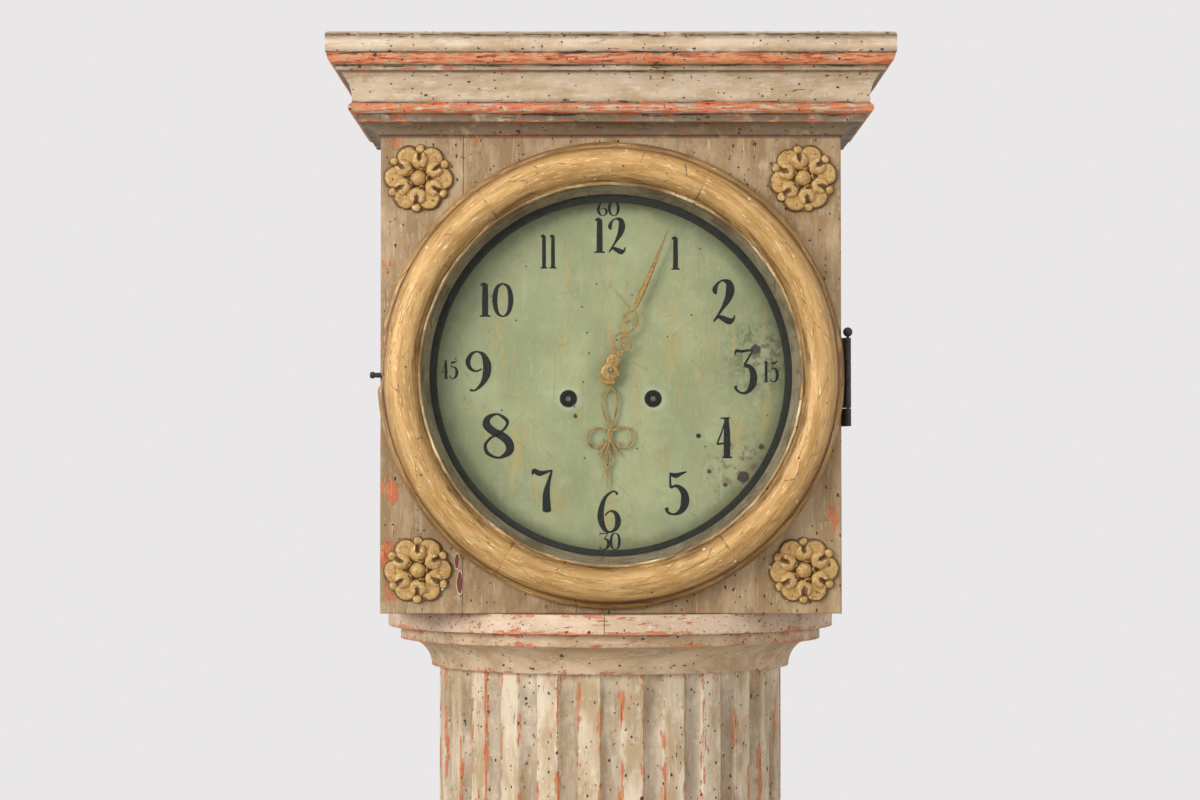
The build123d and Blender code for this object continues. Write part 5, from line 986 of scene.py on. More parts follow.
def through(first: Point, middle: Point, last: Point, steps: int) -> list[Point]:
    """Points of the arc through three points."""
    (ax, ay), (bx, by), (cx, cy) = first, middle, last
    d = 2 * (ax * (by - cy) + bx * (cy - ay) + cx * (ay - by))
    a, b, c = ax * ax + ay * ay, bx * bx + by * by, cx * cx + cy * cy
    x = (a * (by - cy) + b * (cy - ay) + c * (ay - by)) / d
    y = (a * (cx - bx) + b * (ax - cx) + c * (bx - ax)) / d
    turn = [math.degrees(math.atan2(q - y, p - x)) for p, q in (first, middle, last)]
    span = (turn[2] - turn[0]) % 360
    if (turn[1] - turn[0]) % 360 > span:
        span -= 360
    return arc((x, y), math.hypot(ax - x, ay - y), turn[0], turn[0] + span, steps)


def eased(outline: Sequence[Point], radius: float = 0.8, gap: float = 7.0) -> list[Point]:
    """Round each sharp corner of a closed outline a little and divide its long runs.

    Args:
        outline: Corners and arc points in order.
        radius: How far before and after a corner its rounding starts.
        gap: Longest run left undivided.

    Returns:
        The outline with rounded corners.
    """
    count = len(outline)
    rounded: list[Point] = []
    for n, here in enumerate(outline):
        before, after = Vector(outline[n - 1]), Vector(outline[(n + 1) % count])
        spot = Vector(here)
        back, on = before - spot, after - spot
        turn = math.pi - back.angle(on, math.pi)
        if turn < 0.35:
            rounded.append(here)
            continue
        start = spot + back.normalized() * min(radius, back.length * 0.45)
        end = spot + on.normalized() * min(radius, on.length * 0.45)
        for t in (0.0, 0.33, 0.67, 1.0):
            rounded.append(tuple((1 - t) ** 2 * start + 2 * t * (1 - t) * spot + t * t * end))
    divided: list[Point] = []
    for n, here in enumerate(rounded):
        there = rounded[(n + 1) % len(rounded)]
        parts = max(1, math.ceil(math.dist(here, there) / gap))
        divided += [
            (here[0] + (there[0] - here[0]) * k / parts, here[1] + (there[1] - here[1]) * k / parts)
            for k in range(parts)
        ]
    return divided


def lengths(outline: Sequence[Point]) -> list[float]:
    """Distance of each point of a closed outline along it, with the whole length last."""
    gone = [0.0]
    for n in range(len(outline)):
        gone.append(gone[-1] + math.dist(outline[n], outline[(n + 1) % len(outline)]))
    return gone


def steps_between(low: float, high: float, gap: float, edge: float = 0.8) -> list[float]:
    """Levels from low to high, close together at both ends so that the edges can be rounded."""
    inner = max(1, math.ceil((high - low - 2 * edge) / gap))
    middle = [low + edge + (high - low - 2 * edge) * n / inner for n in range(inner + 1)]
    return [low, low + edge * 0.3, *middle, high - edge * 0.3, high]


def unevenness(point: Sequence[float], size: float) -> float:
    """Smooth noise between nothing and one, at a point in millimetres."""
    return 0.5 + 0.5 * max(-1.0, min(1.0, noise.noise(Vector(point) / size) * 1.6))


def rounded_board(
    shape: Shape,
    low: Sequence[float],
    high: Sequence[float],
    radius: float = 1.0,
    gap: float = 14.0,
    uneven: float = 0.35,
    finish: int = 0,
) -> None:
    """Add a board with eased edges and a hand-planed, slightly hollow surface.

    Args:
        shape: Shape that takes the board.
        low: Lowest corner.
        high: Highest corner.
        radius: Radius of the eased edges.
        gap: Widest spacing of points.
        uneven: Depth of the planing marks, always inward.
        finish: Number of the finish.
    """
    outline = eased(
        [(low[0], low[1]), (high[0], low[1]), (high[0], high[1]), (low[0], high[1])], radius, gap
    )
    centre = ((low[0] + high[0]) / 2, (low[1] + high[1]) / 2)
    levels = [low[2]] + [low[2] + radius * k for k in (0.0, 0.3, 1.0)]
    levels += steps_between(low[2], high[2], gap, radius)[2:-2]
    levels += [high[2] - radius * k for k in (1.0, 0.3, 0.0)] + [high[2]]
    insets = [None, radius, radius * 0.3] + [0.0] * (len(levels) - 6) + [radius * 0.3, radius, None]
    rows = []
    for level, inset in zip(levels, insets, strict=True):
        row = []
        for x, y in outline:
            if inset is None:
                row.append(
                    (centre[0] + (x - centre[0]) * 0.5, centre[1] + (y - centre[1]) * 0.5, level)
                )
                continue
            deep = inset + uneven * unevenness((x, y, level), 60)
            row.append((inward(x, low[0], high[0], deep), inward(y, low[1], high[1], deep), level))
        rows.append(row)
    shape.surface(
        rows, lengths([(0, z) for z in levels])[:-1], lengths(outline), loop_across=True, caps=True,
        finish=finish,
    )


def inward(value: float, low: float, high: float, depth: float) -> float:
    """Keep a value at least a depth inside both bounds."""
    return max(low + depth, min(high - depth, value))


def turned(
    shape: Shape,
    outline: Sequence[Point],
    place: Callable[[float, float, float], Place],
    start: float,
    end: float,
    steps: int,
) -> None:
    """Sweep a closed outline round an axis.

    Args:
        shape: Shape that takes the surface.
        outline: Radius and height of each point, in order.
        place: Turns angle, radius and height to a point.
        start: First angle in degrees.
        end: Last angle in degrees.
        steps: Number of steps between them.
    """
    closed = abs(end - start) >= 360
    count = steps if closed else steps + 1
    angles = [start + (end - start) * n / steps for n in range(steps + 1)]
    mean = sum(radius for radius, _ in outline) / len(outline)
    along = [math.radians(a - start) * mean for a in angles] + [0.0]
    rows = [[place(a, radius, height) for radius, height in outline] for a in angles[:count]]
    shape.surface(
        rows, along, lengths(outline), loop_rows=closed, loop_across=True, caps=not closed
    )


def on_column(angle: float, radius: float, height: float) -> Place:
    """Point of the half-round column: angle from its middle flute, radius and height."""
    turn = math.radians(angle)
    return radius * math.sin(turn), AXIS_Y - radius * math.cos(turn), height


def on_dial(angle: float, radius: float, height: float) -> Place:
    """Point over the hood's face: angle clockwise from twelve, radius and height."""
    turn = math.radians(angle)
    return radius * math.sin(turn), FRONT_Y - height, DIAL_Z + radius * math.cos(turn)


def flowing(points: Sequence[Sequence[float]], parts: int = 6) -> list[list[float]]:
    """Run a smooth curve through points of any number of values.

    Args:
        points: Points to pass through.
        parts: Steps between two points.

    Returns:
        Points of the curve, the given ones among them.
    """
    values = np.array(points, dtype=float)
    if len(values) < 3:
        return [list(point) for point in values]
    held = np.vstack([2 * values[0] - values[1], values, 2 * values[-1] - values[-2]])
    curve = []
    for n in range(len(values) - 1):
        a, b, c, d = held[n : n + 4]
        for k in range(parts):
            t = k / parts
            curve.append(
                0.5 * (2 * b + (c - a) * t + (2 * a - 5 * b + 4 * c - d) * t * t
                + (3 * b - a - 3 * c + d) * t**3)
            )
    curve.append(values[-1])
    return [list(point) for point in curve]


def ribbon(
    shape: Shape,
    stroke: Sequence[Sequence[float]],
    front: float,
    back: float,
    shoulder: float = 1.0,
    scale: float = 1.0,
    at: Point = (0.0, 0.0),
    squeeze: float = 1.0,
) -> None:
    """Add a stroke of changing width that lies in the dial's plane.

    Args:
        shape: Shape that takes the stroke.
        stroke: Points as (x, z, width).
        front: Y of its front.
        back: Y of its back.
        shoulder: Share of the width that the front keeps.
        scale: Size of the stroke's unit.
        at: Where the stroke's origin lies, as (x, z).
        squeeze: Extra scale across.
    """
    curve = flowing(stroke)
    rows = []
    for n, (x, z, width) in enumerate(curve):
        before, after = curve[max(n - 1, 0)], curve[min(n + 1, len(curve) - 1)]
        way = Vector((after[0] - before[0], after[1] - before[1]))
        way = way.normalized() if way.length else Vector((0, 1))
        half = max(width, 0.004) / 2
        row = []
        for side, y, share in (
            (1, back, 1), (1, front, shoulder), (-1, front, shoulder), (-1, back, 1)
        ):
            across = (-way.y * half * side * share, way.x * half * side * share)
            row.append(
                (at[0] + (x + across[0]) * scale * squeeze, y, at[1] + (z + across[1]) * scale)
            )
        rows.append(row)
    shape.surface(rows, loop_across=True, caps=True)


def dome(shape: Shape, at: Point, radius: float, front: float, back: float) -> None:
    """Add a low turned boss that faces the front, at (x, z)."""
    shares = (
        (0.5, 0.0), (1.0, 0.0), (1.0, 0.35), (0.92, 0.6), (0.7, 0.85), (0.35, 0.97), (0.04, 1.0)
    )
    profile = [(radius * share, back + (front - back) * rise) for share, rise in shares]
    shape.surface(facing(*at, profile, 32), loop_across=True, caps=True)


# ---------------------------------------------------------------- geometry nodes
def from_nodes(name: str, tree: Tree, inputs: dict[str, object]) -> bpy.types.Object:
    """Run a node tree and keep what it makes as a plain mesh.

    Args:
        name: Name of the new object.
        tree: Node tree with a geometry output.
        inputs: Value of each named input.

    Returns:
        Object whose mesh is the tree's result.
    """
    seed = linked(f"{name}_seed", bpy.data.meshes.new(f"{name}_seed"))
    modifier = seed.modifiers.new("nodes", "NODES")
    modifier.node_group = tree
    for item in tree.interface.items_tree:
        if item.item_type == "SOCKET" and item.in_out == "INPUT" and item.name in inputs:
            modifier[item.identifier] = inputs[item.name]
    bpy.context.view_layer.update()
    graph = bpy.context.evaluated_depsgraph_get()
    mesh = bpy.data.meshes.new_from_object(seed.evaluated_get(graph))
    bpy.data.objects.remove(seed)
    mesh.name = name
    return linked(name, mesh)


def new_group(name: str, inputs: dict[str, Sequence[str]]) -> tuple[Tree, Made]:
    """Start a geometry node tree.

    Args:
        name: Name of the tree.
        inputs: Names of the inputs by the kind of their sockets.

    Returns:
        The tree, and its inputs to read by name.
    """
    tree = bpy.data.node_groups.new(name, "GeometryNodeTree")
    tree.interface.new_socket("Geometry", in_out="OUTPUT", socket_type="NodeSocketGeometry")
    for kind, names in inputs.items():
        for each in names:
            tree.interface.new_socket(each, in_out="INPUT", socket_type=f"NodeSocket{kind}")
    return tree, add_node(tree, "NodeGroupInput")


def end_group(tree: Tree, shape: Value, finish: Value) -> None:
    """Give a geometry tree's shape its finish and put it out."""
    real = add_node(tree, "GeometryNodeRealizeInstances", {}, {0: shape})
    dressed = add_node(tree, "GeometryNodeSetMaterial", {}, {0: real[0], "Material": finish})
    add_node(tree, "NodeGroupOutput", {}, {0: dressed[0]})


@cache
def fluted_wall_tree() -> Tree:
    """Build the node tree of a curved wall with flutes.

    A flat grid is bent to the wall's outer face. Each point's radius follows the nearest flute's
    circle, the grid is thickened to the bore, and the arrises get their wear.

    Returns:
        The node tree, with its sizes as named inputs in metres and radians.
    """
    sizes = (
        "Radius", "Bore", "Axis Y", "Pitch", "Flute Width", "Flute Depth",
        "First Angle", "Last Angle", "Bottom", "Top", "Hollow",
    )
    tree, given = new_group(
        "fluted_wall", {"Float": sizes, "Int": ("Columns", "Rows"), "Material": ("Finish",)}
    )
    grid = add_node(
        tree, "GeometryNodeMeshGrid", {},
        {"Size X": 1.0, "Size Y": 1.0, "Vertices X": given["Columns"], "Vertices Y": given["Rows"]},
    )
    flat = split(add_node(tree, "GeometryNodeInputPosition")[0])
    across = flat[0] + 0.5
    up = flat[1] + 0.5
    span = given["Last Angle"] - given["First Angle"]
    angle = scaled(across, span, given["First Angle"])
    rise = given["Top"] - given["Bottom"]
    height = scaled(up, rise, given["Bottom"])

    nearest = whole(angle / given["Pitch"])
    off = angle - nearest * given["Pitch"]
    half = given["Flute Width"] * 0.5
    squares = half ** 2.0 + given["Flute Depth"] ** 2.0
    bow = squares / (given["Flute Depth"] * 2.0)
    centre = given["Radius"] - given["Flute Depth"] + bow
    aside = centre * sine(off)
    inside = bow ** 2.0 - aside ** 2.0
    depth = root(most(inside, 0.0))
    hollow = centre * cosine(off) - depth
    cut = least(hollow, given["Radius"])
    place = point_of(angle, height, 0.0)
    wave = add_node(tree, "ShaderNodeTexNoise", {}, {"Vector": place, "Scale": 9.0, "Detail": 2.0})
    radius = cut - wave["Fac"] * given["Hollow"]

    x = radius * sine(angle)
    y = given["Axis Y"] - radius * cosine(angle)
    bent = point_of(x, y, height)
    arris = abs(off) - arcsine(half / given["Radius"])
    near = abs(arris) * given["Radius"]
    worn = add_node(
        tree, "ShaderNodeMapRange", {},
        {"Value": near, "From Min": 0.0, "From Max": 0.0045, "To Min": 1.0, "To Max": 0.0},
    )
    kept = add_node(
        tree, "GeometryNodeStoreNamedAttribute", {"data_type": "FLOAT", "domain": "POINT"},
        {"Geometry": grid[0], "Name": "wear", "Value": worn["Result"]},
    )
    outer = add_node(tree, "GeometryNodeSetPosition", {}, {0: kept[0], "Position": bent})
    thick = add_node(
        tree, "GeometryNodeExtrudeMesh", {"mode": "FACES"},
        {0: outer[0], "Offset Scale": -0.002, "Individual": False},
    )
    spot = split(add_node(tree, "GeometryNodeInputPosition")[0])
    away = given["Axis Y"] - spot[1]
    turn = bearing(spot[0], away)
    bored = point_of(
        given["Bore"] * sine(turn), given["Axis Y"] - given["Bore"] * cosine(turn), spot[2]
    )
    inner = add_node(
        tree, "GeometryNodeSetPosition", {},
        {0: thick[0], "Selection": thick["Top"], "Position": bored},
    )
    turned_in = add_node(tree, "GeometryNodeFlipFaces", {}, {0: inner[0]})
    both = add_node(tree, "GeometryNodeJoinGeometry", {}, {0: [outer[0], turned_in[0]]})
    merged = add_node(tree, "GeometryNodeMergeByDistance", {}, {0: both[0], "Distance": 0.00002})
    end_group(tree, merged[0], given["Finish"])
    return tree


@cache
def ring_of_tree() -> Tree:
    """Build the node tree that sets copies of one piece round a circle, each a little different.

    Returns:
        The node tree, with the piece, count, sizes, place and seed as named inputs.
    """
    kinds = {
        "Object": ("Piece",), "Int": ("Count", "Seed"), "Float": ("Turn",),
        "Vector": ("Centre",), "Material": ("Finish",),
    }
    tree, given = new_group("ring_of_pieces", kinds)
    points = add_node(
        tree, "GeometryNodePoints", {}, {"Count": given["Count"], "Position": given["Centre"]}
    )
    index = add_node(tree, "GeometryNodeInputIndex")[0]
    step = 2 * math.pi / given["Count"]
    spread = add_node(
        tree, "FunctionNodeRandomValue", {"data_type": "FLOAT"},
        {2: -0.05, 3: 0.05, "ID": index, "Seed": given["Seed"]},
    )
    turn = index * step + (given["Turn"] + spread[1])
    rotation = point_of(0.0, turn, 0.0)
    size = add_node(
        tree, "FunctionNodeRandomValue", {"data_type": "FLOAT_VECTOR"},
        {0: (0.93, 0.90, 0.95), 1: (1.0, 1.0, 1.0), "ID": index, "Seed": given["Seed"]},
    )
    piece = add_node(tree, "GeometryNodeObjectInfo", {}, {"Object": given["Piece"]})
    placed = add_node(
        tree, "GeometryNodeInstanceOnPoints", {},
        {
            "Points": points[0], "Instance": piece["Geometry"],
            "Rotation": rotation, "Scale": size[0],
        },
    )
    end_group(tree, placed[0], given["Finish"])
    return tree


def joined(name: str, pieces: Sequence[bpy.types.Object]) -> bpy.types.Object:
    """Join objects' meshes to one new object and remove them."""
    work = bmesh.new()
    for piece in pieces:
        work.from_mesh(piece.data)
        bpy.data.objects.remove(piece)
    mesh = bpy.data.meshes.new(name)
    work.to_mesh(mesh)
    work.free()
    return linked(name, mesh)


# ---------------------------------------------------------------- figures of the dial
# widths and strokes of the figures, as (x, z, width), in hundredths of a figure's height
SERIF_ONE = (
    ((17, 97, 13), (17, 50, 15), (17, 4, 15)),
    ((2, 93, 3), (10, 97, 6), (20, 98.5, 3)),
    ((0, 1.2, 3), (17, 3, 5), (34, 1.2, 3)),
)
FIGURES: dict[str, tuple[float, tuple[tuple[Place, ...], ...]]] = {
    "1": (34, SERIF_ONE),
    "2": (55, (
        ((10, 66, 2), (6, 76, 10), (12, 90, 5), (25, 98.5, 3.5), (40, 93, 12), (44, 76, 17),
         (38, 55, 13), (24, 32, 6), (10, 12, 3.5), (3, 2, 3)),
        ((3, 3, 3), (14, 13, 6), (27, 9, 10), (42, 3, 12), (52, 8, 5), (55, 17, 2)),
    )),
    "3": (55, (
        ((3, 86, 2), (5, 96, 5), (20, 95, 5), (36, 97, 4.5), (52, 98, 3)),
        ((52, 98, 3), (40, 80, 4), (28, 64, 5)),
        ((28, 64, 5), (44, 60, 9), (54, 44, 15), (52, 22, 15), (38, 5, 7), (20, 2, 3.5), (6, 10, 5),
         (4, 18, 7)),
    )),
    "4": (45, (
        ((28, 98, 3), (16, 65, 3.5), (2, 34, 3.5)),
        ((2, 34, 3.5), (22, 36, 3.5), (44, 34, 3)),
        ((30, 98, 10), (31, 55, 15), (31, 4, 15)),
        ((18, 1, 3), (31, 2, 5), (46, 1, 3)),
        ((12, 99, 2), (28, 98.5, 4), (40, 100, 2)),
    )),
    "5": (55, (
        ((14, 94, 5), (26, 90, 9), (40, 94, 6), (55, 99, 2)),
        ((14, 97, 4), (13, 80, 4), (14, 62, 5)),
        ((14, 62, 4), (30, 66, 6), (47, 52, 13), (51, 30, 17), (42, 10, 11), (24, 1, 4), (8, 5, 5),
         (3, 16, 8)),
    )),
    "6": (50, (
        ((47, 92, 5), (36, 99, 3), (16, 86, 6), (5, 60, 11), (3, 34, 13), (12, 10, 9),
         (26, 1.5, 3.5), (42, 10, 8), (48, 28, 12), (42, 46, 8), (28, 52, 3), (14, 42, 3)),
    )),
    "7": (50, (
        ((0, 86, 2), (4, 96, 8), (18, 90, 10), (34, 93, 6), (50, 97, 3)),
        ((50, 97, 3), (42, 72, 7), (36, 45, 13), (36, 20, 16), (37, 3, 17)),
        ((26, 3, 2), (37, 1, 4), (48, 3, 2)),
    )),
    "8": (58, (
        ((44, 90, 6), (28, 98.5, 3.5), (10, 90, 9), (7, 74, 13), (20, 60, 13), (38, 50, 14),
         (53, 34, 14), (53, 14, 12), (32, 1, 4), (10, 10, 6), (4, 28, 5), (14, 44, 4),
         (30, 54, 3.5), (44, 66, 4), (50, 80, 5), (44, 90, 6)),
    )),
    "9": (50, (
        ((36, 56, 3), (22, 50, 3.5), (8, 58, 7), (3, 76, 9), (12, 94, 6), (26, 99, 3), (40, 90, 9),
         (48, 66, 15), (46, 40, 14), (36, 18, 8), (20, 2, 3.5), (8, 3, 5)),
    )),
    "0": (55, (
        ((28, 99, 3.5), (10, 86, 9), (3, 50, 13), (10, 14, 9), (28, 1, 3.5), (46, 14, 9),
         (53, 50, 13), (46, 86, 9), (28, 99, 3.5)),
    )),
}


@dataclass(frozen=True)
class Numeral:
    """One painted number: its figures, its middle from the dial's centre, and its size."""

    figures: str
    x: float
    z: float
    width: float
    height: float


NUMERALS = (
    Numeral("12", -1.0, 147.9, 32.6, 36.5),
    Numeral("60", -2.6, 176.4, 21.9, 15.6),
    Numeral("1", 68.0, 129.2, 9.0, 34.4),
    Numeral("2", 118.4, 78.8, 23.4, 44.8),
    Numeral("3", 139.7, 4.9, 20.6, 46.9),
    Numeral("15", 167.9, 4.7, 15.0, 21.9),
    Numeral("4", 118.7, -64.6, 16.3, 42.0),
    Numeral("5", 68.2, -122.4, 22.6, 45.5),
    Numeral("6", -1.6, -142.2, 20.2, 43.8),
    Numeral("30", -1.3, -173.0, 21.4, 17.7),
    Numeral("7", -71.9, -119.8, 20.8, 44.8),
    Numeral("8", -118.9, -62.5, 29.5, 46.9),
    Numeral("9", -140.0, 5.2, 22.4, 41.7),
    Numeral("45", -169.2, 6.8, 16.7, 18.8),
    Numeral("10", -120.9, 80.2, 33.3, 35.4),
    Numeral("11", -65.4, 130.9, 16.7, 35.4),
)


# ---------------------------------------------------------------- sub-assemblies
class SubAssembly(ABC):
    """A group of pieces that is built and dressed together."""

    @abstractmethod
    def build(self) -> None:
        """Make the group's pieces and dress them."""


@dataclass(frozen=True)
class Hood(SubAssembly):
    """The square hood: front, sides, cornice, the black rebate and the iron pintle."""

    half_width: float = 240.0
    front_y: float = FRONT_Y
    back_y: float = 144.0
    bottom: float = 1600.3
    top: float = 2188.0
    cornice_z: float = 2099.0
    board: float = 14.0
    front_board: float = 16.0
    hole: float = 182.0
    corona: float = 54.0
    cornice_height: float = 101.0

    def build(self) -> None:
        """Make the hood's pieces."""
        self.make_front()
        self.make_sides()
        self.make_cornice()
        self.make_surround()
        self.make_pintle()

    def make_front(self) -> None:
        """Make the front board round the dial's hole, with hand-planed faces and eased edges."""
        shape = Shape("hood_front_boards")
        half, low, high = self.half_width, self.bottom, self.top
        to_corners = [math.atan2(x, z - DIAL_Z) for x in (-half, half) for z in (low, high)]
        turns = sorted({*(2 * math.pi * n / 240 - math.pi for n in range(240)), *to_corners})
        insets = (0.0, 0.4, 1.0, 3.0, 7.0, 14.0, 24.0, 38.0)

        def rim(turn: float) -> float:
            aside, up = math.sin(turn), math.cos(turn)
            reach = [half / abs(aside)] if abs(aside) > 1e-9 else []
            if abs(up) > 1e-9:
                reach.append(((high - DIAL_Z) if up > 0 else (DIAL_Z - low)) / abs(up))
            return min(reach)

        rows = []
        for turn in turns:
            outer = rim(turn)
            shares = [1 - inset / outer for inset in insets]
            inner = [self.hole + d for d in (0.0, 0.5, 1.2, 5.0, 12.0)]
            middle = [outer * shares[-1] * (1 - k) + inner[-1] * k for k in (0.33, 0.67)]
            radii = [outer * s for s in shares] + middle + inner[::-1]
            depths = [1.0, 0.3] + [0.0] * (len(radii) - 4) + [0.3, 1.0]
            row = []
            for radius, depth in zip(radii, depths, strict=True):
                x, z = radius * math.sin(turn), DIAL_Z + radius * math.cos(turn)
                deep = depth + 0.3 * unevenness((x, 0, z), 70)
                row.append((x, self.front_y + deep, z))
            row += [(p[0], self.front_y + self.front_board, p[2]) for p in (row[-1], row[0])]
            rows.append(row)
        shape.surface(rows, loop_rows=True, loop_across=True)
        shape.build("hood", [HOOD_PAINT], "painted_wood", ["hood_front"])

    def make_sides(self) -> None:
        """Make the two side boards."""
        shape = Shape("hood_side_boards")
        inner, behind = self.half_width - self.board, self.front_y + self.front_board
        for low, high in ((-self.half_width, -inner), (inner, self.half_width)):
            rounded_board(shape, (low, behind, self.bottom), (high, self.back_y, self.top))
        shape.build("hood", [SIDE_PAINT], "painted_wood", ["hood_sides"])

    def profile(self) -> list[Point]:
        """Outline of the cornice, from the hood's face outward and from its lower edge up."""
        edge, top = self.corona, self.cornice_height
        return [
            (0, 0), (3, 0), *through((3, 0), (9.5, 8.2), (22, 11.3), 8)[1:], (22, 19.6), (27, 19.6),
            *through((27, 19.6), (32.2, 25), (28.5, 30.3), 8)[1:],
            *through((28.5, 30.3), (30.6, 48), (39.5, 61.9), 10)[1:], (44, 61.9), (44, 67.5),
            (46.5, 67.5), *through((46.5, 67.5), (51.3, 72.5), (52.5, 79.6), 7)[1:], (edge, 79.6),
            (edge, top - 4), *arc((edge - 4, top - 4), 4, 0, 90, 4), (0, top),
        ]

    def make_cornice(self) -> None:
        """Run the cornice round left, front and right with mitred corners."""
        shape = Shape("cornice_moulding")
        outline = eased(self.profile(), 0.9, 6.0)
        half, back = self.half_width, self.back_y
        stations = [("left", back + (self.front_y - back) * n / 17) for n in range(17)]
        stations += [("front", -half + 2 * half * n / 44) for n in range(45)]
        stations += [("right", self.front_y + (back - self.front_y) * n / 17) for n in range(1, 18)]
        rows, along, gone = [], [], 0.0
        for side, value in stations:
            row = []
            for out, up in outline:
                z = self.cornice_z + up
                if side == "front":
                    share = value / half
                    point = (value + out * share, self.front_y - out, z)
                else:
                    sign = -1 if side == "left" else 1
                    share = (back - value) / (back - self.front_y)
                    point = (sign * (half + out), value - out * share, z)
                deep = 0.45 * unevenness(point, 45) if 0 < out else 0.0
                row.append(self.sunk(point, out, deep))
            if rows:
                gone += math.dist(rows[-1][0], row[0])
            rows.append(row)
            along.append(gone)
        shape.surface(rows, along, lengths(outline), loop_across=True, caps=True)
        shape.build(
            "hood", [CORNICE_PAINT], "painted_wood", ["cornice_front", "cornice_returns"], 32
        )

    def sunk(self, point: Place, out: float, deep: float) -> Place:
        """Move a point of the cornice towards the hood's middle by a depth."""
        x, y, z = point
        if out <= 0 or abs(z - self.cornice_z - self.cornice_height) < 0.01:
            return point
        length = math.hypot(x, y - 20)
        return x - x / length * deep, y - (y - 20) / length * deep, z

    def make_surround(self) -> None:
        """Line the hole with the black painted rebate that shows behind the glass, which also
        stands for painted shade between the door and the dial.
        """
        shape = Shape("black_rebate_band")
        inner, outer, back = self.hole - 0.06, self.hole + 0.6, 1 - self.front_board
        lip, front, under = 203.0, 0.12, -0.05
        outline = [
            (inner, back), (inner, front), (lip, front),
            (lip, under), (outer, under), (outer, back),
        ]
        turned(shape, outline, on_dial, 0, 360, 180)
        shape.build("hood", [REBATE_BLACK_AND_SHADE], "painted_wood")

    def make_pintle(self) -> None:
        """Forge the pintle that the round door turns on: strap, pin and ball."""
        shape = Shape("forged_hinge_pintle")
        strap = (
            (240.0, -60.0), (240.0, -88.0), (243.4, -94.2), (249.6, -94.2), (241.6, -82.0),
            (241.6, -60.0),
        )
        low, high = DIAL_Z - 53.0, DIAL_Z - 34.5
        middle_x, middle_y = 244.0, -80.0
        rows = []
        for level, inset in ((low, 0.4), (low + 0.5, 0.0), (high - 0.5, 0.0), (high, 0.4)):
            rows.append([
                (x + (middle_x - x) * inset * 0.1, y + (middle_y - y) * inset * 0.02, level)
                for x, y in strap
            ])
        shape.surface(rows, loop_across=True, caps=True)
        profile = [(3.2, low), (3.3, low + 0.4), (3.3, high - 0.4), (1.5, high)]
        profile.append((1.5, DIAL_Z + 40.5))
        ball, radius = DIAL_Z + 45.0, 4.95
        for turn in map(math.radians, range(25, 180, 15)):
            profile.append((radius * math.sin(turn), ball - radius * math.cos(turn)))
        shape.surface(upright(*PINTLE, profile, 24), loop_across=True, caps=True)
        shape.build("hood", [FORGED_IRON], "forged_iron", ["hood_hinge_pintle"])


@dataclass(frozen=True)
class Petal:
    """Carved petals of one ring: their middle, half sizes, height, count and turn.

    The notch is the share that the tip is cut in by, the crease the share of the height that the
    fold from the tip takes, and the roll how far the rim stands over the petal's hollow.
    """

    kind: str
    middle: float
    half_wide: float
    half_long: float
    tall: float
    count: int
    turn: float = 0.0
    notch: float = 0.0
    crease: float = 0.0
    roll: float = 0.0


ROSETTE_PETALS = (
    Petal("tips", 31.0, 5.6, 5.4, 6.2, 6),
    Petal("outer", 25.4, 13.4, 12.0, 7.4, 6, math.pi / 6, roll=0.34),
    Petal("inner", 19.4, 10.2, 10.4, 12.6, 6, 0.0, 0.24, 0.30, 0.26),
    Petal("sepals", 10.8, 4.2, 2.7, 11.6, 5, 0.3, 0.0, 0.30),
)


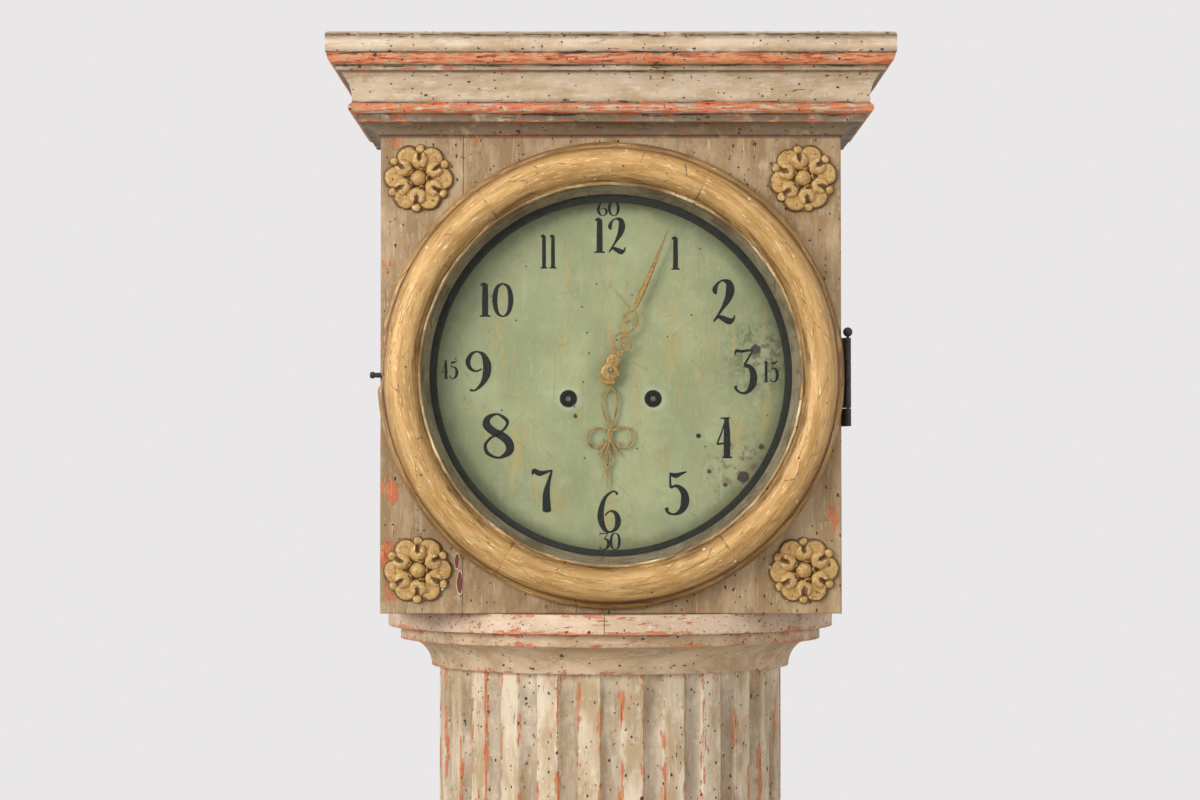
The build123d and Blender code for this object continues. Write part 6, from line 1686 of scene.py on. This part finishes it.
@dataclass(frozen=True)
class Rosettes(SubAssembly):
    """Four carved and gilded rosettes in the corners of the hood's front."""

    across: float = 200.5
    levels: tuple[float, float] = (1645.5, 2053.5)
    radius: float = 37.5
    petals: int = 6
    rise: float = 12.8

    def build(self) -> None:
        """Make each rosette from its own seed."""
        pieces = []
        for n, (side, level) in enumerate((s, z) for z in self.levels for s in (-1, 1)):
            pieces += self.rosette(n, (side * self.across, level))
        made = joined("carved_rosettes", pieces)
        # painted shade: the deeper a point lies below the petals' tops, the darker its toning, so
        # seams and slits read as shaded
        hollow = made.data.attributes.new("grime", "FLOAT", "POINT")
        for vertex, dirty in zip(made.data.vertices, hollow.data, strict=True):
            out = FRONT_Y - vertex.co.y / MM
            dirty.value = max(0.0, min(1.0, (4.6 - out) / 4.2))
            vertex.co += min(1.0, out / 4.0) * 0.0007 * noise.noise_vector(vertex.co / 0.006)
        finished(made, "hood", [ROSETTE_GILDING], "gilt_wood", ["rosettes"], 50)

    def petal(self, name: str, petal: Petal) -> bpy.types.Object:
        """Carve one petal that points up from a rosette at the origin, with the board at y = 0."""
        shape = Shape(name)
        rows = []
        for share in (0.04, 0.16, 0.3, 0.44, 0.56, 0.67, 0.77, 0.85, 0.91, 0.955, 0.985, 1.0):
            row = []
            for k in range(48):
                turn = 2 * math.pi * k / 48 - math.pi
                reach = 1 / math.hypot(
                    math.sin(turn) / petal.half_wide, math.cos(turn) / petal.half_long
                )
                reach *= share * (1 - petal.notch * math.exp(-((turn / 0.38) ** 2)))
                x, up = reach * math.sin(turn), reach * math.cos(turn)
                height = petal.tall * math.sqrt(1 - share**2.6) * (1 - petal.roll * (1 - share**2))
                outward = min(1.0, max(0.0, up / petal.half_long + 0.35) / 0.5)
                height *= 1 - petal.crease * outward * math.exp(-((x / 1.25) ** 2))
                row.append((x, -max(height, 0.2), petal.middle + up))
            rows.append(row)
        rows.append([(x, 0.0, up) for x, _, up in rows[-1]])
        shape.surface(rows, loop_across=True, caps=True)
        return shape.plain()

    def rosette(self, seed: int, at: Point) -> list[bpy.types.Object]:
        """Make one rosette's rings of petals, its back and its ball."""
        chance = random.Random(40 + seed)
        pieces = []
        start = chance.uniform(-0.15, 0.15)
        for petal in ROSETTE_PETALS:
            name = f"rosette_{seed}_{petal.kind}"
            one = self.petal(f"{name}_one", petal)
            inputs = {
                "Piece": one, "Count": petal.count, "Seed": seed * 7 + petal.count,
                "Turn": start + petal.turn, "Centre": (at[0] * MM, FRONT_Y * MM, at[1] * MM),
                "Finish": ROSETTE_GILDING.material(),
            }
            pieces.append(from_nodes(name, ring_of_tree(), inputs))
            bpy.data.objects.remove(one)
        shape = Shape(f"rosette_{seed}_ball")
        dome(shape, at, 8.3, FRONT_Y - self.rise, FRONT_Y)
        steps = 64
        rows = []
        for share, rise in ((1.0, 0.0), (1.0, 1.6), (0.96, 2.4), (0.5, 2.6)):
            row = []
            for k in range(steps):
                t = 2 * math.pi * k / steps
                r = share * (self.radius - 5.0 + 1.6 * math.cos(self.petals * t))
                row.append((at[0] + r * math.sin(t), FRONT_Y - rise, at[1] + r * math.cos(t)))
            rows.append(row)
        shape.surface(rows, loop_across=True, caps=True)
        return [*pieces, shape.plain()]


@dataclass(frozen=True)
class RoundDoor(SubAssembly):
    """The gilt ring with its grey slope, glass, putty, hinge leaf and iron pull."""

    radius: float = 243.0
    joints: tuple[float, ...] = (26.0, 146.0, 210.0, 324.0)
    chipped: tuple[float, float] = (267.4, 280.9)

    def build(self) -> None:
        """Make the ring, its slope and its ironwork, and dress the glass and putty."""
        self.make_ring()
        self.make_slope()
        self.make_leaf()
        self.make_pull()
        dress("glass", GLASS)
        dress("glazing_putty", PUTTY)

    def section(self) -> list[Point]:
        """Section of the ring: radius and height over the hood's face."""
        return [
            (203.5, 0.3), (243, 0.3), (243, 7.5),
            *through((243, 7.5), (238.83, 12.5), (233, 10.5), 8)[1:],
            *through((233, 10.5), (216.25, 38), (199.5, 23), 26)[1:],
            *through((199.5, 23), (197.95, 26.5), (196.4, 23), 6)[1:],
            (196.4, 6.0), (203.5, 6.0),
        ]

    def make_ring(self) -> None:
        """Turn the ring, with a groove at each glued joint and the broken edge at the left."""
        shape = Shape("gilt_door_ring")
        outline = eased(self.section(), 0.8, 3.0)
        inner, roll, flange = 196.4, 219.0, 233.5

        def place(angle: float, radius: float, height: float) -> Place:
            off = min(abs((angle - joint + 180) % 360 - 180) for joint in self.joints)
            groove = 0.45 * max(0.0, 1 - off / 0.25) if height > 1 else 0.0
            here = on_dial(angle, radius, height)
            deep = groove + 0.5 * unevenness(here, 28)
            if radius > flange:
                deep = groove + 0.35 * unevenness(here, 18)
                bite = self.bite(angle)
                radius -= deep + bite * max(0.0, (radius - 234) / 9) * 6.0
                return on_dial(angle, radius, max(height - 0.3 * deep, 0.3))
            toward = math.atan2(height - 8, radius - roll)
            if height > 6.5:
                radius -= deep * math.cos(toward)
                height -= deep * abs(math.sin(toward))
            return on_dial(angle, max(radius, inner), height)

        turned(shape, outline, place, 0, 360, 720)

        def bare(point: Place) -> float:
            x, _, z = point
            angle = math.degrees(math.atan2(x, z - DIAL_Z)) % 360
            radius = math.hypot(x, z - DIAL_Z)
            return 0.75 * self.bite(angle) * max(0.0, min(1.0, (radius - 231) / 3))

        shape.build("bezel", [GILDING], "gilt_wood", ["bezel_ring"], 50, bare)

    def bite(self, angle: float) -> float:
        """How deep the flange is broken away at an angle, from none to one."""
        low, high = self.chipped
        if not low - 1 < angle < high + 1:
            return 0.0
        soft = min(1.0, (angle - low + 1) / 1.5, (high + 1 - angle) / 1.5)
        return soft * (0.55 + 0.45 * unevenness((angle * 3, 0, 0), 5))

    def make_slope(self) -> None:
        """Turn the grey slope that runs down to the glass."""
        shape = Shape("grey_door_slope")
        outline = eased([(196.36, 6.0), (196.36, 22.8), (188.5, 7.0), (188.5, 6.0)], 0.5, 3.0)
        turned(shape, outline, on_dial, 0, 360, 360)
        shape.build("bezel", [LIP_PAINT], "gilt_wood", ["bezel_lip"], 50)

    def make_leaf(self) -> None:
        """Forge the hinge leaf let into the ring, with its barrel round the pin and two nails."""
        shape = Shape("forged_hinge_leaf")
        low, high = DIAL_Z - 34.0, DIAL_Z + 39.0
        rounded_board(shape, (214.5, -91.8, low), (245.0, -90.3, high), 0.4, 12, 0.15)
        outer, eased_to, bore = 3.28, 2.9, 1.62
        levels = (
            low, low + 0.4, low + 23.6, low + 24.0, low + 24.6, low + 25.0,
            high - 24.6, high - 24.2, high - 23.6, high - 23.2, high - 0.4, high,
        )
        radii = (eased_to, outer, outer, eased_to) * 3
        profile = [*zip(radii, levels, strict=True), (bore, high), (bore, low)]
        shape.surface(upright(*PINTLE, profile, 32), loop_rows=True, loop_across=True)
        shape.build("bezel", [FORGED_IRON], "forged_iron", ["bezel_hinge_leaf"], 40)

    def make_pull(self) -> None:
        """Forge the round-headed pull at the left of the ring."""
        shape = Shape("forged_door_pull")
        profile = (
            (1.2, -235.0), (2.6, -235.4), (2.65, -241.0), (2.5, -245.8), (3.3, -246.0),
            (3.55, -247.6), (3.2, -249.6), (2.0, -250.4),
        )
        rows = []
        for radius, x in profile:
            row = [(x, FRONT_Y - 6.0 + radius * c, DIAL_Z + radius * s) for c, s in compass(24)]
            rows.append(row)
        shape.surface(rows, loop_across=True, caps=True)
        shape.build("bezel", [FORGED_IRON], "forged_iron", ["bezel_pull"])


@dataclass(frozen=True)
class Dial(SubAssembly):
    """The painted iron dial with its figures."""

    front_y: float = -68.0
    paint_thick: float = 0.10

    def build(self) -> None:
        """Dress the dial and paint its figures."""
        dress("dial_plate", DIAL_PAINT)
        shape = Shape("painted_figures")
        count, gap, boldness = 0, 0.10, 1.26
        for numeral in NUMERALS:
            widths = [FIGURES[figure][0] / 100 for figure in numeral.figures]
            squeeze = numeral.width / (numeral.height * (sum(widths) + gap * (len(widths) - 1)))
            pen = numeral.x - numeral.width / 2
            for figure, width in zip(numeral.figures, widths, strict=True):
                for stroke in FIGURES[figure][1]:
                    count += 1
                    front = self.front_y - self.paint_thick - 0.004 * (count % 7)
                    low = numeral.z - numeral.height / 2 + DIAL_Z
                    bold = [(x / 100, z / 100, w / 100 * boldness + 0.004) for x, z, w in stroke]
                    ribbon(
                        shape, bold, front, self.front_y - 0.01, 1.0, numeral.height, (pen, low),
                        squeeze,
                    )
                pen += (width + gap) * numeral.height * squeeze
        shape.build("case", [FIGURE_BLACK], "painted_iron")


@dataclass(frozen=True)
class Hands(SubAssembly):
    """The two pierced and filed brass hands."""

    hour_y: tuple[float, float] = (-73.4, -72.0)
    minute_y: tuple[float, float] = (-79.0, -77.6)

    def build(self) -> None:
        """Make the hour hand and the minute hand."""
        self.make_minute()
        self.make_hour()

    def strokes(
        self, shape: Shape, parts: Iterable[Sequence[Sequence[float]]], y: tuple[float, float]
    ) -> None:
        """Add strokes given from the hands' axis, each a hair deeper than the last."""
        for n, stroke in enumerate(parts):
            lift = 0.03 * (n % 6)
            ribbon(shape, stroke, y[0] + lift, y[1] - lift * 0.3, 0.62, 1.0, (0.0, HAND_Z))

    def make_minute(self) -> None:
        """Make the minute hand: vase, C-scroll, S-scroll and pointed blade."""
        shape = Shape("brass_minute_hand")
        w = 2.5
        parts = [
            [
                (60.5, 148.4, 1.1), (46.3, 113.5, 3.9), (35.9, 89.2, 6.0), (29.6, 75.3, 6.6),
                (24.4, 62.4, 2.0),
            ],
            [(24.4, 62.4, w), (27.2, 54.5, w), (25.1, 45.8, w), (19.2, 39.5, w), (13.3, 39.8, w)],
            [
                (24.4, 62.4, w), (18.5, 60.4, w), (13.6, 55.5, w), (16.1, 50.3, w),
                (19.2, 52.7, w * 1.4),
            ],
            [
                (11.9 + 9.2 * math.cos(turn), 29.2 + 9.6 * math.sin(turn), w)
                for turn in map(math.radians, range(70, 390, 32))
            ],
            [(17.0, 36.6, w), (11.0, 33.4, w), (10.2, 28.2, w), (14.2, 26.2, w * 1.5)],
            [(2.4, 23.2, w), (8.6, 15.6, w), (14.0, 20.6, w)],
            [(8.4, 19.8, 3.4), (5.8, 16.0, 7.0), (3.0, 11.0, 9.0)],
            [(-5.6, 8.2, 7.0), (-2.0, 8.4, 12.6), (5.0, 8.8, 12.6), (9.2, 9.0, 7.0)],
            [(-10.6, -3.4, 6.6), (-5.4, -3.4, 10.8), (3.8, -3.4, 10.8), (8.8, -3.4, 6.6)],
            [(-7.6, -12.0, 3.6), (-4.4, -12.2, 6.2), (0.8, -12.2, 6.2), (4.2, -12.0, 3.6)],
        ]
        self.strokes(shape, [flowing(p, 3) if len(p) > 2 else p for p in parts], self.minute_y)
        dome(shape, (-1.4, HAND_Z - 2.0), 9.4, -80.5, -77.6)
        dome(shape, (2.6, HAND_Z + 9.2), 7.6, -80.2, -77.6)
        shape.build("minute_work", [HAND_BRASS], "cast_brass", ["minute_hand"], 30)

    def make_hour(self) -> None:
        """Make the hour hand: loop, paired wings, barbs, lens and spear."""
        shape = Shape("brass_hour_hand")
        w = 2.5
        parts = [
            [(-0.6, -8.0, 6.0), (-0.6, -12.0, 5.0), (-0.6, -18.4, 3.2)],
            [
                (-0.6, -17.8, 2.4), (-8.0, -25.4, w), (-8.5, -37.6, w), (-4.8, -51.5, w),
                (1.1, -63.6, w),
            ],
            [
                (-0.6, -17.8, 2.4), (6.8, -25.4, w), (6.3, -39.3, w), (2.9, -53.2, w),
                (-2.7, -65.4, w),
            ],
            [
                (-2.7, -65.4, w), (-14.5, -60.1, w), (-23.2, -65.4, w), (-23.9, -74.0, w),
                (-18.0, -81.0, w), (-10.3, -79.3, w), (-6.8, -72.3, w),
            ],
            [
                (1.1, -63.6, w), (13.3, -59.5, w), (21.3, -63.6, w), (22.3, -72.3, w),
                (16.8, -80.3, w), (9.1, -81.0, w), (5.7, -74.0, w),
            ],
            [(-2.7, -65.4, w), (-1.6, -72.0, w), (-3.0, -81.0, w)],
            [(1.1, -63.6, w), (-0.4, -72.0, w), (-3.0, -81.0, w)],
            [(-3.4, -75.8, w), (-8.4, -82.0, w * 1.2), (-14.5, -91.4, 0.5)],
            [(1.1, -75.8, w), (5.0, -82.5, w * 1.2), (9.1, -90.7, 0.5)],
            [(-3.0, -81.0, w), (-6.8, -93.1, w), (-3.4, -103.6, w)],
            [(-3.0, -81.0, w), (0.5, -93.1, w), (-3.4, -103.6, w)],
            [(-3.4, -100.0, 3.5), (-3.5, -112.0, 2.4), (-3.7, -126.1, 0.3)],
        ]
        self.strokes(shape, parts, self.hour_y)
        collet = (
            (5.15, -72.0), (8.6, -72.0), (9.0, -72.3), (9.0, -72.9), (8.4, -73.4), (5.15, -73.4)
        )
        shape.surface(facing(0.0, HAND_Z, collet, 40), loop_rows=True, loop_across=True)
        shape.build("hour_work", [HAND_BRASS], "cast_brass", ["hour_hand"], 30)


@dataclass(frozen=True)
class Neck(SubAssembly):
    """The half-round cove and band under the hood, and the edged shelf the hood stands on."""

    foot: float = 197.5
    cove: float = 30.0
    low: float = 1535.8
    joint: float = -1.6

    def build(self) -> None:
        """Make the cove with its band, the edging and the shelf."""
        bore, top = 171.0, self.low + self.cove
        lip = self.foot + self.cove
        outline = [(bore, self.low), (self.foot, self.low)]
        for turn in map(math.radians, range(9, 91, 9)):
            reach, rise = self.cove * math.cos(turn), self.cove * math.sin(turn)
            outline.append((lip - reach, self.low + rise))
        outline += [(lip + 1.5, top), (232.3, top), (232.3, 1579.4), (bore, 1579.4)]
        shape = Shape("neck_cove")
        turned(shape, eased(outline, 0.8, 5.0), self.uneven, -90, 90, 150)
        shape.build("case", [NECK_PAINT], "painted_wood", ["neck_moulding"], 35)

        shape = Shape("shelf_edging_strips")
        outline = eased(
            [(236.0, 1579.4), (246.0, 1579.4), (246.0, 1600.0), (236.0, 1600.0)], 1.2, 5.0
        )
        for start, end in ((-90, self.joint - 0.08), (self.joint + 0.08, 90)):
            turned(shape, outline, self.uneven, start, end, max(8, int((end - start) * 0.9)))
        shape.build("case", [SHELF_PAINT], "painted_wood", ["shelf_edging"])

    def uneven(self, angle: float, radius: float, height: float) -> Place:
        """Place a point on the neck a little inside its true radius."""
        here = on_column(angle, radius, height)
        return on_column(
            angle, radius - (0.4 * unevenness(here, 40) if radius > 190 else 0.0), height
        )


@dataclass(frozen=True)
class Column(SubAssembly):
    """The fluted half-round trunk with its door and its moulded foot."""

    radius: float = 189.0
    bore: float = 171.0
    pitch: float = 360.0 / 26
    flute_width: float = 22.8
    flute_depth: float = 7.0
    foot: float = 436.0
    head: float = 1535.8
    door_low: float = 621.0
    door_high: float = 1299.0
    door_angle: float = 48.4615

    def build(self) -> None:
        """Make staves, head, foot, door and base."""
        edge = self.door_angle
        half_gap = math.degrees(1.0 / self.radius)
        staves = joined("fluted_staves", [
            self.wall("stave_0", edge, 90.0, self.foot, self.head),
            self.wall("stave_1", -90.0, -edge, self.foot, self.head),
        ])
        ends = joined("fluted_head_and_foot", [
            self.wall("head", -edge, edge, self.door_high + 1, self.head),
            self.wall("foot", -edge, edge, self.foot, self.door_low - 1),
        ])
        door = self.wall(
            "fluted_door", half_gap - edge, edge - half_gap, self.door_low, self.door_high
        )
        for piece, body, node in (
            (staves, "case", "column_staves"), (ends, "case", "column_head_and_foot"),
            (door, "trunk_door", "column_door"),
        ):
            finished(piece, body, [COLUMN_PAINT], "painted_wood", [node], 40)
        shape = Shape("column_foot_moulding")
        outline = [
            (self.bore, 400), (200, 400), *arc((200, 414), 14, -90, 90, 16), (198, 428), (198, 436),
            (self.bore, 436),
        ]
        turned(shape, eased(outline, 0.8, 6.0), on_column, -90, 90, 120)
        shape.build("case", [NECK_PAINT], "painted_wood", ["column_base"], 35)

    def wall(
        self, name: str, first: float, last: float, bottom: float, top: float
    ) -> bpy.types.Object:
        """Make one length of fluted wall between two angles and two levels."""
        per_pitch = 24
        inputs = {
            "Radius": self.radius * MM, "Bore": self.bore * MM, "Axis Y": AXIS_Y * MM,
            "Pitch": math.radians(self.pitch), "Flute Width": self.flute_width * MM,
            "Flute Depth": self.flute_depth * MM, "First Angle": math.radians(first),
            "Last Angle": math.radians(last), "Bottom": bottom * MM, "Top": top * MM,
            "Hollow": 0.0006, "Columns": round((last - first) / self.pitch * per_pitch) + 1,
            "Rows": max(2, round((top - bottom) / 22)) + 1, "Finish": COLUMN_PAINT.material(),
        }
        return from_nodes(name, fluted_wall_tree(), inputs)


@dataclass(frozen=True)
class Plinth(SubAssembly):
    """The box under the column, with a sunk panel, a moulded top and a skirt."""

    half: float = 235.0
    front: float = -100.0
    back: float = 144.0
    height: float = 380.0

    def build(self) -> None:
        """Make the box and the skirt, and dress the top."""
        shape = Shape("plinth_boards")
        self.make_front(shape)
        for low, high in ((-self.half, -217.0), (217.0, self.half)):
            rounded_board(shape, (low, -82.0, 0.0), (high, self.back, self.height))
        rounded_board(shape, (-217.0, -82.0, 0.0), (217.0, AXIS_Y, 16.0), 1.0, 30, 0.2, 1)
        shape.build("case", [HOOD_PAINT, PINE], "painted_wood", ["plinth_box"])
        shape = Shape("plinth_skirt_moulding")
        self.make_skirt(shape)
        shape.build("case", [NECK_PAINT], "painted_wood", ["plinth_skirt"], 35)
        dress("plinth_top", NECK_PAINT)

    def make_front(self, shape: Shape) -> None:
        """Add the front board, whose panel is sunk with sloping edges."""
        low, high = (-self.half, 0.0), (self.half, self.height)
        panel = ((-183.0, 144.0), (183.0, 328.0))
        slope = 4.0 * math.tan(math.radians(35))
        loops = []
        for inset, y in ((0.0, -82.0), (0.0, self.front + 0.8), (0.8, self.front)):
            loops.append((low[0] + inset, low[1] + inset, high[0] - inset, high[1] - inset, y))
        (px, pz), (qx, qz) = panel
        outside = (*low, *high)
        for k in (0.3, 0.6, 0.85):
            between = (a + (b - a) * k for a, b in zip(outside, (px, pz, qx, qz), strict=True))
            loops.append((*between, self.front))
        loops += [
            (px, pz, qx, qz, self.front),
            (px + slope, pz + slope, qx - slope, qz - slope, self.front + 4.0),
        ]
        loops += [
            (px + 40 * k, pz + 30 * k, qx - 40 * k, qz - 30 * k, self.front + 4.0)
            for k in (0.5, 1.0, 2.0, 3.0)
        ]
        rows = []
        for x0, z0, x1, z1, y in loops:
            row = []
            turns = ((x0, z0), (x1, z0), (x1, z1), (x0, z1), (x0, z0))
            for (ax, az), (bx, bz) in pairwise(turns):
                row += [(ax + (bx - ax) * n / 20, y, az + (bz - az) * n / 20) for n in range(20)]
            rows.append(row)
        shape.surface(rows, loop_across=True, caps=True)

    def make_skirt(self, shape: Shape) -> None:
        """Run the skirt round left, front and right with mitred corners."""
        hollow = [
            (13 - 10 * math.sin(turn), 92 - 10 * math.cos(turn))
            for turn in map(math.radians, range(10, 90, 10))
        ]
        outline = [(0, 0), (15, 0), (15, 82), (13, 82), *hollow, (3, 92), (0, 92)]
        outline = eased(outline, 0.8, 9.0)
        stations = [("left", n / 12) for n in range(12)]
        stations += [("front", n / 24) for n in range(25)]
        stations += [("right", n / 12) for n in range(1, 13)]
        rows = []
        for side, share in stations:
            row = []
            for out, up in outline:
                if side == "front":
                    x = -self.half + 2 * self.half * share
                    row.append((x + out * x / self.half, self.front - out, up))
                else:
                    sign, t = (-1, share) if side == "left" else (1, 1 - share)
                    y = self.back + (self.front - self.back) * t
                    row.append((sign * (self.half + out), y - out * t, up))
            rows.append(row)
        shape.surface(rows, loop_across=True, caps=True)


@dataclass(frozen=True)
class Inside(SubAssembly):
    """The movement, pendulum, weights and bare boards, whose part nodes only need finishes."""

    finishes: tuple[tuple[Finish, tuple[str, ...]], ...] = (
        (PINE, ("backboard", "seat_board", "hood_floor")),
        (HOOD_PAINT, ("hood_top",)),
        (NECK_PAINT, ("neck_shelf",)),
        (FORGED_IRON, (
            "column_hinge_leaves", "door_hinge_leaves", "door_turn_catch", "going_weight",
            "strike_weight",
        )),
        (PLATE_BRASS, ("movement_front_plate", "movement_back_plate")),
        (CLOCK_BRASS, (
            "pillars_and_dial_feet", "suspension_cock", "centre_wheel", "hour_wheel",
            "minute_wheel", "going_great_wheel", "third_wheel", "escape_wheel",
            "strike_great_wheel", "pin_wheel", "hoop_wheel", "fly", "pendulum_bob",
        )),
        (CLOCK_STEEL, (
            "bell_stands", "cannon_pinion", "going_barrel", "strike_barrel", "hammer",
            "pendulum_rod", "anchor_and_crutch",
        )),
        (BELL_METAL, ("bells",)),
    )

    def build(self) -> None:
        """Dress every node that keeps its shape."""
        for finish, nodes in self.finishes:
            for node in nodes:
                dress(node, finish)


def dress(node: str, finish: Finish) -> None:
    """Give a part node that keeps its shape its own material.

    Args:
        node: Name of the part node.
        finish: What it is made of.
    """
    mesh = FRAME["nodes"][node].data
    if not mesh.materials:
        mesh.materials.append(finish.material())
    for index in range(len(mesh.materials)):
        mesh.materials[index] = finish.material()
    LOG.info("%s: dressed as %s", node, finish.name)


@dataclass(frozen=True)
class GutLines(SubAssembly):
    """Two lines laid up from strands of gut."""

    trains: tuple[str, ...] = ("going", "strike")
    strands: int = 3
    turn: float = 9.0
    travel: float = 450.0
    sides: int = 8
    steps_per_turn: int = 8

    def build(self) -> None:
        """Lay up each line from its strands and dress it."""
        for train in self.trains:
            low, high = (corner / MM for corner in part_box(f"{train}_line"))
            middle = (low + high) / 2
            shape = Shape(f"{train}_gut_line")
            for strand in range(self.strands):
                self.lay_up(
                    shape, middle.x, middle.y, (low.z, high.z), (high.x - low.x) / 2, strand
                )
            made = shape.build("case", [GUT], "gut", [f"{train}_line"])
            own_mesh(made)

    def lay_up(
        self, shape: Shape, x: float, y: float, levels: Point, radius: float, strand: int
    ) -> None:
        """Add one strand, wound round the line's middle.

        Args:
            shape: Piece that takes the strand.
            x: Middle of the line across.
            y: Middle of the line in depth.
            levels: Lowest and highest point.
            radius: Radius of the whole line.
            strand: Number of the strand.
        """
        thin = radius / (1 + 1 / math.sin(math.pi / self.strands))
        low, high = levels
        count = round((high - low) / self.turn * self.steps_per_turn)
        rows = []
        for n in range(count + 1):
            wound = 2 * math.pi * (n / self.steps_per_turn + strand / self.strands)
            cx, cy = x + (radius - thin) * math.cos(wound), y + (radius - thin) * math.sin(wound)
            rows += upright(cx, cy, [(thin, low + (high - low) * n / count)], self.sides)
        shape.surface(rows, loop_across=True, caps=True)


# ---------------------------------------------------------------- studio
@dataclass(frozen=True)
class Studio(SubAssembly):
    """The pale room, its soft lamps and the camera."""

    place: Place = (-11.3, -3160.0, 1730.7)
    lens: float = 88.5
    pitch: float = 1.71
    floor_half: float = 6.0
    soft: float = 0.38
    wall: float = 1.0

    def build(self) -> None:
        """Make floor, surroundings, lamps and camera."""
        self.make_floor()
        self.make_world()
        self.lamp("key_lamp", (-2250, -2250, 2450), (0, 0, 1750), 1300, 82)
        self.lamp("fill_lamp", (2100, -2100, 2000), (0, 0, 1750), 1800, 24)
        self.lamp("top_lamp", (-200, -900, 3300), (0, 0, 1900), 1200, 12)
        camera = bpy.data.cameras.new("camera")
        camera.lens = self.lens
        camera.sensor_width = 36.0
        camera.clip_end = 50.0
        made = linked("camera", camera)
        made.location = [c * MM for c in self.place]
        made.rotation_euler = (math.radians(90 + self.pitch), 0.0, 0.0)
        bpy.context.scene.camera = made
        bpy.context.scene.view_settings.view_transform = "Standard"

    def make_floor(self) -> None:
        """Lay the plain floor."""
        mesh = bpy.data.meshes.new("studio_floor")
        half = self.floor_half
        corners_of = [(-half, -half, 0), (half, -half, 0), (half, half, 0), (-half, half, 0)]
        mesh.from_pydata(corners_of, [], [(0, 1, 2, 3)])
        mesh.materials.append(FLOOR.material())
        linked("studio_floor", mesh)

    def make_world(self) -> None:
        """Light the room evenly, and show the camera and polished surfaces a pale wall."""
        world = bpy.data.worlds.new("studio")
        bpy.context.scene.world = world
        world.use_nodes = True
        tree = world.node_tree
        tree.nodes.clear()
        path = add_node(tree, "ShaderNodeLightPath")
        seen = most(path["Is Camera Ray"], path["Is Glossy Ray"])
        seen = most(seen, path["Is Transmission Ray"])
        soft, wall = (
            add_node(tree, "ShaderNodeBackground", {}, {"Color": srgb(tone), "Strength": strength})
            for tone, strength in (("#F4F3F1", self.soft), ("#E9E7E7", self.wall))
        )
        both = add_node(tree, "ShaderNodeMixShader", {}, {0: seen, 1: soft[0], 2: wall[0]})
        add_node(tree, "ShaderNodeOutputWorld", {}, {0: both[0]})

    def lamp(
        self, name: str, place: Sequence[float], aim: Sequence[float], size: float, watts: float
    ) -> None:
        """Hang a square lamp.

        Args:
            name: Name of the lamp.
            place: Its middle.
            aim: Point that it faces.
            size: Length of its side.
            watts: Its power.
        """
        light = bpy.data.lights.new(name, "AREA")
        light.size = size * MM
        light.energy = watts
        made = linked(name, light)
        made.location = [c * MM for c in place]
        way = Vector([b - a for a, b in zip(place, aim, strict=True)])
        made.rotation_euler = way.to_track_quat("-Z", "Y").to_euler()


FRAME: dict[str, object] = {}


def main() -> None:
    """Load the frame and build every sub-assembly in order."""
    logging.basicConfig(level=logging.INFO, format="%(message)s")
    noise.seed_set(NOISE_SEED)
    FRAME.update(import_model())
    groups: tuple[SubAssembly, ...] = (
        Plinth(), Column(), Neck(), Hood(), Rosettes(), RoundDoor(), Dial(), Hands(), Inside(),
        GutLines(), Studio(),
    )
    for group in groups:
        LOG.info("building %s", type(group).__name__)
        group.build()


if __name__ == "__main__":
    main()
